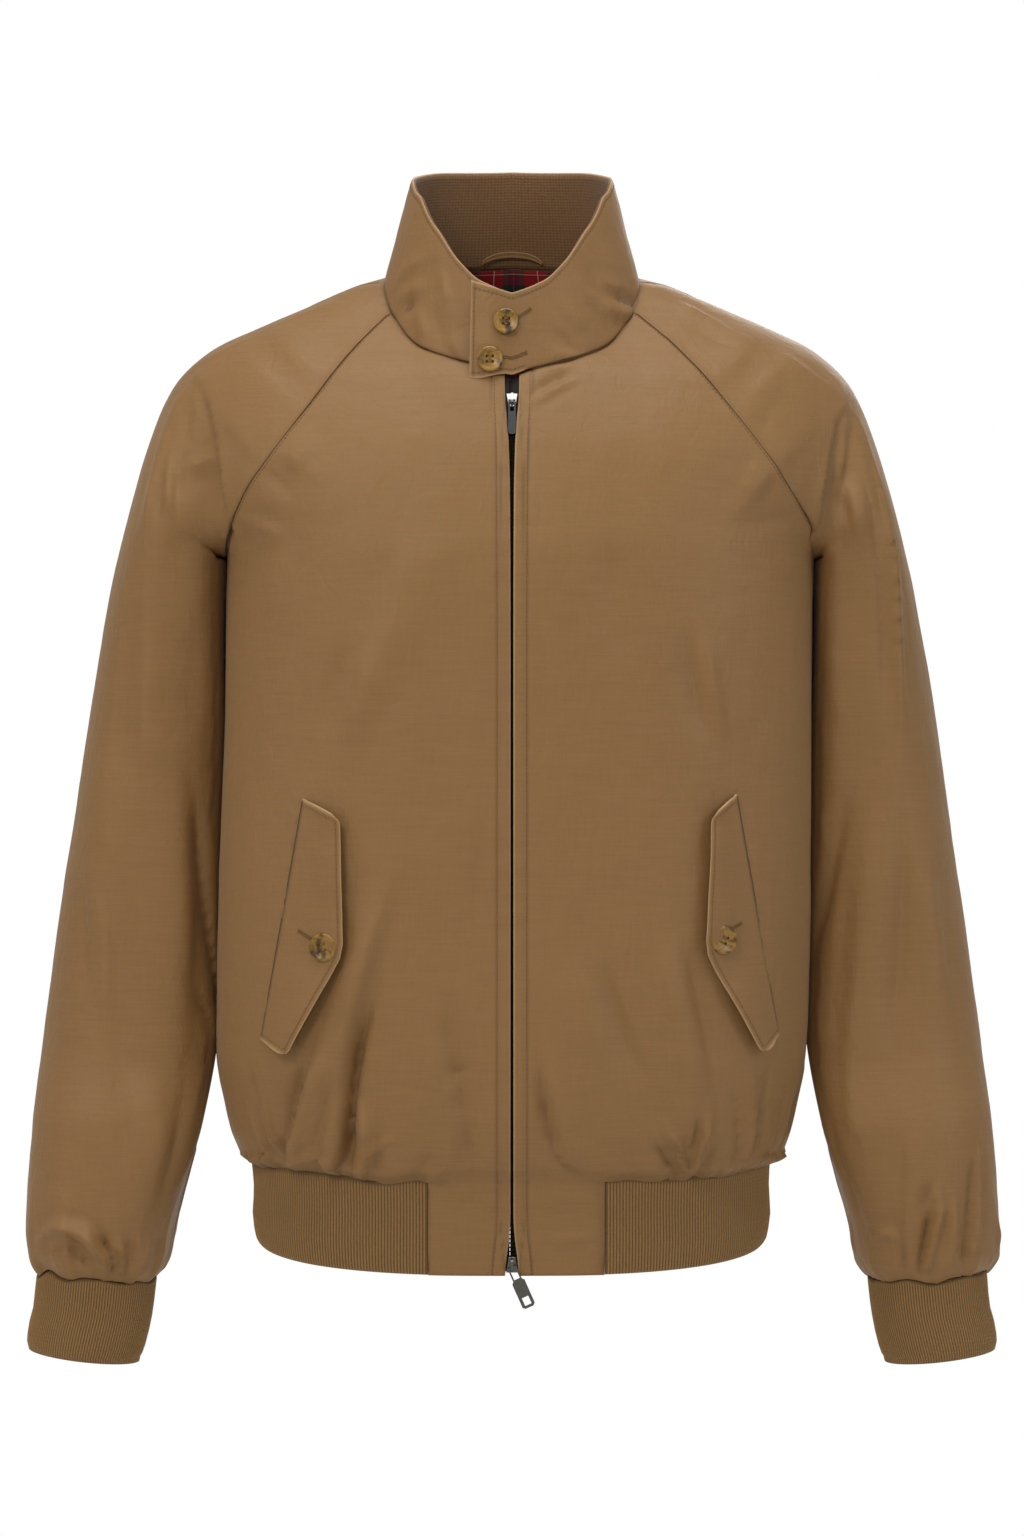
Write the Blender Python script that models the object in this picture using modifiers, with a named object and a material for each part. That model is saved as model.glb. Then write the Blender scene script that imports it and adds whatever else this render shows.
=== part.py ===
"""Harrington jacket, filled out with no wearer.

Metres, +Z up. The front of the jacket faces -Y and the wearer's left is at +X.
The origin is at the middle of the neck, where the wearer's shoulders carry the jacket.
Cloth pieces are open surfaces given their thickness inwards. Neighbouring pieces share the
same seam line and are trimmed back from it by half a seam gap each.
"""
import math

import bmesh
import bpy
import numpy as np
from mathutils import Matrix, Vector

# ---- driving sizes, metres and degrees ----
SHELL = 0.0013
KNIT = 0.0022
LINING = 0.0010
SEAM_GAP = 0.0004
LAYER_GAP = 0.0004

NECK_HALF_WIDTH = 0.0893
NECK_CENTRE_Y = -0.0135
NECK_FRONT = 0.078
NECK_BACK = 0.0835
FRONT_RAGLAN_TURN = 70.0
RIDGE_TURN = 94.0
BACK_RAGLAN_TURN = 126.0

ARMPIT_LEVEL = -0.190
RIB_SECTION = -0.618
RIB_SEAM_SIDE = -0.606
RIB_SEAM_FRONT = -0.613
RIB_SEAM_BACK = -0.602
HEM_SIDE = -0.6595
HEM_FRONT = -0.6765
HEM_BACK = -0.6565
PLACKET = {-1: 0.0565, 1: 0.0625}

COLLAR_TAB_END = -19.0
COLLAR_UNDER_END = 357.0
TAB_LIFT = 0.0024
TAB_TURN = 10.0
TAB_COVER = 0.0014
TAB_HANG = 0.0100
TAB_SLANT = 0.42
LOOP_TURN = 17.0
LOOP_ARCH = 0.0085
LOOP_STRIP = 0.0055
LOOP_THICKNESS = 0.0012
LOOP_BOW = 0.0010
BUTTON_RADIUS = 0.0088
POCKET_BUTTON_RADIUS = 0.0098
BUTTON_THICKNESS = 0.0030
BUTTON_SIDES = 20
BUTTON_HOLE_SIDES = 6
BUTTON_HOLE = 0.11
BUTTON_HOLE_SPREAD = 0.21
LINING_RISE = 0.03
LINING_TUCK = 0.0014
TAPE_WIDTH = 0.013
TAPE_BACK = 0.003
CHAIN_HALF_WIDTH = 0.0019
CHAIN_THICKNESS = 0.0014
SLIDER_WIDTH = 0.0080
SLIDER_LENGTH = 0.0105
SLIDER_PLATE = 0.0012
SLIDER_SLOT = 0.0020
SLIDER_NECK = 0.0030
SLIDER_NARROW = 0.62
SLIDER_DEPTH = 0.0004
BRIDGE_WIDTH = 0.0016
BRIDGE_REACH = 0.0042
BRIDGE_LENGTH = 0.0076
BRIDGE_THICKNESS = 0.0010
PIN_RADIUS = 0.0006
PIN_PLAY = 0.0006
UPPER_SLIDER_LEVEL = -0.0850
LOWER_SLIDER_LEVEL = -0.6690
LOWER_PULL_TILT = 24.0
UPPER_PULL_LENGTH = 0.026
UPPER_PULL_WIDTH = 0.0052
UPPER_PULL_PLAY = 0.0006
LOWER_PULL_LENGTH = 0.029
LOWER_PULL_WIDTH = 0.0090
LOWER_PULL_PLAY = 0.00125


class Table:
    """Rows of named columns, read between its rows along a smooth curve with no overshoot."""

    def __init__(self, names, *rows):
        self.names = names.split()
        self.rows = np.array(rows, dtype=float)

    def read(self, name, at):
        key = self.rows[:, 0]
        value = self.rows[:, self.names.index(name)]
        at = np.clip(np.asarray(at, dtype=float), key[0], key[-1])
        step = np.diff(key)
        rise = np.diff(value) / step
        slope = np.zeros_like(value)
        inner = slope[1:-1]
        same_way = rise[:-1] * rise[1:] > 0
        inner[same_way] = 2.0 / (1.0 / rise[:-1][same_way] + 1.0 / rise[1:][same_way])
        slope[0] = rise[0]
        slope[-1] = rise[-1]
        low = np.clip(np.searchsorted(key, at, side="right") - 1, 0, len(step) - 1)
        t = (at - key[low]) / step[low]
        start = (1 + 2 * t) * (1 - t) ** 2 * value[low] + t * (1 - t) ** 2 * step[low] * slope[low]
        end = t * t * (3 - 2 * t) * value[low + 1] + t * t * (t - 1) * step[low] * slope[low + 1]
        return start + end


# Horizontal sections of the body: half-widths at its two sides, depths in front and behind.
BODY = Table(
    "level left right front back square square_back",
    (-0.677, 0.1770, 0.1760, 0.1240, 0.118, 2.5, 2.4),
    (-0.655, 0.1810, 0.1800, 0.1260, 0.120, 2.5, 2.4),
    (-0.637, 0.1800, 0.1790, 0.1260, 0.120, 2.5, 2.4),
    (-0.618, 0.1813, 0.1800, 0.1280, 0.121, 2.5, 2.4),
    (-0.608, 0.1868, 0.1858, 0.1345, 0.127, 2.5, 2.4),
    (-0.598, 0.1913, 0.1903, 0.1385, 0.131, 2.5, 2.4),
    (-0.585, 0.1960, 0.1946, 0.1415, 0.133, 2.6, 2.4),
    (-0.567, 0.2002, 0.1988, 0.1435, 0.135, 2.6, 2.3),
    (-0.533, 0.2060, 0.2050, 0.1445, 0.135, 2.7, 2.2),
    (-0.416, 0.2045, 0.2080, 0.1420, 0.130, 2.8, 2.2),
    (-0.287, 0.1995, 0.2085, 0.1390, 0.127, 2.8, 2.2),
    (-0.190, 0.1990, 0.2105, 0.1340, 0.125, 2.7, 2.2),
    (-0.170, 0.2080, 0.2180, 0.1310, 0.124, 2.6, 2.3),
    (-0.150, 0.2270, 0.2310, 0.1270, 0.122, 2.5, 2.3),
    (-0.118, 0.2480, 0.2490, 0.1180, 0.117, 2.4, 2.3),
    (-0.0945, 0.2506, 0.2506, 0.1075, 0.112, 2.3, 2.3),
    (-0.077, 0.2430, 0.2430, 0.0985, 0.108, 2.2, 2.2),
    (-0.066, 0.2370, 0.2370, 0.0915, 0.1055, 2.2, 2.2),
    (-0.0455, 0.2150, 0.2150, 0.0710, 0.100, 2.2, 2.2),
    (-0.0186, 0.1590, 0.1590, 0.0450, 0.090, 2.2, 2.2),
    (0.0035, 0.1060, 0.1060, 0.0200, 0.079, 2.2, 2.2),
    (0.023, 0.0800, 0.0800, 0.0100, 0.070, 2.2, 2.2),
)

# The neck seam: its level by the turn round the neck from the centre front.
NECK = Table(
    "turn level",
    (0, -0.0660),
    (45, -0.0455),
    (70, -0.0186),
    (90, 0.0025),
    (112, 0.0125),
    (140, 0.0195),
    (180, 0.0230),
)

# Raglan seams: how far out each seam lies at a level.
FRONT_RAGLAN = Table(
    "level left right",
    (-0.1800, 0.1965, 0.2090),
    (-0.1693, 0.1927, 0.2055),
    (-0.1448, 0.1803, 0.1900),
    (-0.1175, 0.1607, 0.1710),
    (-0.0881, 0.1385, 0.1480),
    (-0.0490, 0.1105, 0.1155),
)
BACK_RAGLAN = Table(
    "level left right",
    (-0.1780, 0.1955, 0.2070),
    (-0.1650, 0.1890, 0.2000),
    (-0.1350, 0.1720, 0.1810),
    (-0.1000, 0.1500, 0.1560),
    (-0.0600, 0.1240, 0.1270),
    (-0.0200, 0.0980, 0.0990),
)

# The shoulder and overarm line, from the neck to the armpit's level.
RIDGE = Table(
    "out level depth",
    (0.0924, 0.0091, -0.004),
    (0.1060, 0.0035, 0.000),
    (0.1323, -0.0070, 0.007),
    (0.1736, -0.0245, 0.014),
    (0.2107, -0.0420, 0.018),
    (0.2317, -0.0595, 0.020),
    (0.2430, -0.0770, 0.021),
    (0.2566, -0.1120, 0.023),
    (0.2670, -0.1470, 0.024),
    (0.2783, -0.1900, 0.028),
)

# Sections of the sleeve below the armpit: inner and outer reach, middle, and depths.
SLEEVE = Table(
    "level inner outer middle front back square drop tuck",
    (-0.6846, 0.2478, 0.3308, -0.012, 0.0435, 0.0435, 2.0, 0.0049, 1.000),
    (-0.6790, 0.2415, 0.3350, -0.012, 0.0480, 0.0480, 2.1, 0.0040, 1.000),
    (-0.6720, 0.2385, 0.3378, -0.011, 0.0510, 0.0510, 2.2, 0.0030, 1.000),
    (-0.6545, 0.2349, 0.3392, -0.010, 0.0540, 0.0540, 2.2, 0.0015, 1.000),
    (-0.6370, 0.2303, 0.3388, -0.008, 0.0565, 0.0565, 2.2, 0.0, 1.000),
    (-0.5845, 0.2177, 0.3353, -0.002, 0.0600, 0.0610, 2.2, 0.0, 1.000),
    (-0.5320, 0.2080, 0.3297, 0.014, 0.0630, 0.0650, 2.2, 0.0, 0.999),
    (-0.4620, 0.2000, 0.3217, 0.023, 0.0670, 0.0690, 2.2, 0.0, 0.9950),
    (-0.3920, 0.1990, 0.3122, 0.026, 0.0710, 0.0720, 2.2, 0.0, 0.9915),
    (-0.3220, 0.1990, 0.3020, 0.029, 0.0750, 0.0750, 2.2, 0.0, 0.9910),
    (-0.2520, 0.1990, 0.2902, 0.030, 0.0790, 0.0780, 2.2, 0.0, 0.9960),
    (-0.1900, 0.1990, 0.2783, 0.028, 0.0830, 0.0800, 2.2, 0.0, 1.0055),
    (-0.1470, 0.1880, 0.2670, 0.024, 0.0850, 0.0810, 2.2, 0.0, 1.000),
    (-0.1120, 0.1700, 0.2566, 0.023, 0.0840, 0.0800, 2.2, 0.0, 1.000),
    (-0.0770, 0.1450, 0.2430, 0.021, 0.0800, 0.0770, 2.2, 0.0, 1.000),
    (-0.0420, 0.1200, 0.2107, 0.018, 0.0700, 0.0700, 2.2, 0.0, 1.000),
)
SLEEVE_CLEARANCE = 0.0010
UNDERARM_FADE = 0.08

CUFF = Table(
    "level inner outer middle depth drop",
    (-0.7345, 0.2585, 0.3374, -0.016, 0.0440, 0.0095),
    (-0.7250, 0.2550, 0.3368, -0.015, 0.0445, 0.0085),
    (-0.7070, 0.2506, 0.3325, -0.014, 0.0435, 0.0065),
    (-0.6846, 0.2478, 0.3308, -0.012, 0.0435, 0.0049),
)

# Cloth gathered into a band: how proud every other column stands, by its height above the seam.
GATHER = Table(
    "above proud",
    (0.000, 0.0006),
    (0.012, 0.0020),
    (0.030, 0.0028),
    (0.060, 0.0018),
    (0.110, 0.0000),
)

# Height of the collar above the neck seam, by the turn round the neck.
COLLAR = Table(
    "turn height",
    (-20, 0.0560),
    (0, 0.0550),
    (15, 0.0580),
    (27, 0.0670),
    (47, 0.0830),
    (65, 0.0850),
    (80, 0.0780),
    (95, 0.0735),
    (120, 0.0700),
    (180, 0.0680),
)
COLLAR_LEAN = Table(
    "turn inward",
    (-20, 0.06),
    (0, 0.08),
    (30, 0.16),
    (60, 0.23),
    (90, 0.26),
    (140, 0.20),
    (180, 0.15),
)

# Half the gap between the two front edges, where the zip shows.
FRONT_GAP = Table(
    "level half",
    (-0.677, 0.0052),
    (-0.660, 0.0048),
    (-0.630, 0.0016),
    (-0.150, 0.0012),
    (-0.115, 0.0024),
    (-0.095, 0.0048),
    (-0.066, 0.0052),
)

# Half of a button's section, from the middle of its face over the rim and down to its back,
# as shares of its radius and its thickness.
BUTTON = Table(
    "out up",
    (0.00, 0.62),
    (0.60, 0.66),
    (0.72, 0.86),
    (0.88, 1.00),
    (0.97, 0.85),
    (1.00, 0.35),
    (0.80, 0.00),
    (0.00, 0.00),
)

# Pocket flaps as seen from the front: the sewn edge, then the free edge, top to bottom.
FLAP_SEAM = {
    -1: ((-0.1410, -0.3550), (-0.1700, -0.5180)),
    1: ((0.1515, -0.3520), (0.1810, -0.5150)),
}
FLAP_EDGE = {
    -1: ((-0.1130, -0.3680), (-0.1110, -0.4580), (-0.1480, -0.5290)),
    1: ((0.1310, -0.3670), (0.1270, -0.4560), (0.1640, -0.5280)),
}
FLAP_THICKNESS = 0.0018
FLAP_LIFT = 0.0034
FLAP_COLUMNS = (0.0, 0.12, 0.4, 0.7, 1.0)
FLAP_ROWS = 9
COLLAR_BUTTONS = {"upper": (-0.0040, -0.0310, 0.0014), "lower": (-0.0150, -0.0570, 0.0025)}
POCKET_BUTTON_LIFT = 0.0056
POCKET_BUTTONS = {"left": (0.1395, -0.4500), "right": (-0.1245, -0.4550)}

SIDE_LEVELS = (-0.594, -0.578, -0.555, -0.52, -0.47, -0.41, -0.35, -0.29, -0.235)
RAGLAN_STATIONS = (1.0, 0.93, 0.84, 0.74, 0.63, 0.53, 0.44, 0.35, 0.24, 0.11, 0.0)
PLACKET_STATIONS = (0.0, 0.5, 1.0)
FRONT_STATIONS = (0.10, 0.26, 0.42, 0.58, 0.73, 0.86, 0.955, 1.0)
BACK_STATIONS = (0.0, 0.022, 0.07, 0.14, 0.22, 0.31, 0.405, 0.5, 0.595, 0.69, 0.78, 0.86, 0.93, 0.978, 1.0)
SLEEVE_LEVELS = (-0.215, -0.25, -0.30, -0.36, -0.42, -0.48, -0.54, -0.59, -0.63, -0.656, -0.672, -0.6795)
SLEEVE_STATIONS = (0.0, 0.05, 0.19, 0.36, 0.53, 0.70, 0.88, 1.0)
INNER_COLLAR_SHARES = (-0.012, 0.35, 0.68, 0.99)
COLLAR_SHARES = (0.0, 0.34, 0.68, 1.0)
RIB_SHARES = (1.0, 0.66, 0.33, 0.0)
RIB_COLUMNS = 37
CUFF_COLUMNS = 24
DENSE = 90


# ---- small tools ----
def smooth(t):
    t = np.clip(t, 0.0, 1.0)
    return t * t * (3 - 2 * t)


def points(x, y, z):
    x, y, z = np.broadcast_arrays(x, y, z)
    return np.stack([x, y, z], axis=-1).astype(float)


def resample(line, stations):
    """Points of a polyline at the given shares of its length."""
    run = np.concatenate([[0.0], np.cumsum(np.linalg.norm(np.diff(line, axis=0), axis=1))])
    at = np.asarray(stations) * run[-1]
    return np.stack([np.interp(at, run, line[:, k]) for k in range(3)], axis=-1)


def curve_through(knots, count=240):
    """A smooth line through a few points, spaced by their distances."""
    knots = np.asarray(knots, dtype=float)
    run = np.concatenate([[0.0], np.cumsum(np.sqrt(np.linalg.norm(np.diff(knots, axis=0), axis=1)))])
    slope = np.gradient(knots, run, axis=0, edge_order=1)
    at = np.linspace(0, run[-1], count)
    low = np.clip(np.searchsorted(run, at, side="right") - 1, 0, len(run) - 2)
    step = (run[low + 1] - run[low])[:, None]
    t = (at[:, None] - run[low][:, None]) / step
    start = (1 + 2 * t) * (1 - t) ** 2 * knots[low] + t * (1 - t) ** 2 * step * slope[low]
    end = t * t * (3 - 2 * t) * knots[low + 1] + t * t * (t - 1) * step * slope[low + 1]
    return start + end


def superellipse(turn, square):
    """Share of the half-width and of the depth at a turn from the centre front."""
    angle = np.radians(turn)
    power = 2.0 / square
    wide = np.abs(np.sin(angle)) ** power
    deep = np.sign(np.cos(angle)) * np.abs(np.cos(angle)) ** power
    return wide, deep


# ---- the body's own surface ----
def side_name(side):
    return "left" if side < 0 else "right"


def body_point(side, turn, level):
    width = BODY.read(side_name(side), level)
    square = np.where(np.asarray(turn) > 90.0, BODY.read("square_back", level), BODY.read("square", level))
    wide, deep = superellipse(turn, square)
    reach = np.where(deep > 0, BODY.read("front", level), BODY.read("back", level))
    return points(side * width * wide, -reach * deep, level)


def body_turn(side, out, level, behind=False):
    """The turn at which the body's section is a given distance out from the middle plane."""
    share = np.clip(out / BODY.read(side_name(side), level), 0.0, 1.0)
    square = BODY.read("square_back" if behind else "square", level)
    turn = np.degrees(np.arcsin(share ** (square / 2.0)))
    return 180.0 - turn if behind else turn


def body_front(x, level):
    """How far forward the front of the body lies, as y."""
    side = -1 if x < 0 else 1
    return float(body_point(side, body_turn(side, abs(x), level), level)[1])


def body_outward(x, level):
    """Unit direction out of the body's front, at a place seen from the front."""
    step = 0.002
    slope = (body_front(x + step, level) - body_front(x - step, level)) / (2 * step)
    return np.array([slope, -1.0, 0.0]) / math.hypot(slope, 1.0)


def neck_point(side, turn):
    turn = np.asarray(turn, dtype=float)
    angle = np.radians(turn)
    reach = np.where(np.cos(angle) > 0, NECK_FRONT, NECK_BACK)
    x = side * NECK_HALF_WIDTH * np.sin(angle)
    return points(x, NECK_CENTRE_Y - reach * np.cos(angle), NECK.read("level", np.abs(turn)))


def armpit(side):
    return body_point(side, 90.0, ARMPIT_LEVEL)


def raglan(side, table, neck_turn, behind):
    """The raglan seam as a line from the neck to the armpit."""
    knots = [neck_point(side, neck_turn)]
    for level, out in zip(table.rows[::-1, 0], table.read(side_name(side), table.rows[::-1, 0])):
        knots.append(body_point(side, body_turn(side, out, level, behind), level))
    knots.append(armpit(side))
    return curve_through(knots)


def front_raglan(side):
    return raglan(side, FRONT_RAGLAN, FRONT_RAGLAN_TURN, False)


def back_raglan(side):
    return raglan(side, BACK_RAGLAN, BACK_RAGLAN_TURN, True)


def ridge(side):
    start = neck_point(side, RIDGE_TURN)
    rows = [(side * out, depth, level) for out, level, depth in RIDGE.rows]
    return curve_through([start] + rows[1:])


def rib_seam_level(y):
    return np.where(y < 0, RIB_SEAM_SIDE + (RIB_SEAM_FRONT - RIB_SEAM_SIDE) * np.abs(y) / 0.13,
                    RIB_SEAM_SIDE + (RIB_SEAM_BACK - RIB_SEAM_SIDE) * np.abs(y) / 0.12)


def rib_seam(side, turn):
    """The seam between the body and the hem rib."""
    line = body_point(side, turn, RIB_SECTION)
    line[..., 2] = rib_seam_level(line[..., 1])
    return line


def hem_level(y):
    return np.where(y < 0, HEM_SIDE + (HEM_FRONT - HEM_SIDE) * np.abs(y) / 0.125,
                    HEM_SIDE + (HEM_BACK - HEM_SIDE) * np.abs(y) / 0.12)


def gather(above, columns):
    """Every other column stands proud of the gathered cloth, and none at the seams."""
    wave = np.where(np.arange(columns) % 2 == 0, -1.0, 1.0)
    wave[:2] = 0.0
    wave[-2:] = 0.0
    return GATHER.read("proud", above) * wave


# ---- panels as grids of points: rows go up, columns run towards the wearer's left in front ----
def panel_rows(side, seam, centre_low, centre_high):
    """Side point and centre level of each row, from the rib seam up to the neck."""
    straight = body_point(side, 90.0, np.array(SIDE_LEVELS))
    slanted = resample(seam, RAGLAN_STATIONS)
    ends = np.concatenate([[rib_seam(side, 90.0)], straight, slanted])
    run = np.concatenate([[0.0], np.cumsum(np.linalg.norm(np.diff(ends, axis=0), axis=1))])
    centres = centre_low + (centre_high - centre_low) * run / run[-1]
    return ends, centres, len(straight) + 1


def blend_to_neck(index, first_raglan):
    """How much a row is pulled to the neck seam's own line: 1 on the neck seam itself."""
    if index < first_raglan:
        return 0.0
    return float(np.clip(1.0 - RAGLAN_STATIONS[index - first_raglan] / 0.45, 0.0, 1.0)) ** 2


def row_line(side, end, centre, behind, lowest=False):
    """A row of a panel, on the body's surface from the middle plane to its seam."""
    middle = 180.0 if behind else 0.0
    if lowest:
        return rib_seam(side, np.linspace(middle, 90.0, DENSE))
    end_turn = body_turn(side, abs(end[0]), end[2], behind)
    share = np.linspace(0.0, 1.0, DENSE)
    level = centre + (end[2] - centre) * share ** 2
    line = body_point(side, middle + (end_turn - middle) * share, level)
    return line + (end - line[-1]) * (share ** 2)[:, None]


def front_grid(side):
    seam = front_raglan(side)
    ends, centres, first_raglan = panel_rows(side, seam, RIB_SEAM_FRONT, NECK.rows[0, 1])
    placket = PLACKET[side]
    stations = []
    rows = []
    for index, (end, centre) in enumerate(zip(ends, centres)):
        line = row_line(side, end, centre, False, index == 0)
        length = np.sum(np.linalg.norm(np.diff(line, axis=0), axis=1))
        near = [placket * s / length for s in PLACKET_STATIONS]
        far = [near[-1] + (1 - near[-1]) * s for s in FRONT_STATIONS]
        stations = near + far
        rows.append(resample(line, stations))
    rows = np.array(rows)
    neck = neck_point(side, FRONT_RAGLAN_TURN * np.array(stations))
    shift = neck - rows[-1]
    for index in range(len(rows)):
        rows[index] += shift * blend_to_neck(index, first_raglan)
    for index in range(1, 8):
        above = rows[index, :, 2] - rows[0, :, 2]
        proud = gather(above, rows.shape[1]) * (np.abs(rows[index, :, 0]) > placket + 0.02)
        rows[index, :, 1] -= proud
    return rows, stations


def back_grid():
    halves = []
    for side in (1, -1):
        ends, centres, first_raglan = panel_rows(side, back_raglan(side), RIB_SEAM_BACK, NECK.rows[-1, 1])
        lines = []
        for index, (end, centre) in enumerate(zip(ends, centres)):
            lines.append(row_line(side, end, centre, True, index == 0))
        shares = np.linspace(0.0, 1.0, DENSE)
        neck = neck_point(side, 180.0 - (180.0 - BACK_RAGLAN_TURN) * shares)
        shift = neck - resample(lines[-1], shares)
        for index in range(len(lines)):
            lines[index] = resample(lines[index], shares) + shift * blend_to_neck(index, first_raglan)
        halves.append(lines)
    rows = []
    for index, (right, left) in enumerate(zip(*halves)):
        whole = np.concatenate([right[::-1], left[1:]])
        row = resample(whole, BACK_STATIONS)
        if 0 < index < 8:
            row[:, 1] += gather(row[:, 2] - RIB_SEAM_BACK, len(BACK_STATIONS))
        rows.append(row)
    return np.array(rows)


# ---- sleeves ----
def sleeve_ring(side, turn, level):
    """A sleeve section: turn 0 at the underarm, 90 in front, 180 outside, 270 behind."""
    turn = np.asarray(turn, dtype=float)
    below = np.minimum(level, ARMPIT_LEVEL)
    beside = BODY.read(side_name(side), below) * SLEEVE.read("tuck", below) + SLEEVE_CLEARANCE
    outward = np.maximum(beside - SLEEVE.read("inner", below), 0.0)
    inner = SLEEVE.read("inner", level) + outward * (1 - smooth((level - ARMPIT_LEVEL) / UNDERARM_FADE))
    outer = SLEEVE.read("outer", level)
    angle = np.radians(turn)
    power = 2.0 / SLEEVE.read("square", level)
    across = np.sign(np.cos(angle)) * np.abs(np.cos(angle)) ** power
    along = np.sign(np.sin(angle)) * np.abs(np.sin(angle)) ** power
    reach = np.where(along > 0, SLEEVE.read("front", level), SLEEVE.read("back", level))
    x = (inner + outer) / 2 - (outer - inner) / 2 * across
    z = level - SLEEVE.read("drop", level) * (1 + across) / 2
    return points(side * x, SLEEVE.read("middle", level) - reach * along, z)


def surface_slope(side, start, toward, behind):
    """Unit direction along the body's surface from a seam point towards the ridge."""
    flat = np.array([toward[0] - start[0], 0.0, toward[2] - start[2]])
    flat /= np.linalg.norm(flat)
    step = 0.002
    depth = []
    for reach in (0.0, step):
        x = abs(start[0] + flat[0] * reach)
        z = start[2] + flat[2] * reach
        depth.append(body_point(side, body_turn(side, x, z, behind), z)[1])
    slope = np.clip((depth[1] - depth[0]) / step, -2.5, 2.5)
    direction = flat + np.array([0.0, slope, 0.0])
    return direction / np.linalg.norm(direction)


def shoulder_arc(side, start, top, behind):
    """Smooth arc from a raglan seam up over to the ridge."""
    share = np.linspace(0.0, 1.0, DENSE)[:, None]
    reach = np.linalg.norm(top - start)
    out = surface_slope(side, start, top, behind)
    forward = np.array([0.0, 1.0 if behind else -1.0, 0.0])
    first = start + out * reach * 0.42
    second = top + forward * reach * 0.42
    return ((1 - share) ** 3 * start + 3 * share * (1 - share) ** 2 * first
            + 3 * share ** 2 * (1 - share) * second + share ** 3 * top)


def part_ring(side, start, top, behind):
    """Part of a sleeve ring that leaves from a raglan seam point near the armpit."""
    share = np.linspace(0.0, 1.0, DENSE)
    level = top[2]
    underarm = sleeve_ring(side, 0.0, level)
    outside = sleeve_ring(side, 180.0, level)
    half = (abs(outside[0]) - abs(underarm[0])) / 2
    across = (abs(start[0]) - (abs(outside[0]) + abs(underarm[0])) / 2) / half
    along = (SLEEVE.read("middle", level) - start[1]) / SLEEVE.read("back" if behind else "front", level)
    turn = math.degrees(math.atan2(along, -across))
    turns = turn + ((-180.0 if behind else 180.0) - turn) * share
    line = sleeve_ring(side, turns, level)
    line[:, 2] = start[2] + (top[2] - start[2]) * smooth(share * 1.6)
    line += (start - line[0]) * (np.clip(1 - share / 0.45, 0, 1) ** 2)[:, None]
    line += (top - line[-1]) * (share ** 2)[:, None]
    return line


def sleeve_half(side, behind):
    """Grid of one half of a sleeve, from its seam or underarm to the overarm line."""
    seam = back_raglan(side) if behind else front_raglan(side)
    top_line = ridge(side)
    rows = []
    for station in RAGLAN_STATIONS[::-1]:
        start = resample(seam, (station,))[0]
        top = resample(top_line, (station,))[0]
        near = resample(part_ring(side, start, top, behind), np.linspace(0, 1, DENSE))
        arc = resample(shoulder_arc(side, start, top, behind), np.linspace(0, 1, DENSE))
        mix = float(smooth((station - 0.40) / 0.35))
        rows.append(resample(arc * (1 - mix) + near * mix, SLEEVE_STATIONS))
    turns = np.linspace(0.0, -180.0 if behind else 180.0, DENSE)
    neck_turns = (BACK_RAGLAN_TURN, RIDGE_TURN) if behind else (FRONT_RAGLAN_TURN, RIDGE_TURN)
    shares = np.array(SLEEVE_STATIONS)
    neck = neck_point(side, neck_turns[0] + (neck_turns[1] - neck_turns[0]) * shares)
    shift = neck - rows[0]
    for index, station in enumerate(RAGLAN_STATIONS[::-1]):
        rows[index] = rows[index] + shift * max(0.0, 1.0 - station / 0.3) ** 2
    for level in SLEEVE_LEVELS + (SLEEVE.rows[0, 0],):
        row = resample(sleeve_ring(side, turns, level), SLEEVE_STATIONS)
        wave = gather(level - SLEEVE.rows[0, 0], len(SLEEVE_STATIONS))
        row[:, 1] += wave * (1 if behind else -1)
        rows.append(row)
    return np.array(rows)[::-1]


# ---- building ----
def material(name, colour, roughness, metallic=0.0):
    made = bpy.data.materials.new(name)
    made.use_nodes = True
    shader = made.node_tree.nodes["Principled BSDF"]
    shader.inputs["Base Color"].default_value = (*colour, 1.0)
    shader.inputs["Roughness"].default_value = roughness
    shader.inputs["Metallic"].default_value = metallic
    return made


def make_object(name, mesh, finish):
    piece = bpy.data.objects.new(name, mesh)
    PARTS.objects.link(piece)
    mesh.materials.clear()
    mesh.materials.append(finish)
    return piece


def trim(grid, low=True, high=True, start=True, end=True):
    """Move a grid's border rows and columns back from the seam by half a seam gap."""
    grid = grid.copy()

    def pull(edge, inside):
        way = inside - edge
        way /= np.linalg.norm(way, axis=-1, keepdims=True)
        return edge + way * SEAM_GAP / 2

    if low:
        grid[0] = pull(grid[0], grid[1])
    if high:
        grid[-1] = pull(grid[-1], grid[-2])
    if start:
        grid[:, 0] = pull(grid[:, 0], grid[:, 1])
    if end:
        grid[:, -1] = pull(grid[:, -1], grid[:, -2])
    return grid


def sheet_mesh(name, grid, flip=False, extra=None, loop=False):
    """An open surface from a grid of points, with an optional second grid on its first columns."""
    mesh = bmesh.new()
    rows = [[mesh.verts.new(p) for p in row] for row in grid]

    def face_rows(lines):
        for low, high in zip(lines[:-1], lines[1:]):
            pairs = list(zip(low, low[1:], high[1:], high))
            if loop:
                pairs.append((low[-1], low[0], high[0], high[-1]))
            for quad in pairs:
                mesh.faces.new(quad[::-1] if flip else quad)

    face_rows(rows)
    if extra is not None:
        lower = [[mesh.verts.new(p) for p in row] for row in extra]
        face_rows(lower + [rows[0][:len(extra[0])]])
    made = bpy.data.meshes.new(name)
    mesh.to_mesh(made)
    mesh.free()
    made.shade_smooth()
    return made


def cloth(name, grid, thickness, finish, **options):
    piece = make_object(name, sheet_mesh(name, grid, **options), finish)
    wall = piece.modifiers.new("wall", "SOLIDIFY")
    wall.thickness = thickness
    wall.offset = -1.0
    return piece


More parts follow.
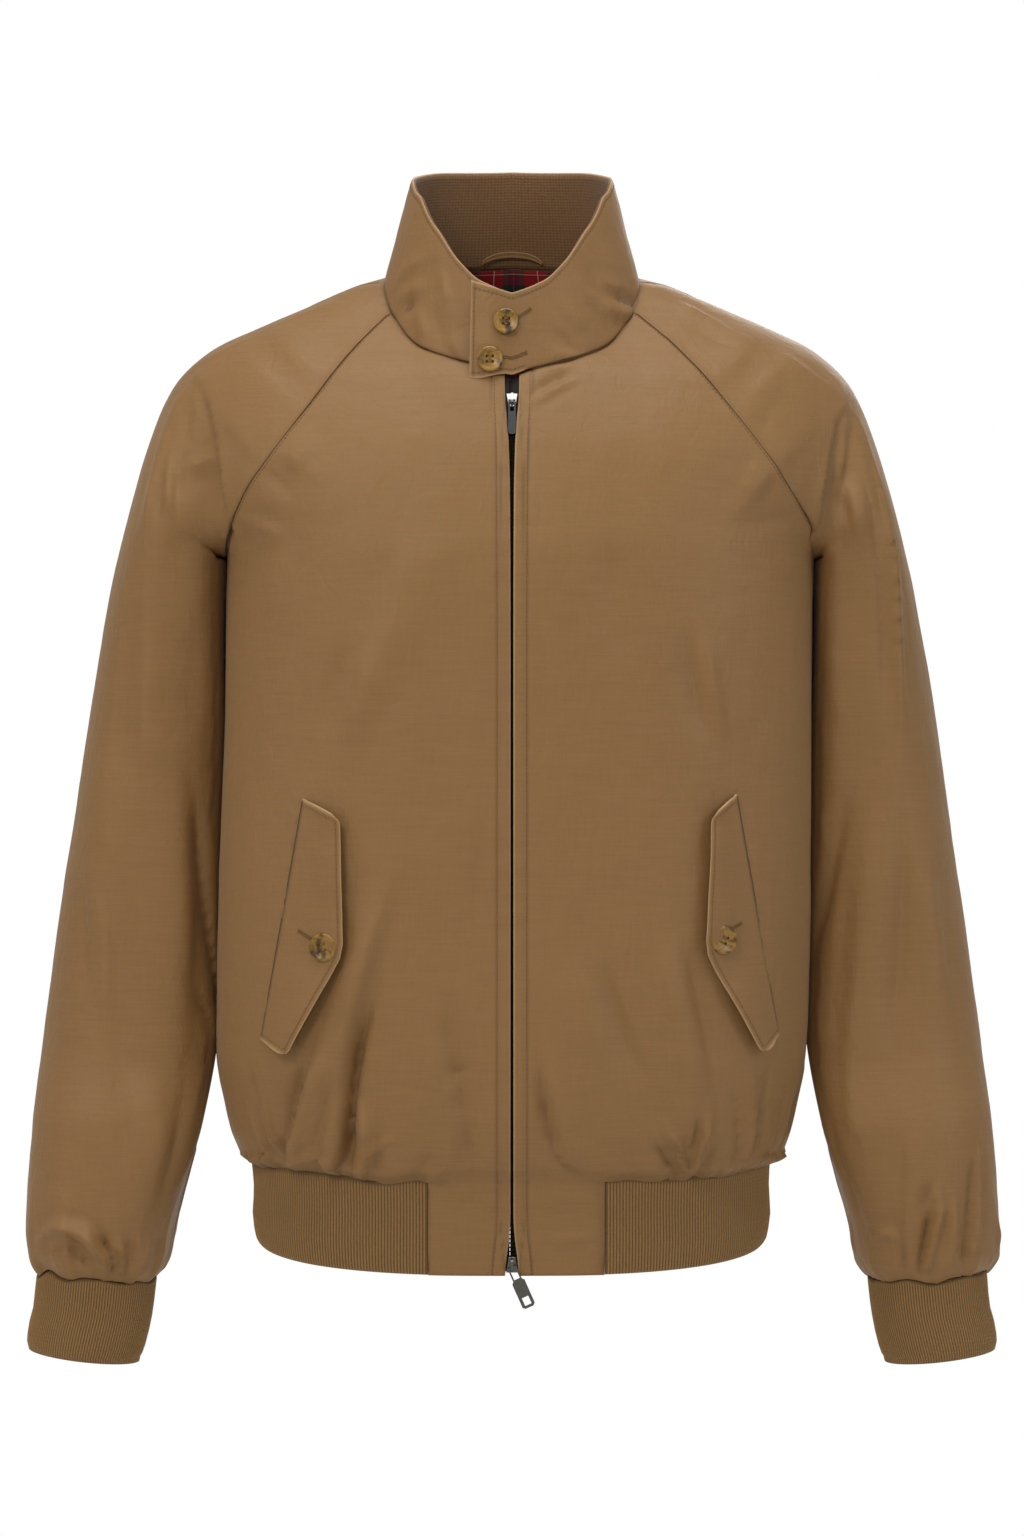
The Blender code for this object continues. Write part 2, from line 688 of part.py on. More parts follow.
def open_front(grid, side, placket):
    """Move the front edge back from the middle plane, to leave the zip's gap."""
    half = FRONT_GAP.read("half", grid[..., 2])
    out = np.abs(grid[..., 0])
    share = np.clip(1 - out / placket, 0, 1)
    grid[..., 0] += side * half * share
    return grid


def front_sheet(side):
    """A front panel: its grid above the rib seam, and its strip down to the hem beside the zip."""
    grid, _ = front_grid(side)
    placket = PLACKET[side]
    top = grid[0, :len(PLACKET_STATIONS)].copy()
    lower = []
    for share in (1.0, 0.5):
        row = top.copy()
        row[:, 2] += (HEM_FRONT - RIB_SEAM_FRONT) * share
        row[:, 1] = [body_front(x, RIB_SECTION + (z - RIB_SEAM_FRONT)) for x, _, z in row]
        lower.append(row)
    return open_front(grid, side, placket), open_front(np.array(lower), side, placket)


def front_edge():
    """Levels and depths of the front edge, from the hem up."""
    grid, lower = front_sheet(1)
    line = np.concatenate([lower[:, 0], grid[:, 0]])
    return line[:, 2], line[:, 1]


def edge_depth(level):
    levels, depths = front_edge()
    return float(np.interp(level, levels, depths))


def build_fronts():
    columns = len(PLACKET_STATIONS)
    for side, word in ((1, "left"), (-1, "right")):
        grid, lower = front_sheet(side)
        whole = trim(grid, low=False, start=False)
        whole[0, columns:] = trim(grid)[0, columns:]
        lower[:, -1, 0] -= side * SEAM_GAP / 2
        whole[0, columns - 1, 0] -= side * SEAM_GAP / 2
        cloth("front_panel_" + word, whole, SHELL, TAN, flip=side < 0, extra=lower)


def build_back():
    cloth("back_panel", trim(back_grid()), SHELL, TAN)


def build_sleeves():
    for side, word in ((1, "left"), (-1, "right")):
        for behind, half in ((False, "front"), (True, "back")):
            grid = trim(sleeve_half(side, behind))
            flip = (side < 0) != behind
            cloth("sleeve_%s_%s" % (word, half), grid, SHELL, TAN, flip=flip)


def cuff_ring(side, turns, level):
    angle = np.radians(turns)
    inner = CUFF.read("inner", level)
    outer = CUFF.read("outer", level)
    across = np.cos(angle)
    x = (inner + outer) / 2 - (outer - inner) / 2 * across
    y = CUFF.read("middle", level) - CUFF.read("depth", level) * np.sin(angle)
    return points(side * x, y, level - CUFF.read("drop", level) * (1 + across) / 2)


def build_cuffs():
    top = CUFF.rows[-1, 0] - SEAM_GAP
    levels = (CUFF.rows[0, 0], -0.7245, -0.7070, top)
    for side, word in ((1, "left"), (-1, "right")):
        turns = np.linspace(0, 360, CUFF_COLUMNS, endpoint=False)
        grid = np.array([cuff_ring(side, turns, z) for z in levels])
        cloth("cuff_" + word, grid, KNIT, KNIT_TAN, flip=side < 0, loop=True)


def rib_line(share, count):
    """A line round the hem rib, from the wearer's left front round the back to the right front."""
    halves = []
    for side in (1, -1):
        level = RIB_SECTION + (HEM_SIDE - RIB_SEAM_SIDE) * share
        start = body_turn(side, PLACKET[side] + SEAM_GAP, level)
        line = body_point(side, np.linspace(start, 180.0, DENSE), level)
        top = rib_seam_level(line[:, 1])
        line[:, 2] = top + (hem_level(line[:, 1]) - top) * share
        halves.append(line)
    return resample(np.concatenate([halves[0], halves[1][-2::-1]]), np.linspace(0, 1, count))


def build_rib():
    grid = np.array([rib_line(share, RIB_COLUMNS) for share in RIB_SHARES])
    grid[-1, :, 2] -= SEAM_GAP
    cloth("hem_rib", grid, KNIT, KNIT_TAN)


# ---- collar ----
def neck_turn_any(turn):
    """Point of the neck seam for a turn that may run past the centre front."""
    turn = float(turn)
    if turn < 0:
        return neck_point(-1, -turn)
    if turn > 180:
        return neck_point(-1, 360 - turn)
    return neck_point(1, turn)


def collar_fold(turn):
    return abs(turn) if turn <= 180 else 360 - turn


def collar_point(turn, share, inset=0.0):
    """A point on the stand collar, share 0 at the neck seam and 1 at the top edge."""
    base = neck_turn_any(turn)
    fold = collar_fold(turn) if turn >= 0 else turn
    height = float(COLLAR.read("height", fold)) * share
    lean = float(COLLAR_LEAN.read("inward", fold))
    outward = base - np.array([0.0, NECK_CENTRE_Y, base[2]])
    outward /= np.linalg.norm(outward)
    up = np.array([0, 0, math.cos(lean)]) - outward * math.sin(lean)
    return base + up * height - outward * inset


def tab_lift(turn):
    """How far the overlapping end stands in front of the end beneath it."""
    return TAB_LIFT * float(smooth((TAB_TURN - turn) / TAB_TURN) + 0.5 * smooth(-turn / TAB_TURN))


def neck_turns():
    """Turns round the neck where the edges of the panels below have their points."""
    right = list(FRONT_RAGLAN_TURN * np.array(front_grid(1)[1]))
    left = list(360.0 - FRONT_RAGLAN_TURN * np.array(front_grid(-1)[1]))[::-1]
    shares = np.array(SLEEVE_STATIONS)
    over_front = list(FRONT_RAGLAN_TURN + (RIDGE_TURN - FRONT_RAGLAN_TURN) * shares)[1:]
    over_back = list(BACK_RAGLAN_TURN + (RIDGE_TURN - BACK_RAGLAN_TURN) * shares)[::-1][1:]
    behind = list(BACK_RAGLAN_TURN + (360.0 - 2 * BACK_RAGLAN_TURN) * np.array(BACK_STATIONS))[1:]
    far_back = [360.0 - turn for turn in over_back[-2::-1]] + [360.0 - RIDGE_TURN]
    far_front = [360.0 - turn for turn in over_front[-2::-1]]
    return right + over_front + over_back + behind + far_back + far_front + left


def collar_turns():
    turns = [turn for turn in neck_turns() if turn < COLLAR_UNDER_END]
    return [COLLAR_TAB_END, -12.0, -5.0] + turns + [COLLAR_UNDER_END]


def tab_drop(turn):
    """The tab covers the neck seam, and its free end hangs a little below it."""
    cover = TAB_COVER * float(smooth((TAB_TURN - turn) / TAB_TURN))
    return cover + TAB_HANG * float(smooth(turn / COLLAR_TAB_END))


def build_collar():
    rows = []
    for share in COLLAR_SHARES:
        row = []
        for turn in collar_turns():
            point = collar_point(turn, share)
            point[1] -= tab_lift(turn) + tab_drop(turn) * TAB_SLANT * (1 - share)
            point[2] -= tab_drop(turn) * (1 - share)
            point[2] += SEAM_GAP * (1 - share)
            row.append(point)
        rows.append(row)
    cloth("collar_outer", np.array(rows), SHELL, TAN)
    turns = [turn for turn in collar_turns() if 24 <= turn <= 336]
    turns = turns[::2] + ([turns[-1]] if len(turns) % 2 == 0 else [])
    inset = SHELL + 2 * LAYER_GAP
    rows = [[collar_point(turn, share, inset) for turn in turns] for share in INNER_COLLAR_SHARES]
    cloth("collar_inner", np.array(rows), LINING, KNIT_TAN)


def build_hanger_loop():
    """A narrow strip of shell cloth that arches over the inner collar at the back of the neck."""
    rows = []
    for edge in (0.0, 1.0):
        row = []
        for share in np.linspace(-1, 1, 13):
            arch = LOOP_ARCH * (1 - abs(share) ** 3)
            high = 0.002 + arch + LOOP_STRIP * edge * (1 - 0.35 * abs(share) ** 3)
            inset = SHELL + LINING + 4 * LAYER_GAP + LOOP_BOW
            row.append(collar_point(180.0 - LOOP_TURN * share, high / COLLAR.rows[-1, 1], inset))
        rows.append(row)
    cloth("hanger_loop", np.array(rows)[:, ::-1], LOOP_THICKNESS, TAN)


def build_lining():
    """The check lining of the upper back, seen through the neck."""
    grid = back_grid()[-8:, 3:-3]
    centre = np.array([0.0, NECK_CENTRE_Y, 0.0])
    rows = []
    for row in grid:
        outward = row - centre
        outward[:, 2] = LINING_RISE
        outward /= np.linalg.norm(outward, axis=1, keepdims=True)
        rows.append(row - outward * (SHELL + 3 * LAYER_GAP))
    rows = np.array(rows)
    rows[-1, :, 2] -= LINING_TUCK
    cloth("back_lining", rows, LINING, CHECK)


# ---- pocket flaps and buttons ----
def flap_grid(side):
    seam = resample(np.array([(x, 0.0, z) for x, z in FLAP_SEAM[side]]), np.linspace(0, 1, FLAP_ROWS))
    free = resample(np.array([(x, 0.0, z) for x, z in FLAP_EDGE[side]]), np.linspace(0, 1, FLAP_ROWS))
    rows = []
    for near, far in zip(seam, free):
        row = []
        for across in FLAP_COLUMNS:
            flat = near + (far - near) * across
            lift = FLAP_THICKNESS + LAYER_GAP + FLAP_LIFT * float(smooth(across))
            row.append(np.array([flat[0], body_front(flat[0], flat[2]), flat[2]])
                       + body_outward(flat[0], flat[2]) * lift)
        rows.append(row)
    return np.array(rows)[::-1]


def build_flaps():
    for side, word in ((1, "left"), (-1, "right")):
        cloth("pocket_flap_" + word, flap_grid(side), FLAP_THICKNESS, TAN, flip=side > 0)


def turned_button(name, radius, place, facing):
    """A four-hole button: a turned profile with a raised rim and a dished middle."""
    made = bpy.data.meshes.new(name)
    line = [(out * radius, 0.0, up * BUTTON_THICKNESS) for out, up in BUTTON.rows]
    made.from_pydata(line, [(k, k + 1) for k in range(len(line) - 1)], [])
    button = make_object(name, made, HORN)
    button.location = place
    button.rotation_euler = Vector((0, 0, 1)).rotation_difference(Vector(facing)).to_euler()
    turned = button.modifiers.new("turned", "SCREW")
    turned.steps = BUTTON_SIDES
    turned.render_steps = BUTTON_SIDES
    turned.use_merge_vertices = True
    turned.merge_threshold = 0.00001
    turned.use_smooth_shade = True
    holes = bpy.data.meshes.new(name + "_holes")
    cutter_mesh = bmesh.new()
    for sx in (-1, 1):
        for sy in (-1, 1):
            spread = radius * BUTTON_HOLE_SPREAD
            move = Matrix.Translation((sx * spread, sy * spread, BUTTON_THICKNESS / 2))
            bmesh.ops.create_cone(cutter_mesh, cap_ends=True, segments=BUTTON_HOLE_SIDES,
                                  radius1=radius * BUTTON_HOLE, radius2=radius * BUTTON_HOLE,
                                  depth=BUTTON_THICKNESS * 2, matrix=move)
    cutter_mesh.to_mesh(holes)
    cutter_mesh.free()
    cutter = bpy.data.objects.new(name + "_holes", holes)
    CUTTERS.objects.link(cutter)
    cutter.location = button.location
    cutter.rotation_euler = button.rotation_euler
    cutter.hide_render = True
    cutter.display_type = "WIRE"
    cut = button.modifiers.new("holes", "BOOLEAN")
    cut.object = cutter
    return button


def build_buttons():
    for word, (x, z, lift) in COLLAR_BUTTONS.items():
        share = (z - NECK.rows[0, 1]) / float(COLLAR.read("height", 0.0))
        turn = -math.degrees(math.asin(-x / NECK_HALF_WIDTH))
        seat = collar_point(turn, share)
        y = seat[1] - tab_lift(turn) - lift
        turned_button("collar_button_" + word, BUTTON_RADIUS, (x, y, z), (0.0, -1.0, 0.10))
    for word, (x, z) in POCKET_BUTTONS.items():
        out = body_outward(x, z)
        place = np.array([x, body_front(x, z), z]) + out * POCKET_BUTTON_LIFT
        turned_button("pocket_button_" + word, POCKET_BUTTON_RADIUS, place, out)


# ---- zip ----
def tape_levels():
    levels = [HEM_FRONT + TAPE_BACK, NECK.rows[0, 1] - TAPE_BACK]
    levels += [level for level in front_edge()[0] if levels[0] + TAPE_BACK < level < levels[1] - TAPE_BACK]
    return sorted(set(levels))


def build_zip():
    depth = SHELL + LAYER_GAP * 2
    for side, word in ((1, "left"), (-1, "right")):
        rows = []
        for level in tape_levels():
            y = edge_depth(level) + depth
            rows.append([(side * (CHAIN_HALF_WIDTH + SEAM_GAP), y, level),
                         (side * (CHAIN_HALF_WIDTH + TAPE_WIDTH), y + 0.0004, level)])
        cloth("zip_tape_" + word, np.array(rows), LINING, TAPE, flip=side < 0)
    low = LOWER_SLIDER_LEVEL + SLIDER_LENGTH / 2 + 0.0006
    high = UPPER_SLIDER_LEVEL - SLIDER_LENGTH / 2 - 0.0006
    levels = [low] + [level for level in tape_levels() if low + 0.002 < level < high - 0.002] + [high]
    rows = [[(x, edge_depth(z) + depth, z) for x in (-CHAIN_HALF_WIDTH, CHAIN_HALF_WIDTH)] for z in levels]
    cloth("zip_chain", np.array(rows), CHAIN_THICKNESS, BRASS)


def lean_of_front(level):
    """Angle of the front edge's own slope from upright."""
    return math.atan2(edge_depth(level + 0.004) - edge_depth(level - 0.004), 0.008)


def slider_frame(level):
    """The place of a slider's front face, and its lean."""
    return Vector((0.0, edge_depth(level) + SLIDER_DEPTH, level)), lean_of_front(level)


def build_slider(name, level, upside_down):
    """A slider: its body, and the bridge that the pull's pin passes under."""
    place, lean = slider_frame(level)
    outline = bpy.data.curves.new(name, "CURVE")
    outline.dimensions = "2D"
    outline.fill_mode = "BOTH"
    outline.extrude = BRIDGE_WIDTH / 2
    half = BRIDGE_LENGTH / 2
    inner = BRIDGE_THICKNESS
    arch = [(-half, -0.0004), (-half, BRIDGE_REACH * 0.75), (-half + 0.001, BRIDGE_REACH),
            (half - 0.001, BRIDGE_REACH), (half, BRIDGE_REACH * 0.75), (half, -0.0004),
            (half - inner, -0.0004), (half - inner, BRIDGE_REACH - inner * 1.2),
            (-half + inner, BRIDGE_REACH - inner * 1.2), (-half + inner, -0.0004)]
    spline = outline.splines.new("POLY")
    spline.points.add(len(arch) - 1)
    for point, (along, out) in zip(spline.points, arch):
        point.co = (along, out, 0.0, 1.0)
    spline.use_cyclic_u = True
    holder = bpy.data.objects.new(name + "_bridge", outline)
    CUTTERS.objects.link(holder)
    depsgraph = bpy.context.evaluated_depsgraph_get()
    bridge = bpy.data.meshes.new_from_object(holder.evaluated_get(depsgraph))
    bpy.data.objects.remove(holder)
    work = bmesh.new()
    work.from_mesh(bridge)
    bmesh.ops.remove_doubles(work, verts=work.verts, dist=0.00001)
    turn = Matrix(((0, 0, 1, 0), (0, -1, 0, 0), (1, 0, 0, 0), (0, 0, 0, 1)))
    bmesh.ops.transform(work, matrix=turn, verts=work.verts)
    bmesh.ops.recalc_face_normals(work, faces=work.faces)
    work.to_mesh(bridge)
    work.free()
    body_mesh = bpy.data.meshes.new(name)
    work = bmesh.new()
    back = SLIDER_PLATE + SLIDER_SLOT
    wide = SLIDER_WIDTH / 2
    neck = SLIDER_NECK / 2
    profile = [(-wide, 0.0), (wide, 0.0), (wide, SLIDER_PLATE), (neck, SLIDER_PLATE), (neck, back),
               (wide, back), (wide, back + SLIDER_PLATE), (-wide, back + SLIDER_PLATE), (-wide, back),
               (-neck, back), (-neck, SLIDER_PLATE), (-wide, SLIDER_PLATE)]
    section = work.faces.new([work.verts.new((x, y, -SLIDER_LENGTH / 2)) for x, y in profile])
    grown = bmesh.ops.extrude_face_region(work, geom=[section])
    raised = [item for item in grown["geom"] if isinstance(item, bmesh.types.BMVert)]
    bmesh.ops.translate(work, verts=raised, vec=(0.0, 0.0, SLIDER_LENGTH))
    bmesh.ops.recalc_face_normals(work, faces=work.faces)
    for vert in work.verts:
        if vert.co.z * (1 if upside_down else -1) > 0:
            vert.co.x *= SLIDER_NARROW
    work.to_mesh(body_mesh)
    work.free()
    slider = make_object(name, body_mesh, STEEL)
    bridge_piece = bpy.data.objects.new(name + "_bridge", bridge)
    CUTTERS.objects.link(bridge_piece)
    bridge_piece.hide_render = True
    bridge_piece.display_type = "WIRE"
    spin = Matrix.Translation(place) @ Matrix.Rotation(-lean, 4, "X")
    slider.matrix_world = spin
    bridge_piece.matrix_world = spin
    rounded = slider.modifiers.new("rounded", "BEVEL")
    rounded.width = SLIDER_PLATE / 4
    rounded.segments = 1
    joined = slider.modifiers.new("bridge", "BOOLEAN")
    joined.operation = "UNION"
    joined.object = bridge_piece
    return spin


def pull_mesh(name, length, width, play, end_hole):
    """A pull hanging down from its pin: the pin is at the origin, and the plate has its slots cut."""
    hole_half = BRIDGE_WIDTH / 2 + play
    hole_depth = BRIDGE_LENGTH + 0.0008
    arm = 0.0011
    head = hole_half + arm
    plate_top = hole_depth + 0.0008
    corner = 0.0015
    right = [(width / 2 - corner, -length), (width / 2, -length + corner), (width / 2, -plate_top - corner),
             (head, -plate_top), (head, PIN_RADIUS)]
    outer = right + [(-x, z) for x, z in right[::-1]]
    slots = [[(-hole_half, -PIN_RADIUS), (hole_half, -PIN_RADIUS), (hole_half, -hole_depth),
              (-hole_half, -hole_depth)]]
    if end_hole:
        slots.append([(-width * 0.26, -length + 0.0075), (width * 0.26, -length + 0.0075),
                      (width * 0.26, -length + 0.0018), (-width * 0.26, -length + 0.0018)])
    flat = bpy.data.curves.new(name, "CURVE")
    flat.dimensions = "2D"
    flat.fill_mode = "BOTH"
    flat.extrude = PIN_RADIUS
    for loop in [outer] + slots:
        spline = flat.splines.new("POLY")
        spline.points.add(len(loop) - 1)
        for point, (x, z) in zip(spline.points, loop):
            point.co = (x, z, 0.0, 1.0)
        spline.use_cyclic_u = True
    holder = bpy.data.objects.new(name + "_outline", flat)
    CUTTERS.objects.link(holder)
    depsgraph = bpy.context.evaluated_depsgraph_get()
    mesh = bpy.data.meshes.new_from_object(holder.evaluated_get(depsgraph))
    bpy.data.objects.remove(holder)
    work = bmesh.new()
    work.from_mesh(mesh)
    bmesh.ops.remove_doubles(work, verts=work.verts, dist=0.00001)
    bmesh.ops.transform(work, matrix=Matrix.Rotation(math.radians(90), 4, "X"), verts=work.verts)
    bmesh.ops.recalc_face_normals(work, faces=work.faces)
    work.to_mesh(mesh)
    work.free()
    return mesh


def build_pull(name, frame, length, width, lean, tilt, play, end_hole, finish):
    """A pull hung from its slider's bridge, leaning with the cloth or tilted sideways."""
    along = -(BRIDGE_LENGTH / 2 - BRIDGE_THICKNESS - PIN_RADIUS - PIN_PLAY)
    forward = -(BRIDGE_REACH - BRIDGE_THICKNESS * 1.2) / 2
    pull = make_object(name, pull_mesh(name, length, width, play, end_hole), finish)
    pull.location = frame @ Vector((0.0, forward, along))
    pull.rotation_euler = (-lean, math.radians(-tilt), 0.0)
    return pull


def build_sliders():
    upper = build_slider("slider_upper", UPPER_SLIDER_LEVEL, False)
    lower = build_slider("slider_lower", LOWER_SLIDER_LEVEL, True)
    lean = lean_of_front(UPPER_SLIDER_LEVEL - UPPER_PULL_LENGTH / 2)
    build_pull("pull_upper", upper, UPPER_PULL_LENGTH, UPPER_PULL_WIDTH, lean, 0.0, UPPER_PULL_PLAY,
               False, GUNMETAL)
    build_pull("pull_lower", lower, LOWER_PULL_LENGTH, LOWER_PULL_WIDTH, 0.0, LOWER_PULL_TILT,
               LOWER_PULL_PLAY, True, STEEL)


# ---- scene ----
for old in list(bpy.data.objects):
    bpy.data.objects.remove(old)
PARTS = bpy.data.collections.new("harrington_jacket")
CUTTERS = bpy.data.collections.new("cutters")
bpy.context.scene.collection.children.link(PARTS)
bpy.context.scene.collection.children.link(CUTTERS)

TAN = material("tan_cotton", (0.25, 0.145, 0.055), 0.75)
KNIT_TAN = material("tan_rib_knit", (0.24, 0.14, 0.055), 0.9)
CHECK = material("red_check_lining", (0.30, 0.03, 0.03), 0.8)
HORN = material("horn_button", (0.22, 0.10, 0.03), 0.3)
TAPE = material("zip_tape", (0.05, 0.03, 0.015), 0.9)
BRASS = material("dark_zip_chain", (0.06, 0.04, 0.025), 0.4, 0.8)
STEEL = material("zip_steel", (0.35, 0.35, 0.36), 0.3, 1.0)
GUNMETAL = material("zip_gunmetal", (0.08, 0.08, 0.085), 0.35, 0.8)

build_fronts()
build_back()
build_sleeves()
build_cuffs()
build_rib()
build_collar()
build_hanger_loop()
build_lining()
build_flaps()
build_buttons()
build_zip()
build_sliders()
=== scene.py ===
import math

import bmesh
import bpy
import numpy as np
from mathutils import Matrix, Vector, noise


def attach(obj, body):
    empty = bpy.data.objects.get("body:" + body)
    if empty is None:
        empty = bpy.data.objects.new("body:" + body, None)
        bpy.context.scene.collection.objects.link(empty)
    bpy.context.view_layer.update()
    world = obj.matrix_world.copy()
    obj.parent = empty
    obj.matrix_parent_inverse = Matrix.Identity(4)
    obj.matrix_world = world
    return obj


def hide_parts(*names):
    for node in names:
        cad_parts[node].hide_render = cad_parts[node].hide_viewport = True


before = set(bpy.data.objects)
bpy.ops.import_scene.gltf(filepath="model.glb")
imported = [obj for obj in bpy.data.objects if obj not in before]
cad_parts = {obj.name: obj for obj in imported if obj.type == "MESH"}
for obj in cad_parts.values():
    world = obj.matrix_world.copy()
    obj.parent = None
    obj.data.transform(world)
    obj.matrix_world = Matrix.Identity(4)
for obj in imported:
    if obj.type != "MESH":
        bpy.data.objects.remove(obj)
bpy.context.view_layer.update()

# A waist-length zip jacket in tan poplin with rib-knit trims, filled out as if worn. The cloth is
# built panel by panel on the same sections as the part's solids, then creased, stitched and lit.

# ---- driving sizes, metres and degrees ----
SEAM_GAP = 0.0004
LAYER_GAP = 0.0004
# The wearer's left is towards +x.
SIDES = ((1, "left"), (-1, "right"))

NECK_HALF_WIDTH = 0.0893
NECK_CENTRE_Y = -0.0135
NECK_FRONT = 0.078
NECK_BACK = 0.0835
FRONT_RAGLAN_TURN = 70.0
RIDGE_TURN = 94.0
BACK_RAGLAN_TURN = 126.0

ARMPIT_LEVEL = -0.190
RIB_SECTION = -0.618
RIB_SEAM_SIDE = -0.606
RIB_SEAM_FRONT = -0.613
RIB_SEAM_BACK = -0.602
HEM_SIDE = -0.6595
HEM_FRONT = -0.6765
HEM_BACK = -0.6565
PLACKET = {-1: 0.0565, 1: 0.0625}

COLLAR_TAB_END = -19.0
COLLAR_UNDER_END = 357.0
TAB_LIFT = 0.0024
TAB_TURN = 10.0
TAB_COVER = 0.0014
TAB_HANG = 0.0100
TAB_SLANT = 0.42
TAB_REACH = 0.080
COLLAR_HIGHLIGHT_REACH = 0.0013
TAB_HEIGHT = 0.055
COLLAR_STITCH_AWAY = 0.0040
LOOP_TURN = 15.0
LOOP_ARCH = 0.0045
LOOP_STRIP = 0.0046
LOOP_BOW = 0.0010
LOOP_FOOT = 0.0020
BUTTON_RADIUS = 0.0088
POCKET_BUTTON_RADIUS = 0.0098
BUTTON_THICKNESS = 0.0030
BUTTON_HOLE_SPREAD = 0.21
LINING_RISE = 0.03
LINING_TUCK = 0.0014
TAPE_WIDTH = 0.013
TAPE_BACK = 0.003
CHAIN_HALF_WIDTH = 0.0019
SLIDER_LENGTH = 0.0105
UPPER_SLIDER_LEVEL = -0.0850
LOWER_SLIDER_LEVEL = -0.6690

# ---- thicknesses of cloth, and the layers that the collar is made of ----
PANEL_WALL = 0.0009
RIB_WALL = 0.0012
COLLAR_WALL = 0.0016
FACING_WALL = 0.0010
LOOP_WALL = 0.0011
LINING_WALL = 0.0008
FLAP_WALL = 0.0015
FLAP_SOFT_EDGE = 0.0004
TAPE_WALL = 0.0008
OUTER_LAYER = 0.0013
FACING_LAYER = 0.0010

# ---- how finely the surfaces are worked out ----
DENSE = 240
RAGLAN_KNOTS = 1200
RAGLAN_POINTS = 700
METRES_PER_DEGREE = 0.0028
SLOPE_STEP = 0.002
STEEPEST = 2.5
WELD = 0.00001


class Table:
    """Rows of named columns, read between its rows along a smooth curve with no overshoot."""

    def __init__(self, names, *rows):
        self.names = names.split()
        self.rows = np.array(rows, dtype=float)

    def read(self, name, at):
        key = self.rows[:, 0]
        value = self.rows[:, self.names.index(name)]
        at = np.clip(np.asarray(at, dtype=float), key[0], key[-1])
        step = np.diff(key)
        rise = np.diff(value) / step
        slope = np.zeros_like(value)
        inner = slope[1:-1]
        same_way = rise[:-1] * rise[1:] > 0
        inner[same_way] = 2.0 / (1.0 / rise[:-1][same_way] + 1.0 / rise[1:][same_way])
        slope[0] = rise[0]
        slope[-1] = rise[-1]
        low = np.clip(np.searchsorted(key, at, side="right") - 1, 0, len(step) - 1)
        t = (at - key[low]) / step[low]
        return hermite(t, step[low], value[low], value[low + 1], slope[low], slope[low + 1])


# Horizontal sections of the body: half-widths at its two sides, depths in front and behind.
BODY = Table(
    "level left right front back square square_back",
    (-0.677, 0.1770, 0.1760, 0.1240, 0.118, 2.5, 2.4),
    (-0.655, 0.1810, 0.1800, 0.1260, 0.120, 2.5, 2.4),
    (-0.637, 0.1800, 0.1790, 0.1260, 0.120, 2.5, 2.4),
    (-0.618, 0.1813, 0.1800, 0.1280, 0.121, 2.5, 2.4),
    (-0.608, 0.1868, 0.1858, 0.1345, 0.127, 2.5, 2.4),
    (-0.598, 0.1913, 0.1903, 0.1385, 0.131, 2.5, 2.4),
    (-0.585, 0.1960, 0.1946, 0.1415, 0.133, 2.6, 2.4),
    (-0.567, 0.2002, 0.1988, 0.1435, 0.135, 2.6, 2.3),
    (-0.533, 0.2060, 0.2050, 0.1445, 0.135, 2.7, 2.2),
    (-0.416, 0.2045, 0.2080, 0.1420, 0.130, 2.8, 2.2),
    (-0.287, 0.1995, 0.2085, 0.1390, 0.127, 2.8, 2.2),
    (-0.190, 0.1990, 0.2105, 0.1340, 0.125, 2.7, 2.2),
    (-0.170, 0.2080, 0.2180, 0.1310, 0.124, 2.6, 2.3),
    (-0.150, 0.2270, 0.2310, 0.1270, 0.122, 2.5, 2.3),
    (-0.118, 0.2480, 0.2490, 0.1180, 0.117, 2.4, 2.3),
    (-0.0945, 0.2506, 0.2506, 0.1075, 0.112, 2.3, 2.3),
    (-0.077, 0.2430, 0.2430, 0.0985, 0.108, 2.2, 2.2),
    (-0.066, 0.2370, 0.2370, 0.0915, 0.1055, 2.2, 2.2),
    (-0.0455, 0.2150, 0.2150, 0.0710, 0.100, 2.2, 2.2),
    (-0.0186, 0.1590, 0.1590, 0.0450, 0.090, 2.2, 2.2),
    (0.0035, 0.1060, 0.1060, 0.0200, 0.079, 2.2, 2.2),
    (0.023, 0.0800, 0.0800, 0.0100, 0.070, 2.2, 2.2),
)

# The neck seam: its level by the turn round the neck from the centre front.
NECK = Table(
    "turn level",
    (0, -0.0660),
    (45, -0.0455),
    (70, -0.0186),
    (90, 0.0025),
    (112, 0.0125),
    (140, 0.0195),
    (180, 0.0230),
)

# Raglan seams: how far out each seam lies at a level.
FRONT_RAGLAN = Table(
    "level left right",
    (-0.1800, 0.1965, 0.2090),
    (-0.1693, 0.1927, 0.2055),
    (-0.1448, 0.1803, 0.1900),
    (-0.1175, 0.1607, 0.1710),
    (-0.0881, 0.1385, 0.1480),
    (-0.0490, 0.1105, 0.1155),
)
BACK_RAGLAN = Table(
    "level left right",
    (-0.1780, 0.1955, 0.2070),
    (-0.1650, 0.1890, 0.2000),
    (-0.1350, 0.1720, 0.1810),
    (-0.1000, 0.1500, 0.1560),
    (-0.0600, 0.1240, 0.1270),
    (-0.0200, 0.0980, 0.0990),
)

# The shoulder and overarm line, from the neck down to the armpit's level.
RIDGE = Table(
    "out level depth",
    (0.0924, 0.0091, -0.004),
    (0.1060, 0.0035, 0.000),
    (0.1323, -0.0070, 0.007),
    (0.1736, -0.0245, 0.014),
    (0.2107, -0.0420, 0.018),
    (0.2317, -0.0595, 0.020),
    (0.2430, -0.0770, 0.021),
    (0.2566, -0.1120, 0.023),
    (0.2670, -0.1470, 0.024),
    (0.2783, -0.1900, 0.028),
)

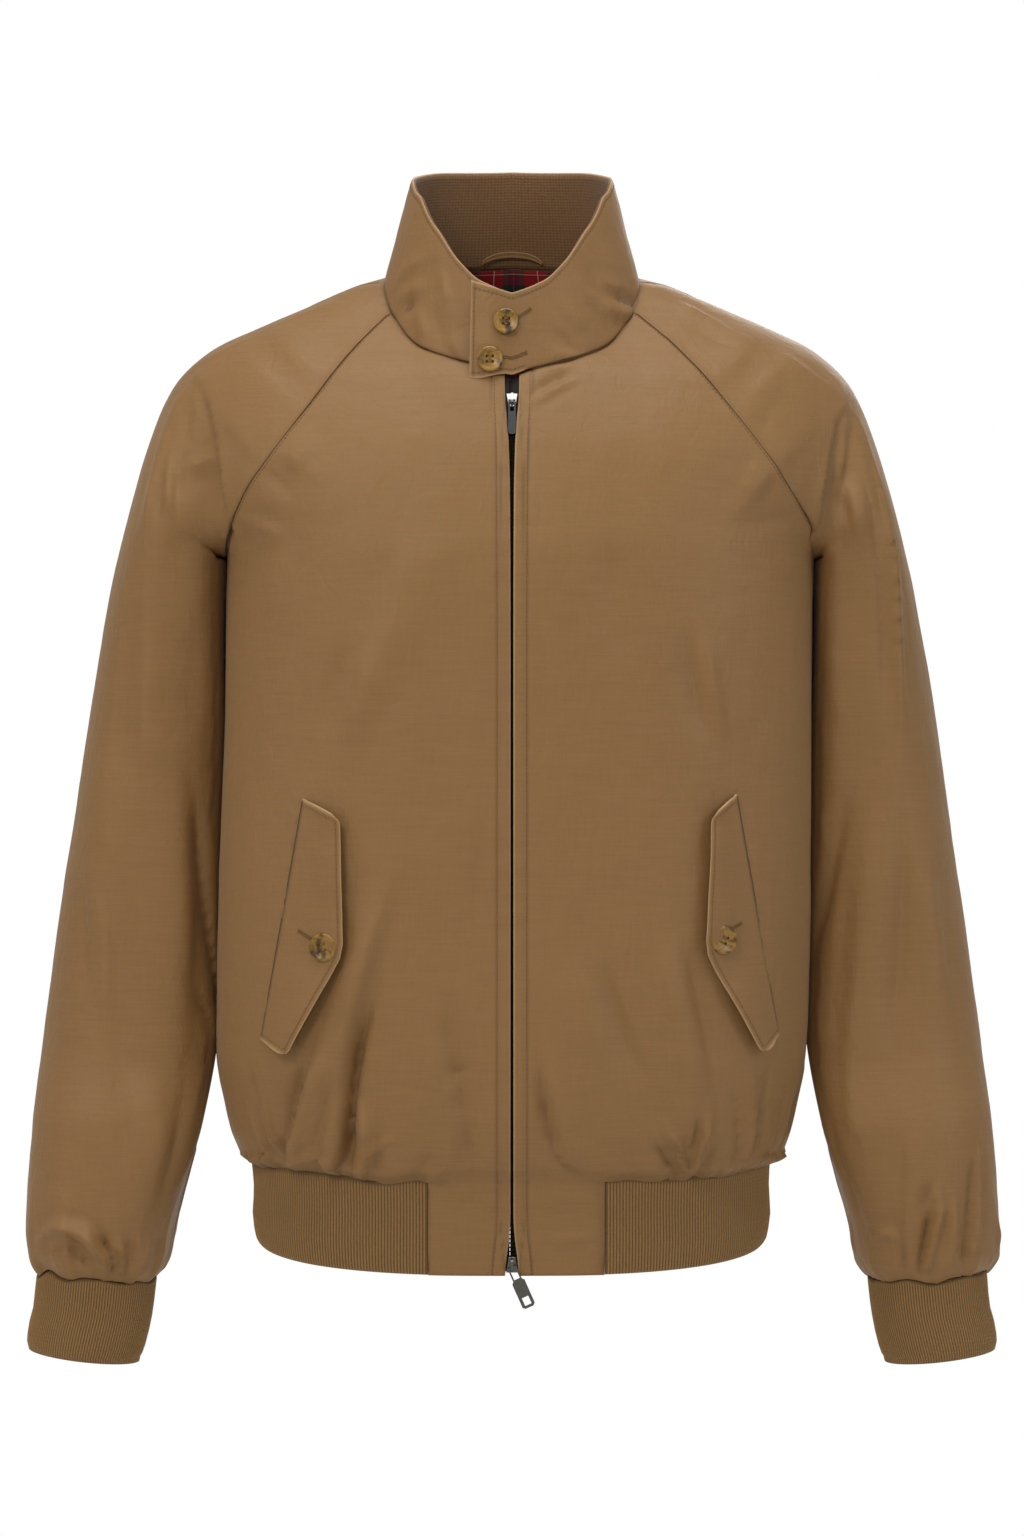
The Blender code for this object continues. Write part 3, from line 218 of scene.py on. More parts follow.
# Sections of the sleeve: inner and outer reach, middle, depths in front and behind, squareness, how far
# the inner side drops, and the share of the body's half-width that the inner side keeps to.
SLEEVE = Table(
    "level inner outer middle front back square drop tuck",
    (-0.6846, 0.2478, 0.3308, -0.012, 0.0435, 0.0435, 2.0, 0.0049, 1.000),
    (-0.6790, 0.2415, 0.3350, -0.012, 0.0480, 0.0480, 2.1, 0.0040, 1.000),
    (-0.6720, 0.2385, 0.3378, -0.011, 0.0510, 0.0510, 2.2, 0.0030, 1.000),
    (-0.6545, 0.2349, 0.3392, -0.010, 0.0540, 0.0540, 2.2, 0.0015, 1.000),
    (-0.6370, 0.2303, 0.3388, -0.008, 0.0565, 0.0565, 2.2, 0.0, 1.000),
    (-0.5845, 0.2177, 0.3353, -0.002, 0.0600, 0.0610, 2.2, 0.0, 1.000),
    (-0.5320, 0.2080, 0.3297, 0.014, 0.0630, 0.0650, 2.2, 0.0, 0.999),
    (-0.4620, 0.2000, 0.3217, 0.023, 0.0670, 0.0690, 2.2, 0.0, 0.9950),
    (-0.3920, 0.1990, 0.3122, 0.026, 0.0710, 0.0720, 2.2, 0.0, 0.9915),
    (-0.3220, 0.1990, 0.3020, 0.029, 0.0750, 0.0750, 2.2, 0.0, 0.9910),
    (-0.2520, 0.1990, 0.2902, 0.030, 0.0790, 0.0780, 2.2, 0.0, 0.9960),
    (-0.1900, 0.1990, 0.2783, 0.028, 0.0830, 0.0800, 2.2, 0.0, 1.0055),
    (-0.1470, 0.1880, 0.2670, 0.024, 0.0850, 0.0810, 2.2, 0.0, 1.000),
    (-0.1120, 0.1700, 0.2566, 0.023, 0.0840, 0.0800, 2.2, 0.0, 1.000),
    (-0.0770, 0.1450, 0.2430, 0.021, 0.0800, 0.0770, 2.2, 0.0, 1.000),
    (-0.0420, 0.1200, 0.2107, 0.018, 0.0700, 0.0700, 2.2, 0.0, 1.000),
)
SLEEVE_CLEARANCE = 0.0010
UNDERARM_FADE = 0.08
# Shares of a line over which it is pulled to the neck seam, or to the seam that it starts from.
NECK_PULL = 0.3
ROW_PULL = 0.45
# How far the shoulder's arcs carry on along the cloth before they turn, as a share of their span.
ARC_REACH = 0.42

CUFF = Table(
    "level inner outer middle depth drop",
    (-0.7345, 0.2585, 0.3374, -0.016, 0.0440, 0.0095),
    (-0.7250, 0.2550, 0.3368, -0.015, 0.0445, 0.0085),
    (-0.7070, 0.2506, 0.3325, -0.014, 0.0435, 0.0065),
    (-0.6846, 0.2478, 0.3308, -0.012, 0.0435, 0.0049),
)

# Height of the collar above the neck seam, by the turn round the neck.
COLLAR = Table(
    "turn height",
    (-20, 0.0560),
    (0, 0.0550),
    (15, 0.0580),
    (27, 0.0670),
    (47, 0.0830),
    (65, 0.0850),
    (80, 0.0780),
    (95, 0.0735),
    (120, 0.0700),
    (180, 0.0680),
)
COLLAR_LEAN = Table(
    "turn inward",
    (-20, 0.06),
    (0, 0.08),
    (30, 0.16),
    (60, 0.23),
    (90, 0.26),
    (140, 0.20),
    (180, 0.15),
)

# Half the gap between the two front edges, where the zip shows.
FRONT_GAP = Table(
    "level half",
    (-0.677, 0.0046),
    (-0.668, 0.0040),
    (-0.652, 0.0020),
    (-0.636, 0.0010),
    (-0.250, 0.0009),
    (-0.150, 0.0013),
    (-0.117, 0.0021),
    (-0.100, 0.0031),
    (-0.087, 0.0043),
    (-0.066, 0.0050),
)

# Half of a button's section, from the middle of its face over the rim and down to its back,
# as shares of its radius and its thickness.
BUTTON = Table(
    "out up",
    (0.00, 0.62),
    (0.60, 0.66),
    (0.72, 0.86),
    (0.88, 1.00),
    (0.97, 0.85),
    (1.00, 0.35),
    (0.80, 0.00),
    (0.00, 0.00),
)

# Pocket flaps as seen from the front: the sewn edge, then the free edge, top to bottom.
FLAP_SEAM = {
    -1: ((-0.1410, -0.3550), (-0.1700, -0.5180)),
    1: ((0.1515, -0.3520), (0.1810, -0.5150)),
}
FLAP_EDGE = {
    -1: ((-0.1130, -0.3680), (-0.1110, -0.4580), (-0.1480, -0.5290)),
    1: ((0.1310, -0.3670), (0.1270, -0.4560), (0.1640, -0.5280)),
}
FLAP_THICKNESS = 0.0018
FLAP_LIFT = 0.0034
COLLAR_BUTTONS = {"upper": (-0.0040, -0.0310, 0.0014), "lower": (-0.0150, -0.0570, 0.0025)}
POCKET_BUTTON_LIFT = 0.0056
POCKET_BUTTONS = {"left": (0.1395, -0.4500), "right": (-0.1245, -0.4550)}


# ---- small tools ----
def smooth(t):
    t = np.clip(t, 0.0, 1.0)
    return t * t * (3 - 2 * t)


def points(x, y, z):
    x, y, z = np.broadcast_arrays(x, y, z)
    return np.stack([x, y, z], axis=-1).astype(float)


def unit(vectors):
    """The same directions, one long."""
    return vectors / np.linalg.norm(vectors, axis=-1, keepdims=True)


def run_along(line):
    """Distance of each point of a polyline from its start."""
    return np.concatenate([[0.0], np.cumsum(np.linalg.norm(np.diff(line, axis=0), axis=1))])


def at_distances(line, run, at):
    """Points of a polyline at the given distances from its start."""
    return np.stack([np.interp(at, run, line[:, k]) for k in range(3)], axis=-1)


def resample(line, stations):
    """Points of a polyline at the given shares of its length."""
    run = run_along(line)
    return at_distances(line, run, np.asarray(stations) * run[-1])


def hermite(t, step, low, high, slope_low, slope_high):
    """A cubic between two knots with given slopes at them."""
    start = (1 + 2 * t) * (1 - t) ** 2 * low + t * (1 - t) ** 2 * step * slope_low
    end = t * t * (3 - 2 * t) * high + t * t * (t - 1) * step * slope_high
    return start + end


def curve_through(knots, count=DENSE):
    """A smooth line through a few points, spaced by their distances."""
    knots = np.asarray(knots, dtype=float)
    run = np.concatenate([[0.0], np.cumsum(np.sqrt(np.linalg.norm(np.diff(knots, axis=0), axis=1)))])
    slope = np.gradient(knots, run, axis=0, edge_order=1)
    at = np.linspace(0, run[-1], count)
    low = np.clip(np.searchsorted(run, at, side="right") - 1, 0, len(run) - 2)
    step = (run[low + 1] - run[low])[:, None]
    t = (at[:, None] - run[low][:, None]) / step
    return hermite(t, step, knots[low], knots[low + 1], slope[low], slope[low + 1])


def superellipse(turn, square):
    """Share of the half-width and of the depth at a turn from the centre front."""
    angle = np.radians(turn)
    power = 2.0 / square
    wide = np.abs(np.sin(angle)) ** power
    deep = np.sign(np.cos(angle)) * np.abs(np.cos(angle)) ** power
    return wide, deep


# ---- the body's own surface ----
def side_name(side):
    """What the tables call a side, which is as it is seen from the front."""
    return "left" if side < 0 else "right"


def body_point(side, turn, level):
    width = BODY.read(side_name(side), level)
    square = np.where(np.asarray(turn) > 90.0, BODY.read("square_back", level), BODY.read("square", level))
    wide, deep = superellipse(turn, square)
    reach = np.where(deep > 0, BODY.read("front", level), BODY.read("back", level))
    return points(side * width * wide, -reach * deep, level)


def body_turn(side, out, level, behind=False):
    """The turn at which the body's section is a given distance out from the middle plane."""
    share = np.clip(out / BODY.read(side_name(side), level), 0.0, 1.0)
    square = BODY.read("square_back" if behind else "square", level)
    turn = np.degrees(np.arcsin(share ** (square / 2.0)))
    return 180.0 - turn if behind else turn


def body_front(x, level):
    """How far forward the front of the body lies, as y."""
    side = -1 if x < 0 else 1
    return float(body_point(side, body_turn(side, abs(x), level), level)[1])


def body_outward(x, level):
    """Unit direction out of the body's front, at a place seen from the front."""
    rise = body_front(x + SLOPE_STEP, level) - body_front(x - SLOPE_STEP, level)
    slope = rise / (2 * SLOPE_STEP)
    return np.array([slope, -1.0, 0.0]) / math.hypot(slope, 1.0)


def neck_point(side, turn):
    turn = np.asarray(turn, dtype=float)
    angle = np.radians(turn)
    reach = np.where(np.cos(angle) > 0, NECK_FRONT, NECK_BACK)
    x = side * NECK_HALF_WIDTH * np.sin(angle)
    return points(x, NECK_CENTRE_Y - reach * np.cos(angle), NECK.read("level", np.abs(turn)))


def armpit(side):
    return body_point(side, 90.0, ARMPIT_LEVEL)


def raglan(side, table, neck_turn, behind):
    """The raglan seam as a line on the body's surface, from the neck to the armpit."""
    start = neck_point(side, neck_turn)
    levels = np.concatenate([[start[2]], table.rows[::-1, 0], [ARMPIT_LEVEL]])
    outs = np.concatenate([[abs(start[0])], table.read(side_name(side), table.rows[::-1, 0]),
                           [BODY.read(side_name(side), ARMPIT_LEVEL)]])
    course = curve_through(points(outs, 0.0, levels), RAGLAN_KNOTS)
    turns = body_turn(side, course[:, 0], course[:, 2], behind)
    turns[-1] = 90.0
    steps = points(turns * METRES_PER_DEGREE, 0.0, course[:, 2])
    steps = resample(steps, np.linspace(0, 1, RAGLAN_POINTS))
    line = body_point(side, steps[:, 0] / METRES_PER_DEGREE, steps[:, 2])
    fade = np.clip(1 - np.linspace(0, 1, len(line)) / NECK_PULL, 0, 1) ** 2
    line += (start - line[0]) * fade[:, None]
    return line


def front_raglan(side):
    return raglan(side, FRONT_RAGLAN, FRONT_RAGLAN_TURN, False)


def back_raglan(side):
    return raglan(side, BACK_RAGLAN, BACK_RAGLAN_TURN, True)


def ridge(side):
    start = neck_point(side, RIDGE_TURN)
    rows = [(side * out, depth, level) for out, level, depth in RIDGE.rows]
    return curve_through([start] + rows[1:])


def level_by_depth(y, beside, front, back, front_depth, back_depth=0.12):
    """A level that changes evenly from the side of the body to its front and to its back."""
    return np.where(y < 0, beside + (front - beside) * np.abs(y) / front_depth,
                    beside + (back - beside) * np.abs(y) / back_depth)


def rib_seam_level(y):
    return level_by_depth(y, RIB_SEAM_SIDE, RIB_SEAM_FRONT, RIB_SEAM_BACK, 0.13)


def rib_seam(side, turn):
    """The seam between the body and the hem rib."""
    line = body_point(side, turn, RIB_SECTION)
    line[..., 2] = rib_seam_level(line[..., 1])
    return line


def hem_level(y):
    return level_by_depth(y, HEM_SIDE, HEM_FRONT, HEM_BACK, 0.125)


# Buttonhole ends as seen from the front.
BUTTONHOLES = {
    "upper": ((0.0034, -0.029), (0.0136, -0.0262)),
    "lower": ((-0.0075, -0.0552), (0.0102, -0.0545)),
}
POCKET_BUTTONHOLES = {
    "left": ((0.1471, -0.4427), (0.1545, -0.439)),
    "right": ((-0.1437, -0.4441), (-0.1336, -0.4501)),
}

# Folds and laps of the cloth, in millimetres: half-width, height, strength at each end, and a path of
# x and z. A fold with a height below zero is a trough.
FRONT_LAPS = (
    (30, 9, 0.1, 0.4,
     ((-194, -189), (-197, -164), (-201, -136), (-205, -112), (-210, -89), (-216, -73), (-222, -63))),
    (30, 9, 0.4, 0.1,
     ((234, -80), (227, -91), (223, -109), (219, -129), (215, -150), (209, -174), (207, -189))),
)
BACK_LAPS = (
    (30, 9, 1, 0.3, ((206, -190), (209, -163), (211, -136), (215, -110), (221, -86))),
    (30, 9, 0.3, 1, ((-220, -84), (-214, -108), (-209, -134), (-206, -162), (-203, -190))),
)
FRONT_FOLDS = (
    # short ones above the hem rib
    (4.5, -2.3, 0.9, 0.15, ((-120, -616), (-117, -605), (-112, -592), (-112, -568))),
    (5, 1.5, 0.8, 0.1, ((-113, -616), (-109, -601), (-104, -586))),
    (4, -1.8, 0.9, 0.1, ((-105, -616), (-101, -606), (-95, -598))),
    (5, 1.1, 0.7, 0.1, ((-128, -616), (-126, -602), (-121, -590))),
    (5, -1.2, 0.6, 0.1, ((-60, -616), (-52, -606), (-44, -597))),
    (5, -1.2, 0.8, 0.1, ((-158, -606), (-162, -598), (-166, -588))),
    (4.5, -2.1, 0.9, 0.1, ((123, -616), (119, -603), (113, -586))),
    (4, -1.6, 0.9, 0.1, ((108, -616), (106, -606), (101, -598))),
    (5, 1.2, 0.8, 0.1, ((115, -616), (112, -602), (107, -589))),
    # crumples beside the armpit laps
    (7, 2.5, 0.3, 0.3, ((-227, -127), (-215, -121), (-205, -119))),
    (6, -2, 0.3, 0.5, ((-220, -113), (-213, -109), (-206, -107))),
    (6, 2.5, 0.6, 0.2, ((-222, -66), (-218, -91), (-222, -117))),
    (5, -2.5, 0.5, 0.3, ((-216, -71), (-213, -89), (-212, -105))),
    (6, 3, 0.5, 0.2, ((235, -87), (232, -112), (226, -142))),
    (5, -2.5, 0.6, 0.3, ((240, -84), (236, -107), (231, -133), (226, -155))),
    (9, 1.6, 0.2, 0.2, ((227, -129), (234, -150), (237, -177))),
    # shoulders
    (10, 1.3, 0.3, 0.2, ((-232, -59), (-203, -44), (-175, -29))),
    (8, 0.9, 0.2, 0.2, ((-169, -25), (-141, -15), (-115, -8))),
    (9, -1, 0.2, 0.2, ((-215, -57), (-190, -46), (-166, -39))),
    (10, 1.2, 0.2, 0.3, ((104, -7), (132, -18), (160, -32))),
    (9, -0.9, 0.2, 0.2, ((125, -32), (153, -43), (177, -53))),
    (9, 1.2, 0.2, 0.5, ((181, -43), (209, -60), (233, -76))),
    # chest, pulled from the armpits
    (12, 1.4, 0.2, 0.2, ((-168, -111), (-153, -122), (-139, -135))),
    (12, -1.2, 0.2, 0.2, ((-180, -128), (-164, -138), (-148, -153))),
    (9, 1.1, 0.8, 0.1, ((-190, -162), (-172, -168), (-152, -179))),
    (10, 1.3, 0.3, 0.3, ((-200, -89), (-189, -107), (-175, -124))),
    (16, -1.8, 0.3, 0.2, ((194, -69), (174, -100), (152, -145))),
    (12, 1.8, 0.4, 0.2, ((202, -107), (179, -131), (155, -161))),
    (10, -1, 0.6, 0.1, ((196, -168), (175, -168), (155, -173))),
    (22, 1, 0.1, 0.1, ((-62, -168), (-75, -221), (-86, -275))),
    (22, -1, 0.1, 0.1, ((59, -168), (67, -221), (74, -282))),
    # left of the wearer's right pocket and down to its rib
    (12, -1.3, 0.1, 0.1, ((-110, -248), (-120, -282), (-125, -319))),
    (12, 1.4, 0.1, 0.1, ((-93, -248), (-102, -282), (-112, -324))),
    (13, 3.4, 0.1, 1, ((-80, -403), (-94, -450), (-106, -494), (-114, -531), (-117, -565), (-119, -601))),
    (8, -6.5, 0.05, 1, ((-92, -484), (-103, -525), (-108, -558), (-110, -592), (-114, -614))),
    (9, 3.2, 0.1, 0.9, ((-127, -518), (-139, -552), (-148, -578), (-154, -604))),
    (7, -3.8, 0.1, 0.9, ((-135, -525), (-147, -558), (-154, -592), (-157, -608))),
    (8, -2.2, 0.1, 0.6, ((-119, -533), (-128, -565), (-134, -599))),
    (7, 3.2, 0.3, 0.9, ((-102, -562), (-96, -589), (-100, -611))),
    (4, -3.5, 0.3, 1, ((-93, -593), (-100, -607), (-104, -615))),
    (4, 1.3, 0.3, 0.1, ((-101, -600), (-89, -591), (-77, -582))),
    (5, 1.6, 0.5, 0.2, ((-59, -612), (-50, -603), (-43, -591))),
    (4, -1.4, 0.6, 0.2, ((-65, -611), (-57, -599), (-53, -591))),
    (5, 2, 0.4, 0.6, ((-144, -605), (-131, -601), (-122, -609))),
    (8, 2.2, 0.1, 0.8, ((-185, -529), (-183, -567), (-172, -599))),
    (6, -2.8, 0.1, 1, ((-180, -536), (-174, -570), (-164, -606))),
    (6, 2.2, 0.1, 0.9, ((-172, -553), (-165, -581), (-153, -609))),
    # beside the zip on the wearer's right
    (6, -1.3, 0.1, 0.1, ((-18, -366), (-21, -403), (-20, -447))),
    (7, -2.4, 0.1, 0.8, ((-49, -481), (-43, -521), (-36, -555), (-31, -585), (-28, -612))),
    (7, 1.2, 0.1, 0.6, ((-55, -498), (-50, -538), (-42, -578), (-38, -607))),
    (3, -0.9, 0.2, 0.2, ((-42, -539), (-34, -536), (-26, -535))),
    (4, -1, 0.2, 0.2, ((-38, -623), (-28, -626), (-19, -623))),
    # on the wearer's left front
    (9, -2, 0.1, 0.1, ((119, -238), (126, -281), (136, -322))),
    (9, 1.4, 0.1, 0.1, ((131, -242), (137, -282), (146, -322))),
    (14, -2.2, 0.1, 0.2, ((59, -454), (71, -498), (84, -530), (96, -554))),
    (20, 1.3, 0.1, 0.2, ((42, -457), (53, -498), (63, -538))),
    (12, -2.2, 0.1, 0.3, ((115, -444), (127, -498), (138, -553))),
    (14, 2.2, 0.1, 0.5, ((98, -437), (108, -491), (119, -545), (121, -578))),
    (5, -3, 0.1, 1, ((94, -585), (104, -599), (112, -611))),
    (5, 2.6, 0.2, 0.9, ((102, -577), (112, -593), (117, -608))),
    (5, -4.2, 0.1, 1, ((126, -566), (123, -589), (118, -609))),
    (6, 3.2, 0.2, 0.9, ((135, -566), (131, -589), (125, -608))),
    (4, -2.2, 0.2, 1, ((140, -589), (135, -600), (131, -609))),
    (6, -3.6, 0.1, 1, ((178, -532), (174, -569), (169, -601))),
    (6, 2.6, 0.1, 1, ((185, -541), (181, -570), (174, -601))),
    (5, -3.2, 0.1, 1, ((192, -548), (185, -581), (177, -605))),
    (7, 2.2, 0.1, 0.8, ((162, -535), (162, -565), (160, -600))),
    (6, -1.8, 0.1, 0.8, ((152, -543), (156, -572), (156, -601))),
    (6, -2.6, 0.1, 0.6, ((16, -521), (23, -564), (33, -599), (53, -615))),
    (7, 1.6, 0.1, 0.4, ((23, -528), (30, -570), (43, -599))),
    (5, -1.1, 0.2, 0.2, ((18, -629), (34, -635), (54, -631))),
    (5, 1, 0.2, 0.2, ((22, -647), (39, -651), (55, -646))),
    (6, -3.2, 0.9, 0.1, ((13, -80), (24, -71), (43, -62))),
    (6, 1.8, 0.8, 0.1, ((14, -88), (27, -79), (47, -69))),
    # wearer's right sleeve
    (7, 2.2, 0.5, 0.1, ((-232, -77), (-243, -109), (-249, -136), (-255, -181))),
    (6, 1.8, 0.2, 0.1, ((-237, -109), (-236, -136), (-234, -167))),
    (7, -1.8, 0.3, 0.1, ((-238, -91), (-243, -129), (-245, -177))),
    (8, -2.2, 0.5, 0.1, ((-226, -84), (-229, -115), (-232, -153))),
    (16, 2.2, 0.1, 0.2, ((-249, -219), (-252, -274), (-252, -322), (-248, -364))),
    (18, -2.2, 0.1, 0.1, ((-265, -212), (-271, -288), (-276, -364))),
    (12, -1.6, 0.1, 0.1, ((-225, -219), (-229, -274), (-229, -322))),
    (14, 3.2, 0.2, 0.2, ((-240, -322), (-237, -398), (-238, -467), (-240, -529))),
    (12, -4.2, 0.2, 0.6, ((-232, -343), (-223, -412), (-212, -494))),
    (9, 2, 0.1, 0.4, ((-218, -357), (-213, -412), (-207, -467))),
    (9, -1.6, 0.1, 0.1, ((-301, -405), (-296, -453), (-292, -498))),
    (10, 1.3, 0.1, 0.1, ((-286, -412), (-280, -460), (-278, -508))),
    (8, -2.6, 0.3, 0.4, ((-230, -484), (-220, -508), (-210, -530))),
    (9, -1.6, 0.1, 0.1, ((-271, -529), (-267, -577), (-265, -625))),
    (14, 1.9, 0.1, 0.2, ((-255, -536), (-252, -584), (-252, -632))),
    (10, -2, 0.1, 0.4, ((-237, -529), (-242, -584), (-249, -650))),
    (6, 3.2, 0.5, 0.6, ((-326, -660), (-313, -653), (-296, -657), (-283, -672))),
    (5, -2.8, 0.5, 0.9, ((-321, -669), (-306, -665), (-292, -676))),
    (5, 2.8, 0.2, 0.9, ((-292, -647), (-285, -663), (-276, -677))),
    (4, -3.4, 0.2, 1, ((-283, -653), (-275, -671), (-273, -681))),
    (4, 2.8, 0.2, 1, ((-271, -658), (-268, -671), (-267, -682))),
    (5, -2.4, 0.2, 1, ((-259, -656), (-261, -670), (-263, -683))),
    (6, 2, 0.2, 0.9, ((-251, -653), (-252, -668), (-254, -684))),
    # wearer's left sleeve
    (7, 3.3, 0.5, 0.1, ((244, -92), (254, -128), (260, -164), (265, -219), (267, -274), (269, -333))),
    (9, -2.2, 0.3, 0.1, ((238, -106), (248, -144), (254, -184), (258, -246), (261, -319))),
    (8, -1.3, 0.1, 0.1, ((267, -184), (273, -240), (276, -295))),
    (16, 1.4, 0.1, 0.1, ((232, -219), (234, -274), (238, -322))),
    (14, 3.2, 0.2, 0.3, ((254, -343), (250, -412), (247, -481), (244, -536), (247, -581))),
    (12, -3.4, 0.1, 0.4, ((243, -336), (234, -405), (220, -470))),
    (9, 1.8, 0.1, 0.3, ((227, -357), (220, -412), (214, -460))),
    (12, -2.4, 0.1, 0.2, ((270, -350), (271, -426), (267, -494), (263, -553))),
    (14, 1.9, 0.1, 0.1, ((285, -384), (297, -457), (305, -525))),
    (4, -2.2, 0.2, 0.3, ((290, -616), (285, -628), (282, -640))),
    (5, 3.2, 0.2, 0.9, ((291, -620), (295, -636), (290, -657), (285, -676))),
    (5, -4, 0.3, 1, ((287, -634), (283, -656), (279, -678))),
    (6, -3.4, 0.1, 1, ((320, -594), (317, -632), (313, -671))),
    (5, 2.2, 0.1, 0.8, ((325, -587), (325, -629), (321, -667))),
    (5, 2, 0.1, 0.9, ((305, -625), (305, -650), (302, -674))),
    (5, 1.8, 0.5, 0.3, ((244, -664), (256, -657), (267, -663))),
    (8, -1.8, 0.1, 0.3, ((230, -560), (237, -618), (242, -660))),
    (10, 1.7, 0.1, 0.3, ((271, -560), (274, -618), (271, -667))),
    (4, -2.4, 0.2, 1, ((267, -654), (269, -668), (269, -679))),
)
# Behind: soft drags across the back, and folds at the elbows.
BACK_FOLDS = (
    (13, 1.8, 0.5, 0.1, ((198, -196), (172, -222), (140, -246), (104, -262))),
    (11, -1.6, 0.5, 0.1, ((196, -214), (166, -243), (130, -270))),
    (14, 1.7, 0.5, 0.1, ((-196, -192), (-168, -214), (-132, -232), (-98, -240))),
    (12, -1.5, 0.4, 0.1, ((-197, -212), (-165, -240), (-126, -260))),
    (12, 1.2, 0.4, 0.2, ((186, -140), (160, -152), (130, -160))),
    (13, -1.2, 0.4, 0.2, ((-188, -132), (-158, -146), (-126, -152))),
    (20, 1.6, 0.1, 0.1, ((62, -70), (50, -140), (46, -220), (52, -300))),
    (22, -1.5, 0.1, 0.1, ((28, -110), (20, -200), (24, -300))),
    (20, 1.5, 0.1, 0.1, ((-54, -80), (-46, -160), (-40, -260))),
    (24, -1.4, 0.1, 0.1, ((-92, -200), (-84, -300), (-90, -390))),
    (18, 1.8, 0.1, 0.3, ((120, -300), (128, -400), (122, -500))),
    (16, -1.8, 0.1, 0.3, ((96, -330), (100, -430), (94, -520))),
    (18, 1.8, 0.1, 0.3, ((-118, -320), (-128, -420), (-124, -520))),
    (15, 2.6, 0.2, 0.2, ((150, -548), (108, -566), (60, -574), (16, -570))),
    (12, -2.4, 0.2, 0.2, ((138, -570), (92, -584), (46, -589))),
    (15, 2.5, 0.2, 0.2, ((-150, -552), (-112, -568), (-66, -574), (-24, -566))),
    (12, -2.3, 0.2, 0.2, ((-132, -574), (-88, -586), (-40, -588))),
    (9, 2.8, 0.1, 0.9, ((150, -500), (144, -550), (140, -596))),
    (8, -3.2, 0.1, 1, ((132, -520), (130, -560), (126, -598))),
    (9, 2.8, 0.1, 0.9, ((-146, -505), (-142, -552), (-136, -596))),
    (8, -3.0, 0.1, 1, ((-126, -530), (-120, -566), (-118, -598))),
    (10, 2.4, 0.1, 0.8, ((22, -520), (14, -560), (12, -598))),
    (14, 2.6, 0.3, 0.2, ((222, -338), (250, -352), (280, -362), (302, -360))),
    (10, -3.0, 0.4, 0.2, ((220, -356), (246, -372), (278, -382))),
    (12, 2.4, 0.3, 0.2, ((226, -402), (254, -396), (284, -400), (306, -410))),
    (9, -2.2, 0.3, 0.2, ((228, -420), (256, -416), (288, -424))),
    (14, 2.5, 0.3, 0.2, ((-224, -344), (-254, -356), (-284, -360), (-304, -354))),
    (10, -2.8, 0.4, 0.2, ((-222, -362), (-250, -376), (-280, -380))),
    (12, 2.3, 0.3, 0.2, ((-228, -408), (-258, -400), (-288, -406))),
    (16, 2.4, 0.2, 0.2, ((262, -110), (272, -180), (276, -260), (284, -330))),
    (14, -2.6, 0.2, 0.2, ((240, -130), (246, -210), (250, -300))),
    (16, 2.4, 0.2, 0.2, ((-258, -110), (-268, -180), (-274, -270), (-280, -330))),
    (14, -2.4, 0.2, 0.2, ((-238, -140), (-244, -220), (-248, -300))),
    (14, 2.0, 0.1, 0.3, ((284, -440), (292, -520), (296, -600), (298, -660))),
    (12, -2.2, 0.1, 0.4, ((262, -470), (268, -560), (276, -650))),
    (14, 2.0, 0.1, 0.3, ((-282, -440), (-290, -530), (-294, -610), (-296, -664))),
    (12, -2.2, 0.1, 0.4, ((-260, -480), (-268, -570), (-274, -656))),
)

# On the collar.
COLLAR_FOLDS = (
    (7, -2.8, 0.5, 0.3, ((-79, -18), (-73, -13), (-67, -11))),
    (6, 1.3, 0.3, 0.2, ((-82, 1), (-72, 10), (-60, 15))),
    (6, 1.6, 0.4, 0.2, ((-80, -8), (-71, -2), (-60, 0))),
    (5, 1, 0.2, 0.2, ((-50, 12), (-46, -3), (-44, -20))),
    (6, 1.4, 0.3, 0.3, ((-67, -15), (-62, -28), (-60, -42))),
    (7, -1.3, 0.3, 0.3, ((-57, -16), (-53, -33), (-50, -50))),
    (5, 1, 0.2, 0.4, ((-44, -37), (-39, -50), (-34, -62))),
    (6, -3.6, 0.3, 0.9, ((72, -12), (80, -13), (88, -15))),
    (7, 1.8, 0.2, 0.6, ((59, -18), (72, -22), (86, -24))),
    (6, 1.5, 0.2, 0.5, ((57, 0), (68, -4), (82, -7))),
    (5, 1.1, 0.2, 0.2, ((42, 6), (50, -9), (60, -24))),
    (6, -1.2, 0.2, 0.2, ((50, 16), (59, 3), (64, -8))),
    (5, -1.2, 0.2, 0.3, ((27, -34), (37, -42), (46, -50))),
    (6, 1.2, 0.2, 0.3, ((24, -46), (37, -52), (49, -54))),
    (7, 1, 0.2, 0.2, ((33, -16), (43, -28), (56, -37))),
)

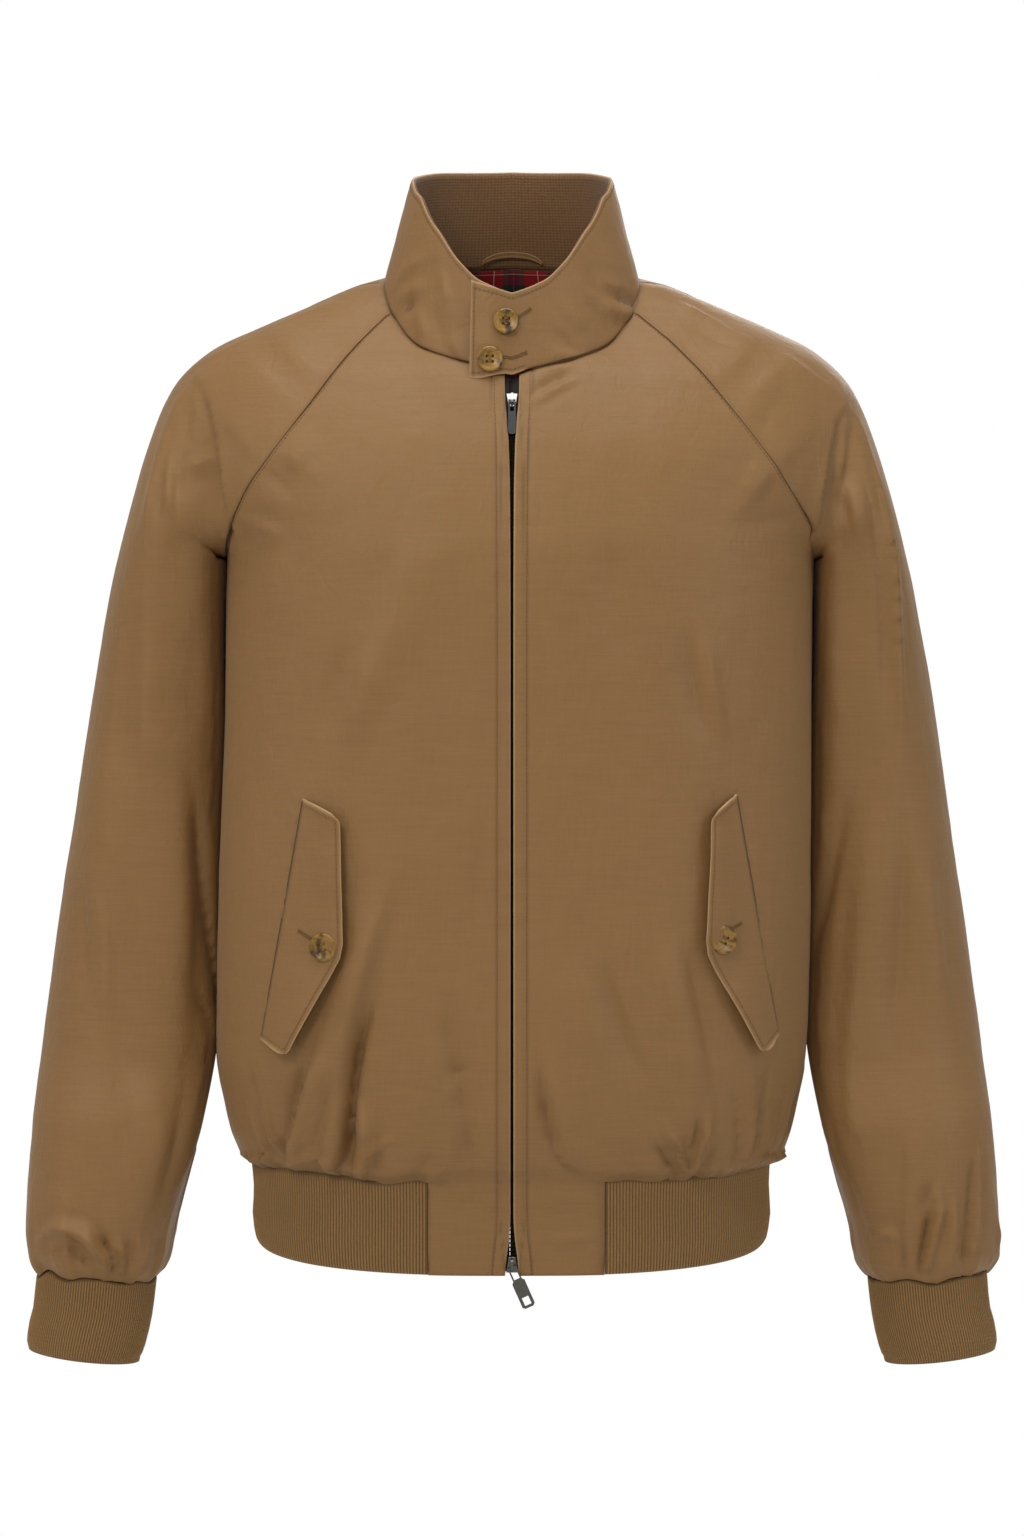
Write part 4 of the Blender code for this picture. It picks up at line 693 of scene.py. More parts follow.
# ---- sleeves ----
def sleeve_ring(side, turn, level):
    """A sleeve section: turn 0 at the underarm, 90 in front, 180 outside, 270 behind."""
    turn = np.asarray(turn, dtype=float)
    below = np.minimum(level, ARMPIT_LEVEL)
    beside = BODY.read(side_name(side), below) * SLEEVE.read("tuck", below) + SLEEVE_CLEARANCE
    outward = np.maximum(beside - SLEEVE.read("inner", below), 0.0)
    inner = SLEEVE.read("inner", level) + outward * (1 - smooth((level - ARMPIT_LEVEL) / UNDERARM_FADE))
    outer = SLEEVE.read("outer", level)
    angle = np.radians(turn)
    power = 2.0 / SLEEVE.read("square", level)
    across = np.sign(np.cos(angle)) * np.abs(np.cos(angle)) ** power
    along = np.sign(np.sin(angle)) * np.abs(np.sin(angle)) ** power
    reach = np.where(along > 0, SLEEVE.read("front", level), SLEEVE.read("back", level))
    x = (inner + outer) / 2 - (outer - inner) / 2 * across
    z = level - SLEEVE.read("drop", level) * (1 + across) / 2
    return points(side * x, SLEEVE.read("middle", level) - reach * along, z)


def surface_slope(side, start, toward, behind):
    """Unit direction along the body's surface from a seam point towards the ridge."""
    flat = unit(np.array([toward[0] - start[0], 0.0, toward[2] - start[2]]))
    depth = []
    for reach in (0.0, SLOPE_STEP):
        x = abs(start[0] + flat[0] * reach)
        z = start[2] + flat[2] * reach
        depth.append(body_point(side, body_turn(side, x, z, behind), z)[1])
    slope = np.clip((depth[1] - depth[0]) / SLOPE_STEP, -STEEPEST, STEEPEST)
    return unit(flat + np.array([0.0, slope, 0.0]))


def shoulder_arc(side, start, top, behind):
    """Smooth arc from a raglan seam up over to the ridge."""
    share = np.linspace(0.0, 1.0, DENSE)[:, None]
    reach = np.linalg.norm(top - start)
    out = surface_slope(side, start, top, behind)
    forward = np.array([0.0, 1.0 if behind else -1.0, 0.0])
    first = start + out * reach * ARC_REACH
    second = top + forward * reach * ARC_REACH
    return ((1 - share) ** 3 * start + 3 * share * (1 - share) ** 2 * first
            + 3 * share ** 2 * (1 - share) * second + share ** 3 * top)


def part_ring(side, start, top, behind):
    """Part of a sleeve ring that leaves from a raglan seam point near the armpit."""
    share = np.linspace(0.0, 1.0, DENSE)
    level = top[2]
    underarm = sleeve_ring(side, 0.0, level)
    outside = sleeve_ring(side, 180.0, level)
    half = (abs(outside[0]) - abs(underarm[0])) / 2
    across = (abs(start[0]) - (abs(outside[0]) + abs(underarm[0])) / 2) / half
    depth = SLEEVE.read("back" if behind else "front", level)
    along = (SLEEVE.read("middle", level) - start[1]) / depth
    turn = math.degrees(math.atan2(along, -across))
    turns = turn + ((-180.0 if behind else 180.0) - turn) * share
    line = sleeve_ring(side, turns, level)
    line[:, 2] = start[2] + (top[2] - start[2]) * smooth(share * 1.6)
    line += (start - line[0]) * (np.clip(1 - share / ROW_PULL, 0, 1) ** 2)[:, None]
    line += (top - line[-1]) * (share ** 2)[:, None]
    return line


def cuff_ring(side, turns, level):
    angle = np.radians(turns)
    inner = CUFF.read("inner", level)
    outer = CUFF.read("outer", level)
    across = np.cos(angle)
    x = (inner + outer) / 2 - (outer - inner) / 2 * across
    y = CUFF.read("middle", level) - CUFF.read("depth", level) * np.sin(angle)
    return points(side * x, y, level - CUFF.read("drop", level) * (1 + across) / 2)


# ---- collar ----
def neck_turn_any(turn):
    """Point of the neck seam for a turn that may run past the centre front."""
    turn = float(turn)
    if turn < 0:
        return neck_point(-1, -turn)
    if turn > 180:
        return neck_point(-1, 360 - turn)
    return neck_point(1, turn)


def collar_fold(turn):
    return abs(turn) if turn <= 180 else 360 - turn


def collar_point(turn, share, inset=0.0):
    """A point on the stand collar, share 0 at the neck seam and 1 at the top edge."""
    base = neck_turn_any(turn)
    fold = collar_fold(turn) if turn >= 0 else turn
    height = float(COLLAR.read("height", fold)) * share
    lean = float(COLLAR_LEAN.read("inward", fold))
    outward = unit(base - np.array([0.0, NECK_CENTRE_Y, base[2]]))
    up = np.array([0, 0, math.cos(lean)]) - outward * math.sin(lean)
    return base + up * height - outward * inset


def collar_height_at(turns):
    """Height of the collar at turns that may run past the centre front."""
    return COLLAR.read("height", np.where(turns <= 180, np.abs(turns), 360 - turns))


def tab_lift(turn):
    """How far the overlapping end stands in front of the end beneath it."""
    return TAB_LIFT * float(smooth((TAB_TURN - turn) / TAB_TURN) + 0.5 * smooth(-turn / TAB_TURN))


# ---- dense grids: rows go up, columns run from the zip, the middle or the underarm outwards ----
SIDE_LEVELS = np.concatenate([np.arange(-0.6035, -0.560, 0.0018), np.arange(-0.560, -0.1915, 0.0028)])
RAGLAN_STATIONS = np.concatenate([np.linspace(1.0, 0.018, 90), [0.012, 0.0075, 0.0045, 0.002, 0.0]])
SLEEVE_LEVELS = np.concatenate([np.arange(-0.193, -0.630, -0.0029), np.arange(-0.630, -0.6840, -0.0018)])
NEAR_SEAM = np.array((0.0, 0.0006, 0.0012, 0.0019, 0.0026, 0.0036, 0.0052, 0.0076, 0.0104))
NEAR_ZIP = (0.0, 0.0006, 0.0014, 0.0026, 0.0045, 0.0065, 0.0085, 0.0091, 0.0097, 0.0115, 0.0145, 0.018,
            0.022, 0.026, 0.0305, 0.035, 0.0395, 0.044, 0.0485, 0.0525)
ZIP_STITCH_COLUMN = 7
ZIP_STITCH_AWAY = NEAR_ZIP[ZIP_STITCH_COLUMN]
SEAM_STITCH_COLUMN = 3
# Columns between the close ones beside the seams.
FRONT_COLUMNS = 77
BACK_COLUMNS = 101
SLEEVE_COLUMNS = {False: 62, True: 42}
STRIP_ROWS = 26
SEAM_EASE = 0.014
UNDERARM_TURN_IN = 0.070


def spread(line, first, count, last):
    """Points of a line: at fixed distances from its two ends, and evenly spaced between them."""
    run = run_along(line)
    between = np.linspace(first[-1], run[-1] - last[-1], count + 2)[1:-1]
    at = np.concatenate([first, between, run[-1] - np.asarray(last)[::-1]])
    return at_distances(line, run, at), at / run[-1]


def row_line(side, end, centre, behind):
    """A row of a panel, on the body's surface from the middle plane to its seam."""
    middle = 180.0 if behind else 0.0
    end_turn = body_turn(side, abs(end[0]), end[2], behind)
    share = np.linspace(0.0, 1.0, DENSE)
    level = centre + (end[2] - centre) * share ** 2
    line = body_point(side, middle + (end_turn - middle) * share, level)
    return line + (end - line[-1]) * (share ** 2)[:, None]


def half_lines(side, seam, behind, centre_low, centre_high):
    """Lines from the middle plane to the seam, from the rib seam up to the neck."""
    straight = body_point(side, 90.0, SIDE_LEVELS)
    slanted = resample(seam, RAGLAN_STATIONS)
    foot = rib_seam(side, np.linspace(180.0 if behind else 0.0, 90.0, DENSE))
    ends = np.concatenate([foot[-1:], straight, slanted])
    run = run_along(ends)
    centres = centre_low + (centre_high - centre_low) * run / run[-1]
    first_end = body_point(side, 90.0, ends[0, 2])
    pulled_in = foot - row_line(side, first_end, centre_low, behind)
    lines = [foot]
    for end, centre, above in zip(ends[1:], centres[1:], run[1:]):
        line = row_line(side, end, centre, behind)
        lines.append(line + pulled_in * (1 - smooth(above / SEAM_EASE)))
    return lines


def to_neck(station):
    """How much a row is pulled to the neck seam's own line: 1 on the neck seam itself."""
    return float(np.clip(1.0 - station / ROW_PULL, 0.0, 1.0)) ** 2


def front_grid(side):
    lines = half_lines(side, front_raglan(side), False, RIB_SEAM_FRONT, NECK.rows[0, 1])
    first = np.array(NEAR_ZIP + (PLACKET[side],))
    rows, shares = zip(*(spread(line, first, FRONT_COLUMNS, NEAR_SEAM) for line in lines))
    rows = np.array(rows)
    shift = neck_point(side, FRONT_RAGLAN_TURN * shares[-1]) - rows[-1]
    for index, station in enumerate(RAGLAN_STATIONS):
        rows[len(SIDE_LEVELS) + 1 + index] += shift * to_neck(station)
    strip = []
    for share in np.linspace(1.0, 0.0, STRIP_ROWS):
        row = rows[0, :len(first)].copy()
        row[:, 2] += (HEM_FRONT - RIB_SEAM_FRONT) * share
        row[:, 1] = [body_front(x, RIB_SECTION + (z - RIB_SEAM_FRONT)) for x, _, z in row]
        strip.append(row)
    strip = np.array(strip)
    strip[-1] = rows[0, :len(first)]
    return [open_front(grid, side, PLACKET[side]) for grid in (rows, strip)]


def open_front(grid, side, placket):
    """Move the front edge back from the middle plane, to leave the zip's gap."""
    half = FRONT_GAP.read("half", grid[..., 2])
    share = np.clip(1 - np.abs(grid[..., 0]) / placket, 0, 1)
    grid[..., 0] += side * half * share
    return grid


def back_grid():
    halves = []
    for side in (1, -1):
        lines = half_lines(side, back_raglan(side), True, RIB_SEAM_BACK, NECK.rows[-1, 1])
        shares = np.linspace(0.0, 1.0, DENSE)
        shift = neck_point(side, 180.0 - (180.0 - BACK_RAGLAN_TURN) * shares) - resample(lines[-1], shares)
        for index, station in enumerate(RAGLAN_STATIONS):
            row = len(SIDE_LEVELS) + 1 + index
            lines[row] = resample(lines[row], shares) + shift * to_neck(station)
        halves.append(lines)
    rows = []
    for right, left in zip(*halves):
        whole = np.concatenate([right[::-1], left[1:]])
        rows.append(spread(whole, NEAR_SEAM, BACK_COLUMNS, NEAR_SEAM)[0])
    return np.array(rows)


def sleeve_grid(side, behind):
    """Grid of one half of a sleeve, from its seam or underarm to the overarm line, cuff to neck."""
    seam = back_raglan(side) if behind else front_raglan(side)
    top_line = ridge(side)
    rows = []
    for station in RAGLAN_STATIONS[::-1]:
        start = resample(seam, (station,))[0]
        top = resample(top_line, (station,))[0]
        even = np.linspace(0, 1, DENSE)
        near = resample(part_ring(side, start, top, behind), even)
        arc = resample(shoulder_arc(side, start, top, behind), even)
        # Low on the seam a row follows the sleeve's own section, and higher up the shoulder's arc.
        mix = float(smooth((station - 0.40) / 0.35))
        rows.append(spread(arc * (1 - mix) + near * mix, NEAR_SEAM, SLEEVE_COLUMNS[behind], NEAR_SEAM))
    shares = rows[0][1]
    rows = [row for row, _ in rows]
    turn = BACK_RAGLAN_TURN if behind else FRONT_RAGLAN_TURN
    shift = neck_point(side, turn + (RIDGE_TURN - turn) * shares) - rows[0]
    for index, station in enumerate(RAGLAN_STATIONS[::-1]):
        rows[index] = rows[index] + shift * max(0.0, 1.0 - station / NECK_PULL) ** 2
    far = -180.0 if behind else 180.0
    even = np.linspace(0, 1, DENSE)
    seam_turn, off = underarm_start(side)
    for level in list(SLEEVE_LEVELS) + [SLEEVE.rows[0, 0]]:
        fade = float(1 - smooth((ARMPIT_LEVEL - level) / UNDERARM_TURN_IN))
        first = seam_turn * fade
        line = sleeve_ring(side, first + (far - first) * even, level)
        line += (off * fade) * (np.clip(1 - even / ROW_PULL, 0, 1) ** 2)[:, None]
        rows.append(spread(line, NEAR_SEAM, SLEEVE_COLUMNS[behind], NEAR_SEAM)[0])
    return np.array(rows)[::-1]


def underarm_start(side):
    """The turn at which the armpit lies on the sleeve's section, and how far off the section it is."""
    start = armpit(side)
    inner = abs(sleeve_ring(side, 0.0, ARMPIT_LEVEL)[0])
    outer = abs(sleeve_ring(side, 180.0, ARMPIT_LEVEL)[0])
    across = (abs(start[0]) - (outer + inner) / 2) / ((outer - inner) / 2)
    along = (SLEEVE.read("middle", ARMPIT_LEVEL) - start[1]) / SLEEVE.read("front", ARMPIT_LEVEL)
    turn = math.degrees(math.atan2(along, -across))
    return turn, start - sleeve_ring(side, turn, ARMPIT_LEVEL)


# ---- the cloth shell: all tan panels welded along their seams while they are creased ----
FOLD_STRENGTH = 2.3
SLEEVE_FOLD_STRENGTH = 1.9
BACK_FOLD_STRENGTH = 2.3
COLLAR_FOLD_STRENGTH = 1.5
FOLD_NARROWING = 0.85
# How far a fold reaches to its sides, in half-widths, and how it fades towards its ends and over an edge.
RIDGE_REACH = 3.2
LAP_REACH = 1.2
END_FADE = 0.38
FACING_FADE = 0.35
# One side of a fold is steep and the other gentle.
STEEP_SIDE = 0.50
GENTLE_SIDE = 1.35
# Profiles across a crease: a trough is sharp with a round foot, a ridge sinks the cloth beside it a
# little, and a lap steps down behind a soft roll.
TROUGH_SHARP = 1.6
TROUGH_ROUND = 0.16
RIDGE_SINK = 0.22
RIDGE_SKIRT = 2.2
LAP_STEP = 0.0045
LAP_ROLL = 0.16
LAP_ROLL_AWAY = 0.003
LAP_ROLL_WIDTH = 0.006
# A path laid on the cloth keeps to cloth that faces its way, and takes the outermost point nearby.
FACING_LEAST = 0.03
PICK_REACH = 0.005
# A seam's own relief, in metres: its groove, the layers turned in beside it and the line of the needle.
GROOVE_WIDTH = 0.0006
GROOVE_DEPTH = 0.0008
STIFF_BESIDE = 0.010
LAYERS_UP = 0.00045
LAYERS_WIDE = 0.0024
NEEDLE_AWAY = 0.0019
NEEDLE_DEPTH = 0.00015
# Cloth further out than this belongs to the sleeves.
BODY_REACH = 0.215


def bell(away, width):
    """1 on a line, fading on both sides of it."""
    return np.exp(-(away / width) ** 2)


class Shell:
    """Points and outward normals of the welded panels, and the creases worked into them."""

    def __init__(self, panels):
        self.panels = panels
        flat = np.concatenate([grid.reshape(-1, 3) for grids, _ in panels.values() for grid in grids])
        keys = np.round(flat / WELD).astype(np.int64)
        _, first, self.owner = np.unique(keys, axis=0, return_index=True, return_inverse=True)
        self.owner = self.owner.reshape(-1)
        self.points = flat[first]
        self.rise = np.zeros(len(self.points))
        # Painted shade along seams and lines of sewing, and a painted highlight along folded edges.
        self.stitched = np.zeros(len(self.points))
        self.edge = np.zeros(len(self.points))
        self.shift = np.zeros_like(self.points)
        self.normals = self.outward(self.points)

    def faces(self):
        """Quads of each panel's grids, as numbers of welded points."""
        start = 0
        found = {}
        for name, (grids, flip) in self.panels.items():
            quads = []
            for grid in grids:
                count = grid.shape[0] * grid.shape[1]
                own = self.owner[start:start + count].reshape(grid.shape[:2])
                start += count
                corners = [own[:-1, :-1], own[:-1, 1:], own[1:, 1:], own[1:, :-1]]
                quad = np.stack(corners, axis=-1).reshape(-1, 4)
                quads.append(quad[:, ::-1] if flip else quad)
            found[name] = np.concatenate(quads)
        return found

    def outward(self, points):
        normals = np.zeros_like(points)
        for quads in self.faces().values():
            a, b, c, d = (points[quads[:, k]] for k in range(4))
            faced = np.cross(c - a, d - b)
            for k in range(4):
                np.add.at(normals, quads[:, k], faced)
        return normals / np.maximum(np.linalg.norm(normals, axis=1, keepdims=True), 1e-12)

    def near(self, path, reach):
        """Points near a path: their numbers, signed distances, and shares along the path."""
        low = path.min(axis=0) - reach
        high = path.max(axis=0) + reach
        inside = np.all((self.points > low) & (self.points < high), axis=1)
        index = np.nonzero(inside)[0]
        spots = self.points[index]
        best = np.full(len(index), np.inf)
        share = np.zeros(len(index))
        side = np.zeros(len(index))
        run = run_along(path)
        for k in range(len(path) - 1):
            way = path[k + 1] - path[k]
            length = np.linalg.norm(way)
            along = np.clip((spots - path[k]) @ way / length ** 2, 0, 1)
            off = spots - path[k] - along[:, None] * way
            distance = np.linalg.norm(off, axis=1)
            closer = distance < best
            best[closer] = distance[closer]
            share[closer] = ((run[k] + along * length) / run[-1])[closer]
            turned = np.einsum("ij,ij->i", np.cross(way, off), self.normals[index])
            side[closer] = np.sign(turned)[closer]
        close = best < reach
        return index[close], (best * side)[close], share[close]

    def on_surface(self, flat_path, behind=False):
        """A path given as x and z in millimetres, laid on the front or the back of the cloth."""
        way = -1.0 if behind else 1.0
        spots = self.points[self.normals[:, 1] * way < -FACING_LEAST]
        depth = spots[:, 1] * way
        laid = []
        for x, z in np.asarray(flat_path, dtype=float) / 1000.0:
            off = np.hypot(spots[:, 0] - x, spots[:, 2] - z)
            close = off < max(PICK_REACH, off.min() + 0.001)
            pick = np.nonzero(close)[0][np.argmin(depth[close])]
            laid.append((x, spots[pick, 1], z))
        return curve_through(laid, 4 * len(laid) + 8)

    def crease(self, width, height, start, end, path, lap=False):
        """Work one crease into the cloth: a ridge, a trough, or the lap of one fold over another."""
        width = width / 1000.0
        height = height / 1000.0
        index, distance, share = self.near(path, width * (LAP_REACH if lap else RIDGE_REACH))
        if not len(index):
            return
        middle = path[len(path) // 2]
        pick = np.argmin(np.linalg.norm(self.points[index] - middle, axis=1))
        facing = self.normals[index] @ self.normals[index[pick]]
        strength = np.clip(facing / FACING_FADE, 0, 1)
        strength *= start + (1 - start) * smooth(share / END_FADE)
        strength *= end + (1 - end) * smooth((1 - share) / END_FADE)
        if lap:
            depth = smooth(distance / LAP_STEP) * (1 - smooth((distance - LAP_STEP) / (width - LAP_STEP)))
            profile = LAP_ROLL * bell(distance + LAP_ROLL_AWAY, LAP_ROLL_WIDTH) - depth
        else:
            # Which side is the steep one differs from fold to fold.
            steep = 1.0 if math.sin(1000.0 * (middle[0] + 2.0 * middle[2])) > 0 else -1.0
            across = distance / width / np.where(distance * steep > 0, STEEP_SIDE, GENTLE_SIDE)
            if height < 0:
                profile = np.exp(TROUGH_SHARP * (TROUGH_ROUND - np.hypot(across, TROUGH_ROUND)))
            else:
                profile = (1 + RIDGE_SINK) * bell(across, 1.0) - RIDGE_SINK * bell(across, RIDGE_SKIRT)
        self.rise[index] += height * strength * profile

    def stitch(self, index, shade):
        """Paint shade onto points along a seam's groove or a line of sewing."""
        self.stitched[index] = np.maximum(self.stitched[index], shade)

    def seam(self, path, welt, depth=GROOVE_DEPTH):
        """A sewn seam: a fine groove, with the turned-in layers raised beside it on one side, and painted
        shade in the groove and along the needle's line.
        """
        index, distance, _ = self.near(path, 0.025)
        # The layers in a seam are stiff, so creases fade out across it.
        self.rise[index] *= 1 - 0.75 * bell(distance, STIFF_BESIDE)
        along = distance * welt
        groove = bell(distance, GROOVE_WIDTH)
        raised = LAYERS_UP * smooth(along / 0.0008) * (1 - smooth((along - LAYERS_WIDE) / 0.0014))
        needle = bell(along - NEEDLE_AWAY, 0.0005)
        self.rise[index] += raised - depth * groove - NEEDLE_DEPTH * needle
        # The groove and the needle's line are painted darker, as the shade that lies in them.
        self.stitch(index, np.maximum(0.55 * groove, 0.2 * needle))

    def settled(self):
        return self.points + self.shift + self.normals * self.rise[:, None]


def wander(points, scale, seed):
    """Smooth noise from -1 to 1 at each point, for a wave length along each axis in metres."""
    move = Vector((seed * 7.3, seed * 3.1, seed * 5.7))
    size = 1.0 / np.asarray(scale)
    return np.array([noise.noise(Vector(spot) + move) for spot in points * size])


def angle_wave(angle, seed, counts=(5, 13), sizes=(0.65, 0.35)):
    """An uneven wave round a ring, from -1 to 1, the same wherever the ring is asked for it."""
    rng = np.random.default_rng(seed)
    total = np.zeros_like(angle)
    for count, size in zip(counts, sizes):
        for k in (0, 1, 2):
            total += size / 1.8 * np.sin((count + k * 2) * angle + rng.uniform(0, 2 * math.pi))
    return total


RIB_WAVE = 0.0022
CUFF_WAVE = 0.0026
CUFF_AXIS = (0.2893, -0.012)
CLEAR_OF_PLACKET = 0.066


def rib_seam_wave(points):
    """How far the gathered cloth pulls the rib seam up or down, fading out beside the zip."""
    angle = np.arctan2(points[..., 0], -points[..., 1])
    beside_zip = smooth((np.abs(points[..., 0]) - CLEAR_OF_PLACKET) / 0.02)
    return RIB_WAVE * angle_wave(angle, 11) * np.where(points[..., 1] < 0, beside_zip, 1.0)


def cuff_seam_wave(points, side):
    """The same at a cuff's seam."""
    angle = np.arctan2(points[..., 0] - side * CUFF_AXIS[0], -(points[..., 1] - CUFF_AXIS[1]))
    return CUFF_WAVE * angle_wave(angle, 20 + side, (3, 7))


GATHER_LEAN = 0.25
GATHER_HEIGHTS = (0.45, 1.0)
GATHER_WIDTHS = (0.75, 1.3)
GATHER_OUTWARD = 0.6


def gathers(rng, count, foot, low, high, long_from, long_to, height, width):
    """Small folds that rise from a seam at uneven places, as entries of a table of folds."""
    made = []
    for place in np.sort(rng.uniform(low, high, count)):
        tall = rng.uniform(long_from, long_to) / 1000.0
        lean = rng.uniform(-GATHER_LEAN, GATHER_LEAN) * tall
        size = rng.uniform(*GATHER_HEIGHTS) * height
        size *= rng.choice((1, -1), p=(GATHER_OUTWARD, 1 - GATHER_OUTWARD))
        made.append((rng.uniform(*GATHER_WIDTHS) * width, size, 0.9, 0.1, foot(place, tall, lean)))
    return made


# ---- materials ----
def colour(hex_code):
    """An sRGB hex colour as linear values."""
    parts = [int(hex_code[k:k + 2], 16) / 255.0 for k in (1, 3, 5)]
    return tuple(c / 12.92 if c <= 0.04045 else ((c + 0.055) / 1.055) ** 2.4 for c in parts) + (1.0,)


def add(tree, kind, settings=None, inputs=None):
    """Add a node with its settings; an input is a value, or (node, output) for a link."""
    made = tree.nodes.new(kind)
    for key, value in (settings or {}).items():
        setattr(made, key, value)
    for key, value in (inputs or {}).items():
        if isinstance(value, tuple) and isinstance(value[0], bpy.types.Node):
            tree.links.new(value[0].outputs[value[1]], made.inputs[key])
        else:
            made.inputs[key].default_value = value
    return made


def new_material(name):
    made = bpy.data.materials.new(name)
    made.use_nodes = True
    tree = made.node_tree
    tree.nodes.clear()
    return made, tree


def finish_material(made, tree, base, roughness, relief=None, more=None):
    inputs = {"Base Color": base, "Roughness": roughness}
    if relief:
        inputs["Normal"] = relief
    inputs.update(more or {})
    shader = add(tree, "ShaderNodeBsdfPrincipled", {}, inputs)
    add(tree, "ShaderNodeOutputMaterial", {}, {"Surface": (shader, "BSDF")})
    return made


# Each of the next functions adds one node and gives back what it puts out, ready to be linked.
def place_on(tree, kind="Object"):
    return add(tree, "ShaderNodeTexCoord"), kind


def attribute(tree, name):
    return add(tree, "ShaderNodeAttribute", {"attribute_name": name}), "Fac"


def noise_at(tree, place, scale, detail, more=None):
    """Smooth noise; its scale is one number, or one for each axis."""
    if isinstance(scale, tuple):
        place = add(tree, "ShaderNodeMapping", {}, {"Vector": place, "Scale": scale}), "Vector"
        scale = 1.0
    inputs = {"Vector": place, "Scale": scale, "Detail": detail}
    inputs.update(more or {})
    return add(tree, "ShaderNodeTexNoise", {}, inputs), "Fac"


def waves_at(tree, place, direction, scale, distortion, detail, detail_scale=1.0):
    return add(tree, "ShaderNodeTexWave", {"bands_direction": direction}, {
        "Vector": place, "Scale": scale, "Distortion": distortion, "Detail": detail,
        "Detail Scale": detail_scale}), "Fac"


def calculated(tree, operation, first, second=0.0):
    return add(tree, "ShaderNodeMath", {"operation": operation}, {0: first, 1: second}), "Value"


def between(tree, share, low, high):
    return add(tree, "ShaderNodeMix", {"data_type": "FLOAT"}, {0: share, 2: low, 3: high}), 0


def blended(tree, share, low, high, blend="MIX"):
    settings = {"data_type": "RGBA", "blend_type": blend}
    return add(tree, "ShaderNodeMix", settings, {0: share, 6: low, 7: high}), 2


def ranged(tree, value, limits):
    inputs = {"Value": value}
    inputs.update(limits)
    return add(tree, "ShaderNodeMapRange", {}, inputs), "Result"


def bumped(tree, height, strength, distance, below=None):
    inputs = {"Height": height, "Strength": strength, "Distance": distance}
    if below:
        inputs["Normal"] = below
    return add(tree, "ShaderNodeBump", {}, inputs), "Normal"


def ramp(tree, share, stops, interpolation="LINEAR"):
    """Colours at places from 0 to 1, in rising order."""
    made = add(tree, "ShaderNodeValToRGB", {}, {"Fac": share})
    made.color_ramp.interpolation = interpolation
    elements = made.color_ramp.elements
    for place, _ in stops[2:]:
        elements.new(place)
    for element, (place, shade) in zip(elements, stops):
        element.position = place
        element.color = shade
    return made, "Color"


def poplin(name, dark, light, worn, seam, highlight):
    """Cotton and polyester poplin, plain woven and pressed: a fine crosswise slub, a faint sheen, painted
    shade along seams and a painted highlight on folded edges.
    """
    made, tree = new_material(name)
    place = place_on(tree)
    # Slubs are about 30 mm long and a millimetre thick, and lie across the cloth.
    slub = noise_at(tree, place, (34, 34, 980), 3.0, {"Roughness": 0.6})
    warp = noise_at(tree, place, (900, 900, 40), 2.0)
    cloud = noise_at(tree, place, 9.0, 3.0)
    # The yarns show only close up, as a grain of about half a millimetre.
    weave = noise_at(tree, place, 1900.0, 1.0)
    streaks = between(tree, 0.30, slub, warp)
    even = ranged(tree, streaks, {"From Min": 0.30, "From Max": 0.70})
    patch = ranged(tree, cloud, {"From Min": 0.35, "From Max": 0.75, "To Max": 0.35})
    faded = blended(tree, patch, blended(tree, even, colour(dark), colour(light)), colour(worn))
    # Seam lines lie in their own shadow.
    shaded = blended(tree, attribute(tree, "stitched"), faded, colour(seam))
    # Folded edges are painted paler: a painted highlight where the fold catches the light.
    edge_highlight = calculated(tree, "MULTIPLY", attribute(tree, "edge"), 0.75)
    edged = blended(tree, edge_highlight, shaded, colour(highlight))
    # Small creases of 5 to 20 mm are left in the cloth by handling.
    crinkle = noise_at(tree, place, (95, 95, 50), 4.0, {"Roughness": 0.55, "Distortion": 0.8})
    grain = bumped(tree, weave, 0.25, 0.00015)
    handled = bumped(tree, crinkle, 0.5, 0.0016, grain)
    relief = bumped(tree, streaks, 0.35, 0.0002, handled)
    return finish_material(made, tree, edged, 0.56, relief, {
        "Specular IOR Level": 0.36, "Sheen Weight": 0.14, "Sheen Roughness": 0.45,
        "Sheen Tint": colour("#ffe9cf")})


def rib_knit(name, valley, crest):
    """Wool-like rib knit: matt, painted darker between the ribs as shade, with each loop showing as a tiny V.
    """
    made, tree = new_material(name)
    place = place_on(tree)
    # The loops' relief repeats every 2.6 mm.
    loops = waves_at(tree, place, "Z", 120.0, 2.5, 2.0, 6.0)
    fuzz = noise_at(tree, place, 700.0, 3.0)
    # Painted shade: the valleys between the ribs take the darker colour, the crests the lighter.
    base = blended(tree, attribute(tree, "crest"), colour(valley), colour(crest))
    mottled = blended(tree, 0.30, base, (fuzz[0], "Color"), "OVERLAY")
    hairs = bumped(tree, fuzz, 0.4, 0.0003, bumped(tree, loops, 0.5, 0.0003))
    return finish_material(made, tree, mottled, 0.88, hairs, {
        "Specular IOR Level": 0.2, "Sheen Weight": 0.25, "Sheen Roughness": 0.6,
        "Sheen Tint": colour("#e8cfa8")})


def fine_knit(name, dark, light):
    """The collar's fine knit facing: narrow courses one above the other."""
    made, tree = new_material(name)
    flat = place_on(tree, "UV")
    # Courses are 2.2 mm apart and wales 2.6 mm apart.
    courses = waves_at(tree, flat, "Y", 145.0, 1.2, 2.0, 3.0)
    wales = waves_at(tree, flat, "X", 122.0, 1.0, 1.0)
    fuzz = noise_at(tree, place_on(tree), 500.0, 3.0)
    mixed = between(tree, 0.45, between(tree, 0.4, courses, wales), fuzz)
    base = blended(tree, mixed, colour(dark), colour(light))
    return finish_material(made, tree, base, 0.9, bumped(tree, mixed, 0.6, 0.0004), {
        "Specular IOR Level": 0.2, "Sheen Weight": 0.2, "Sheen Roughness": 0.6})


TARTAN_SETT = 0.040
TWILL_PITCH = 0.0005


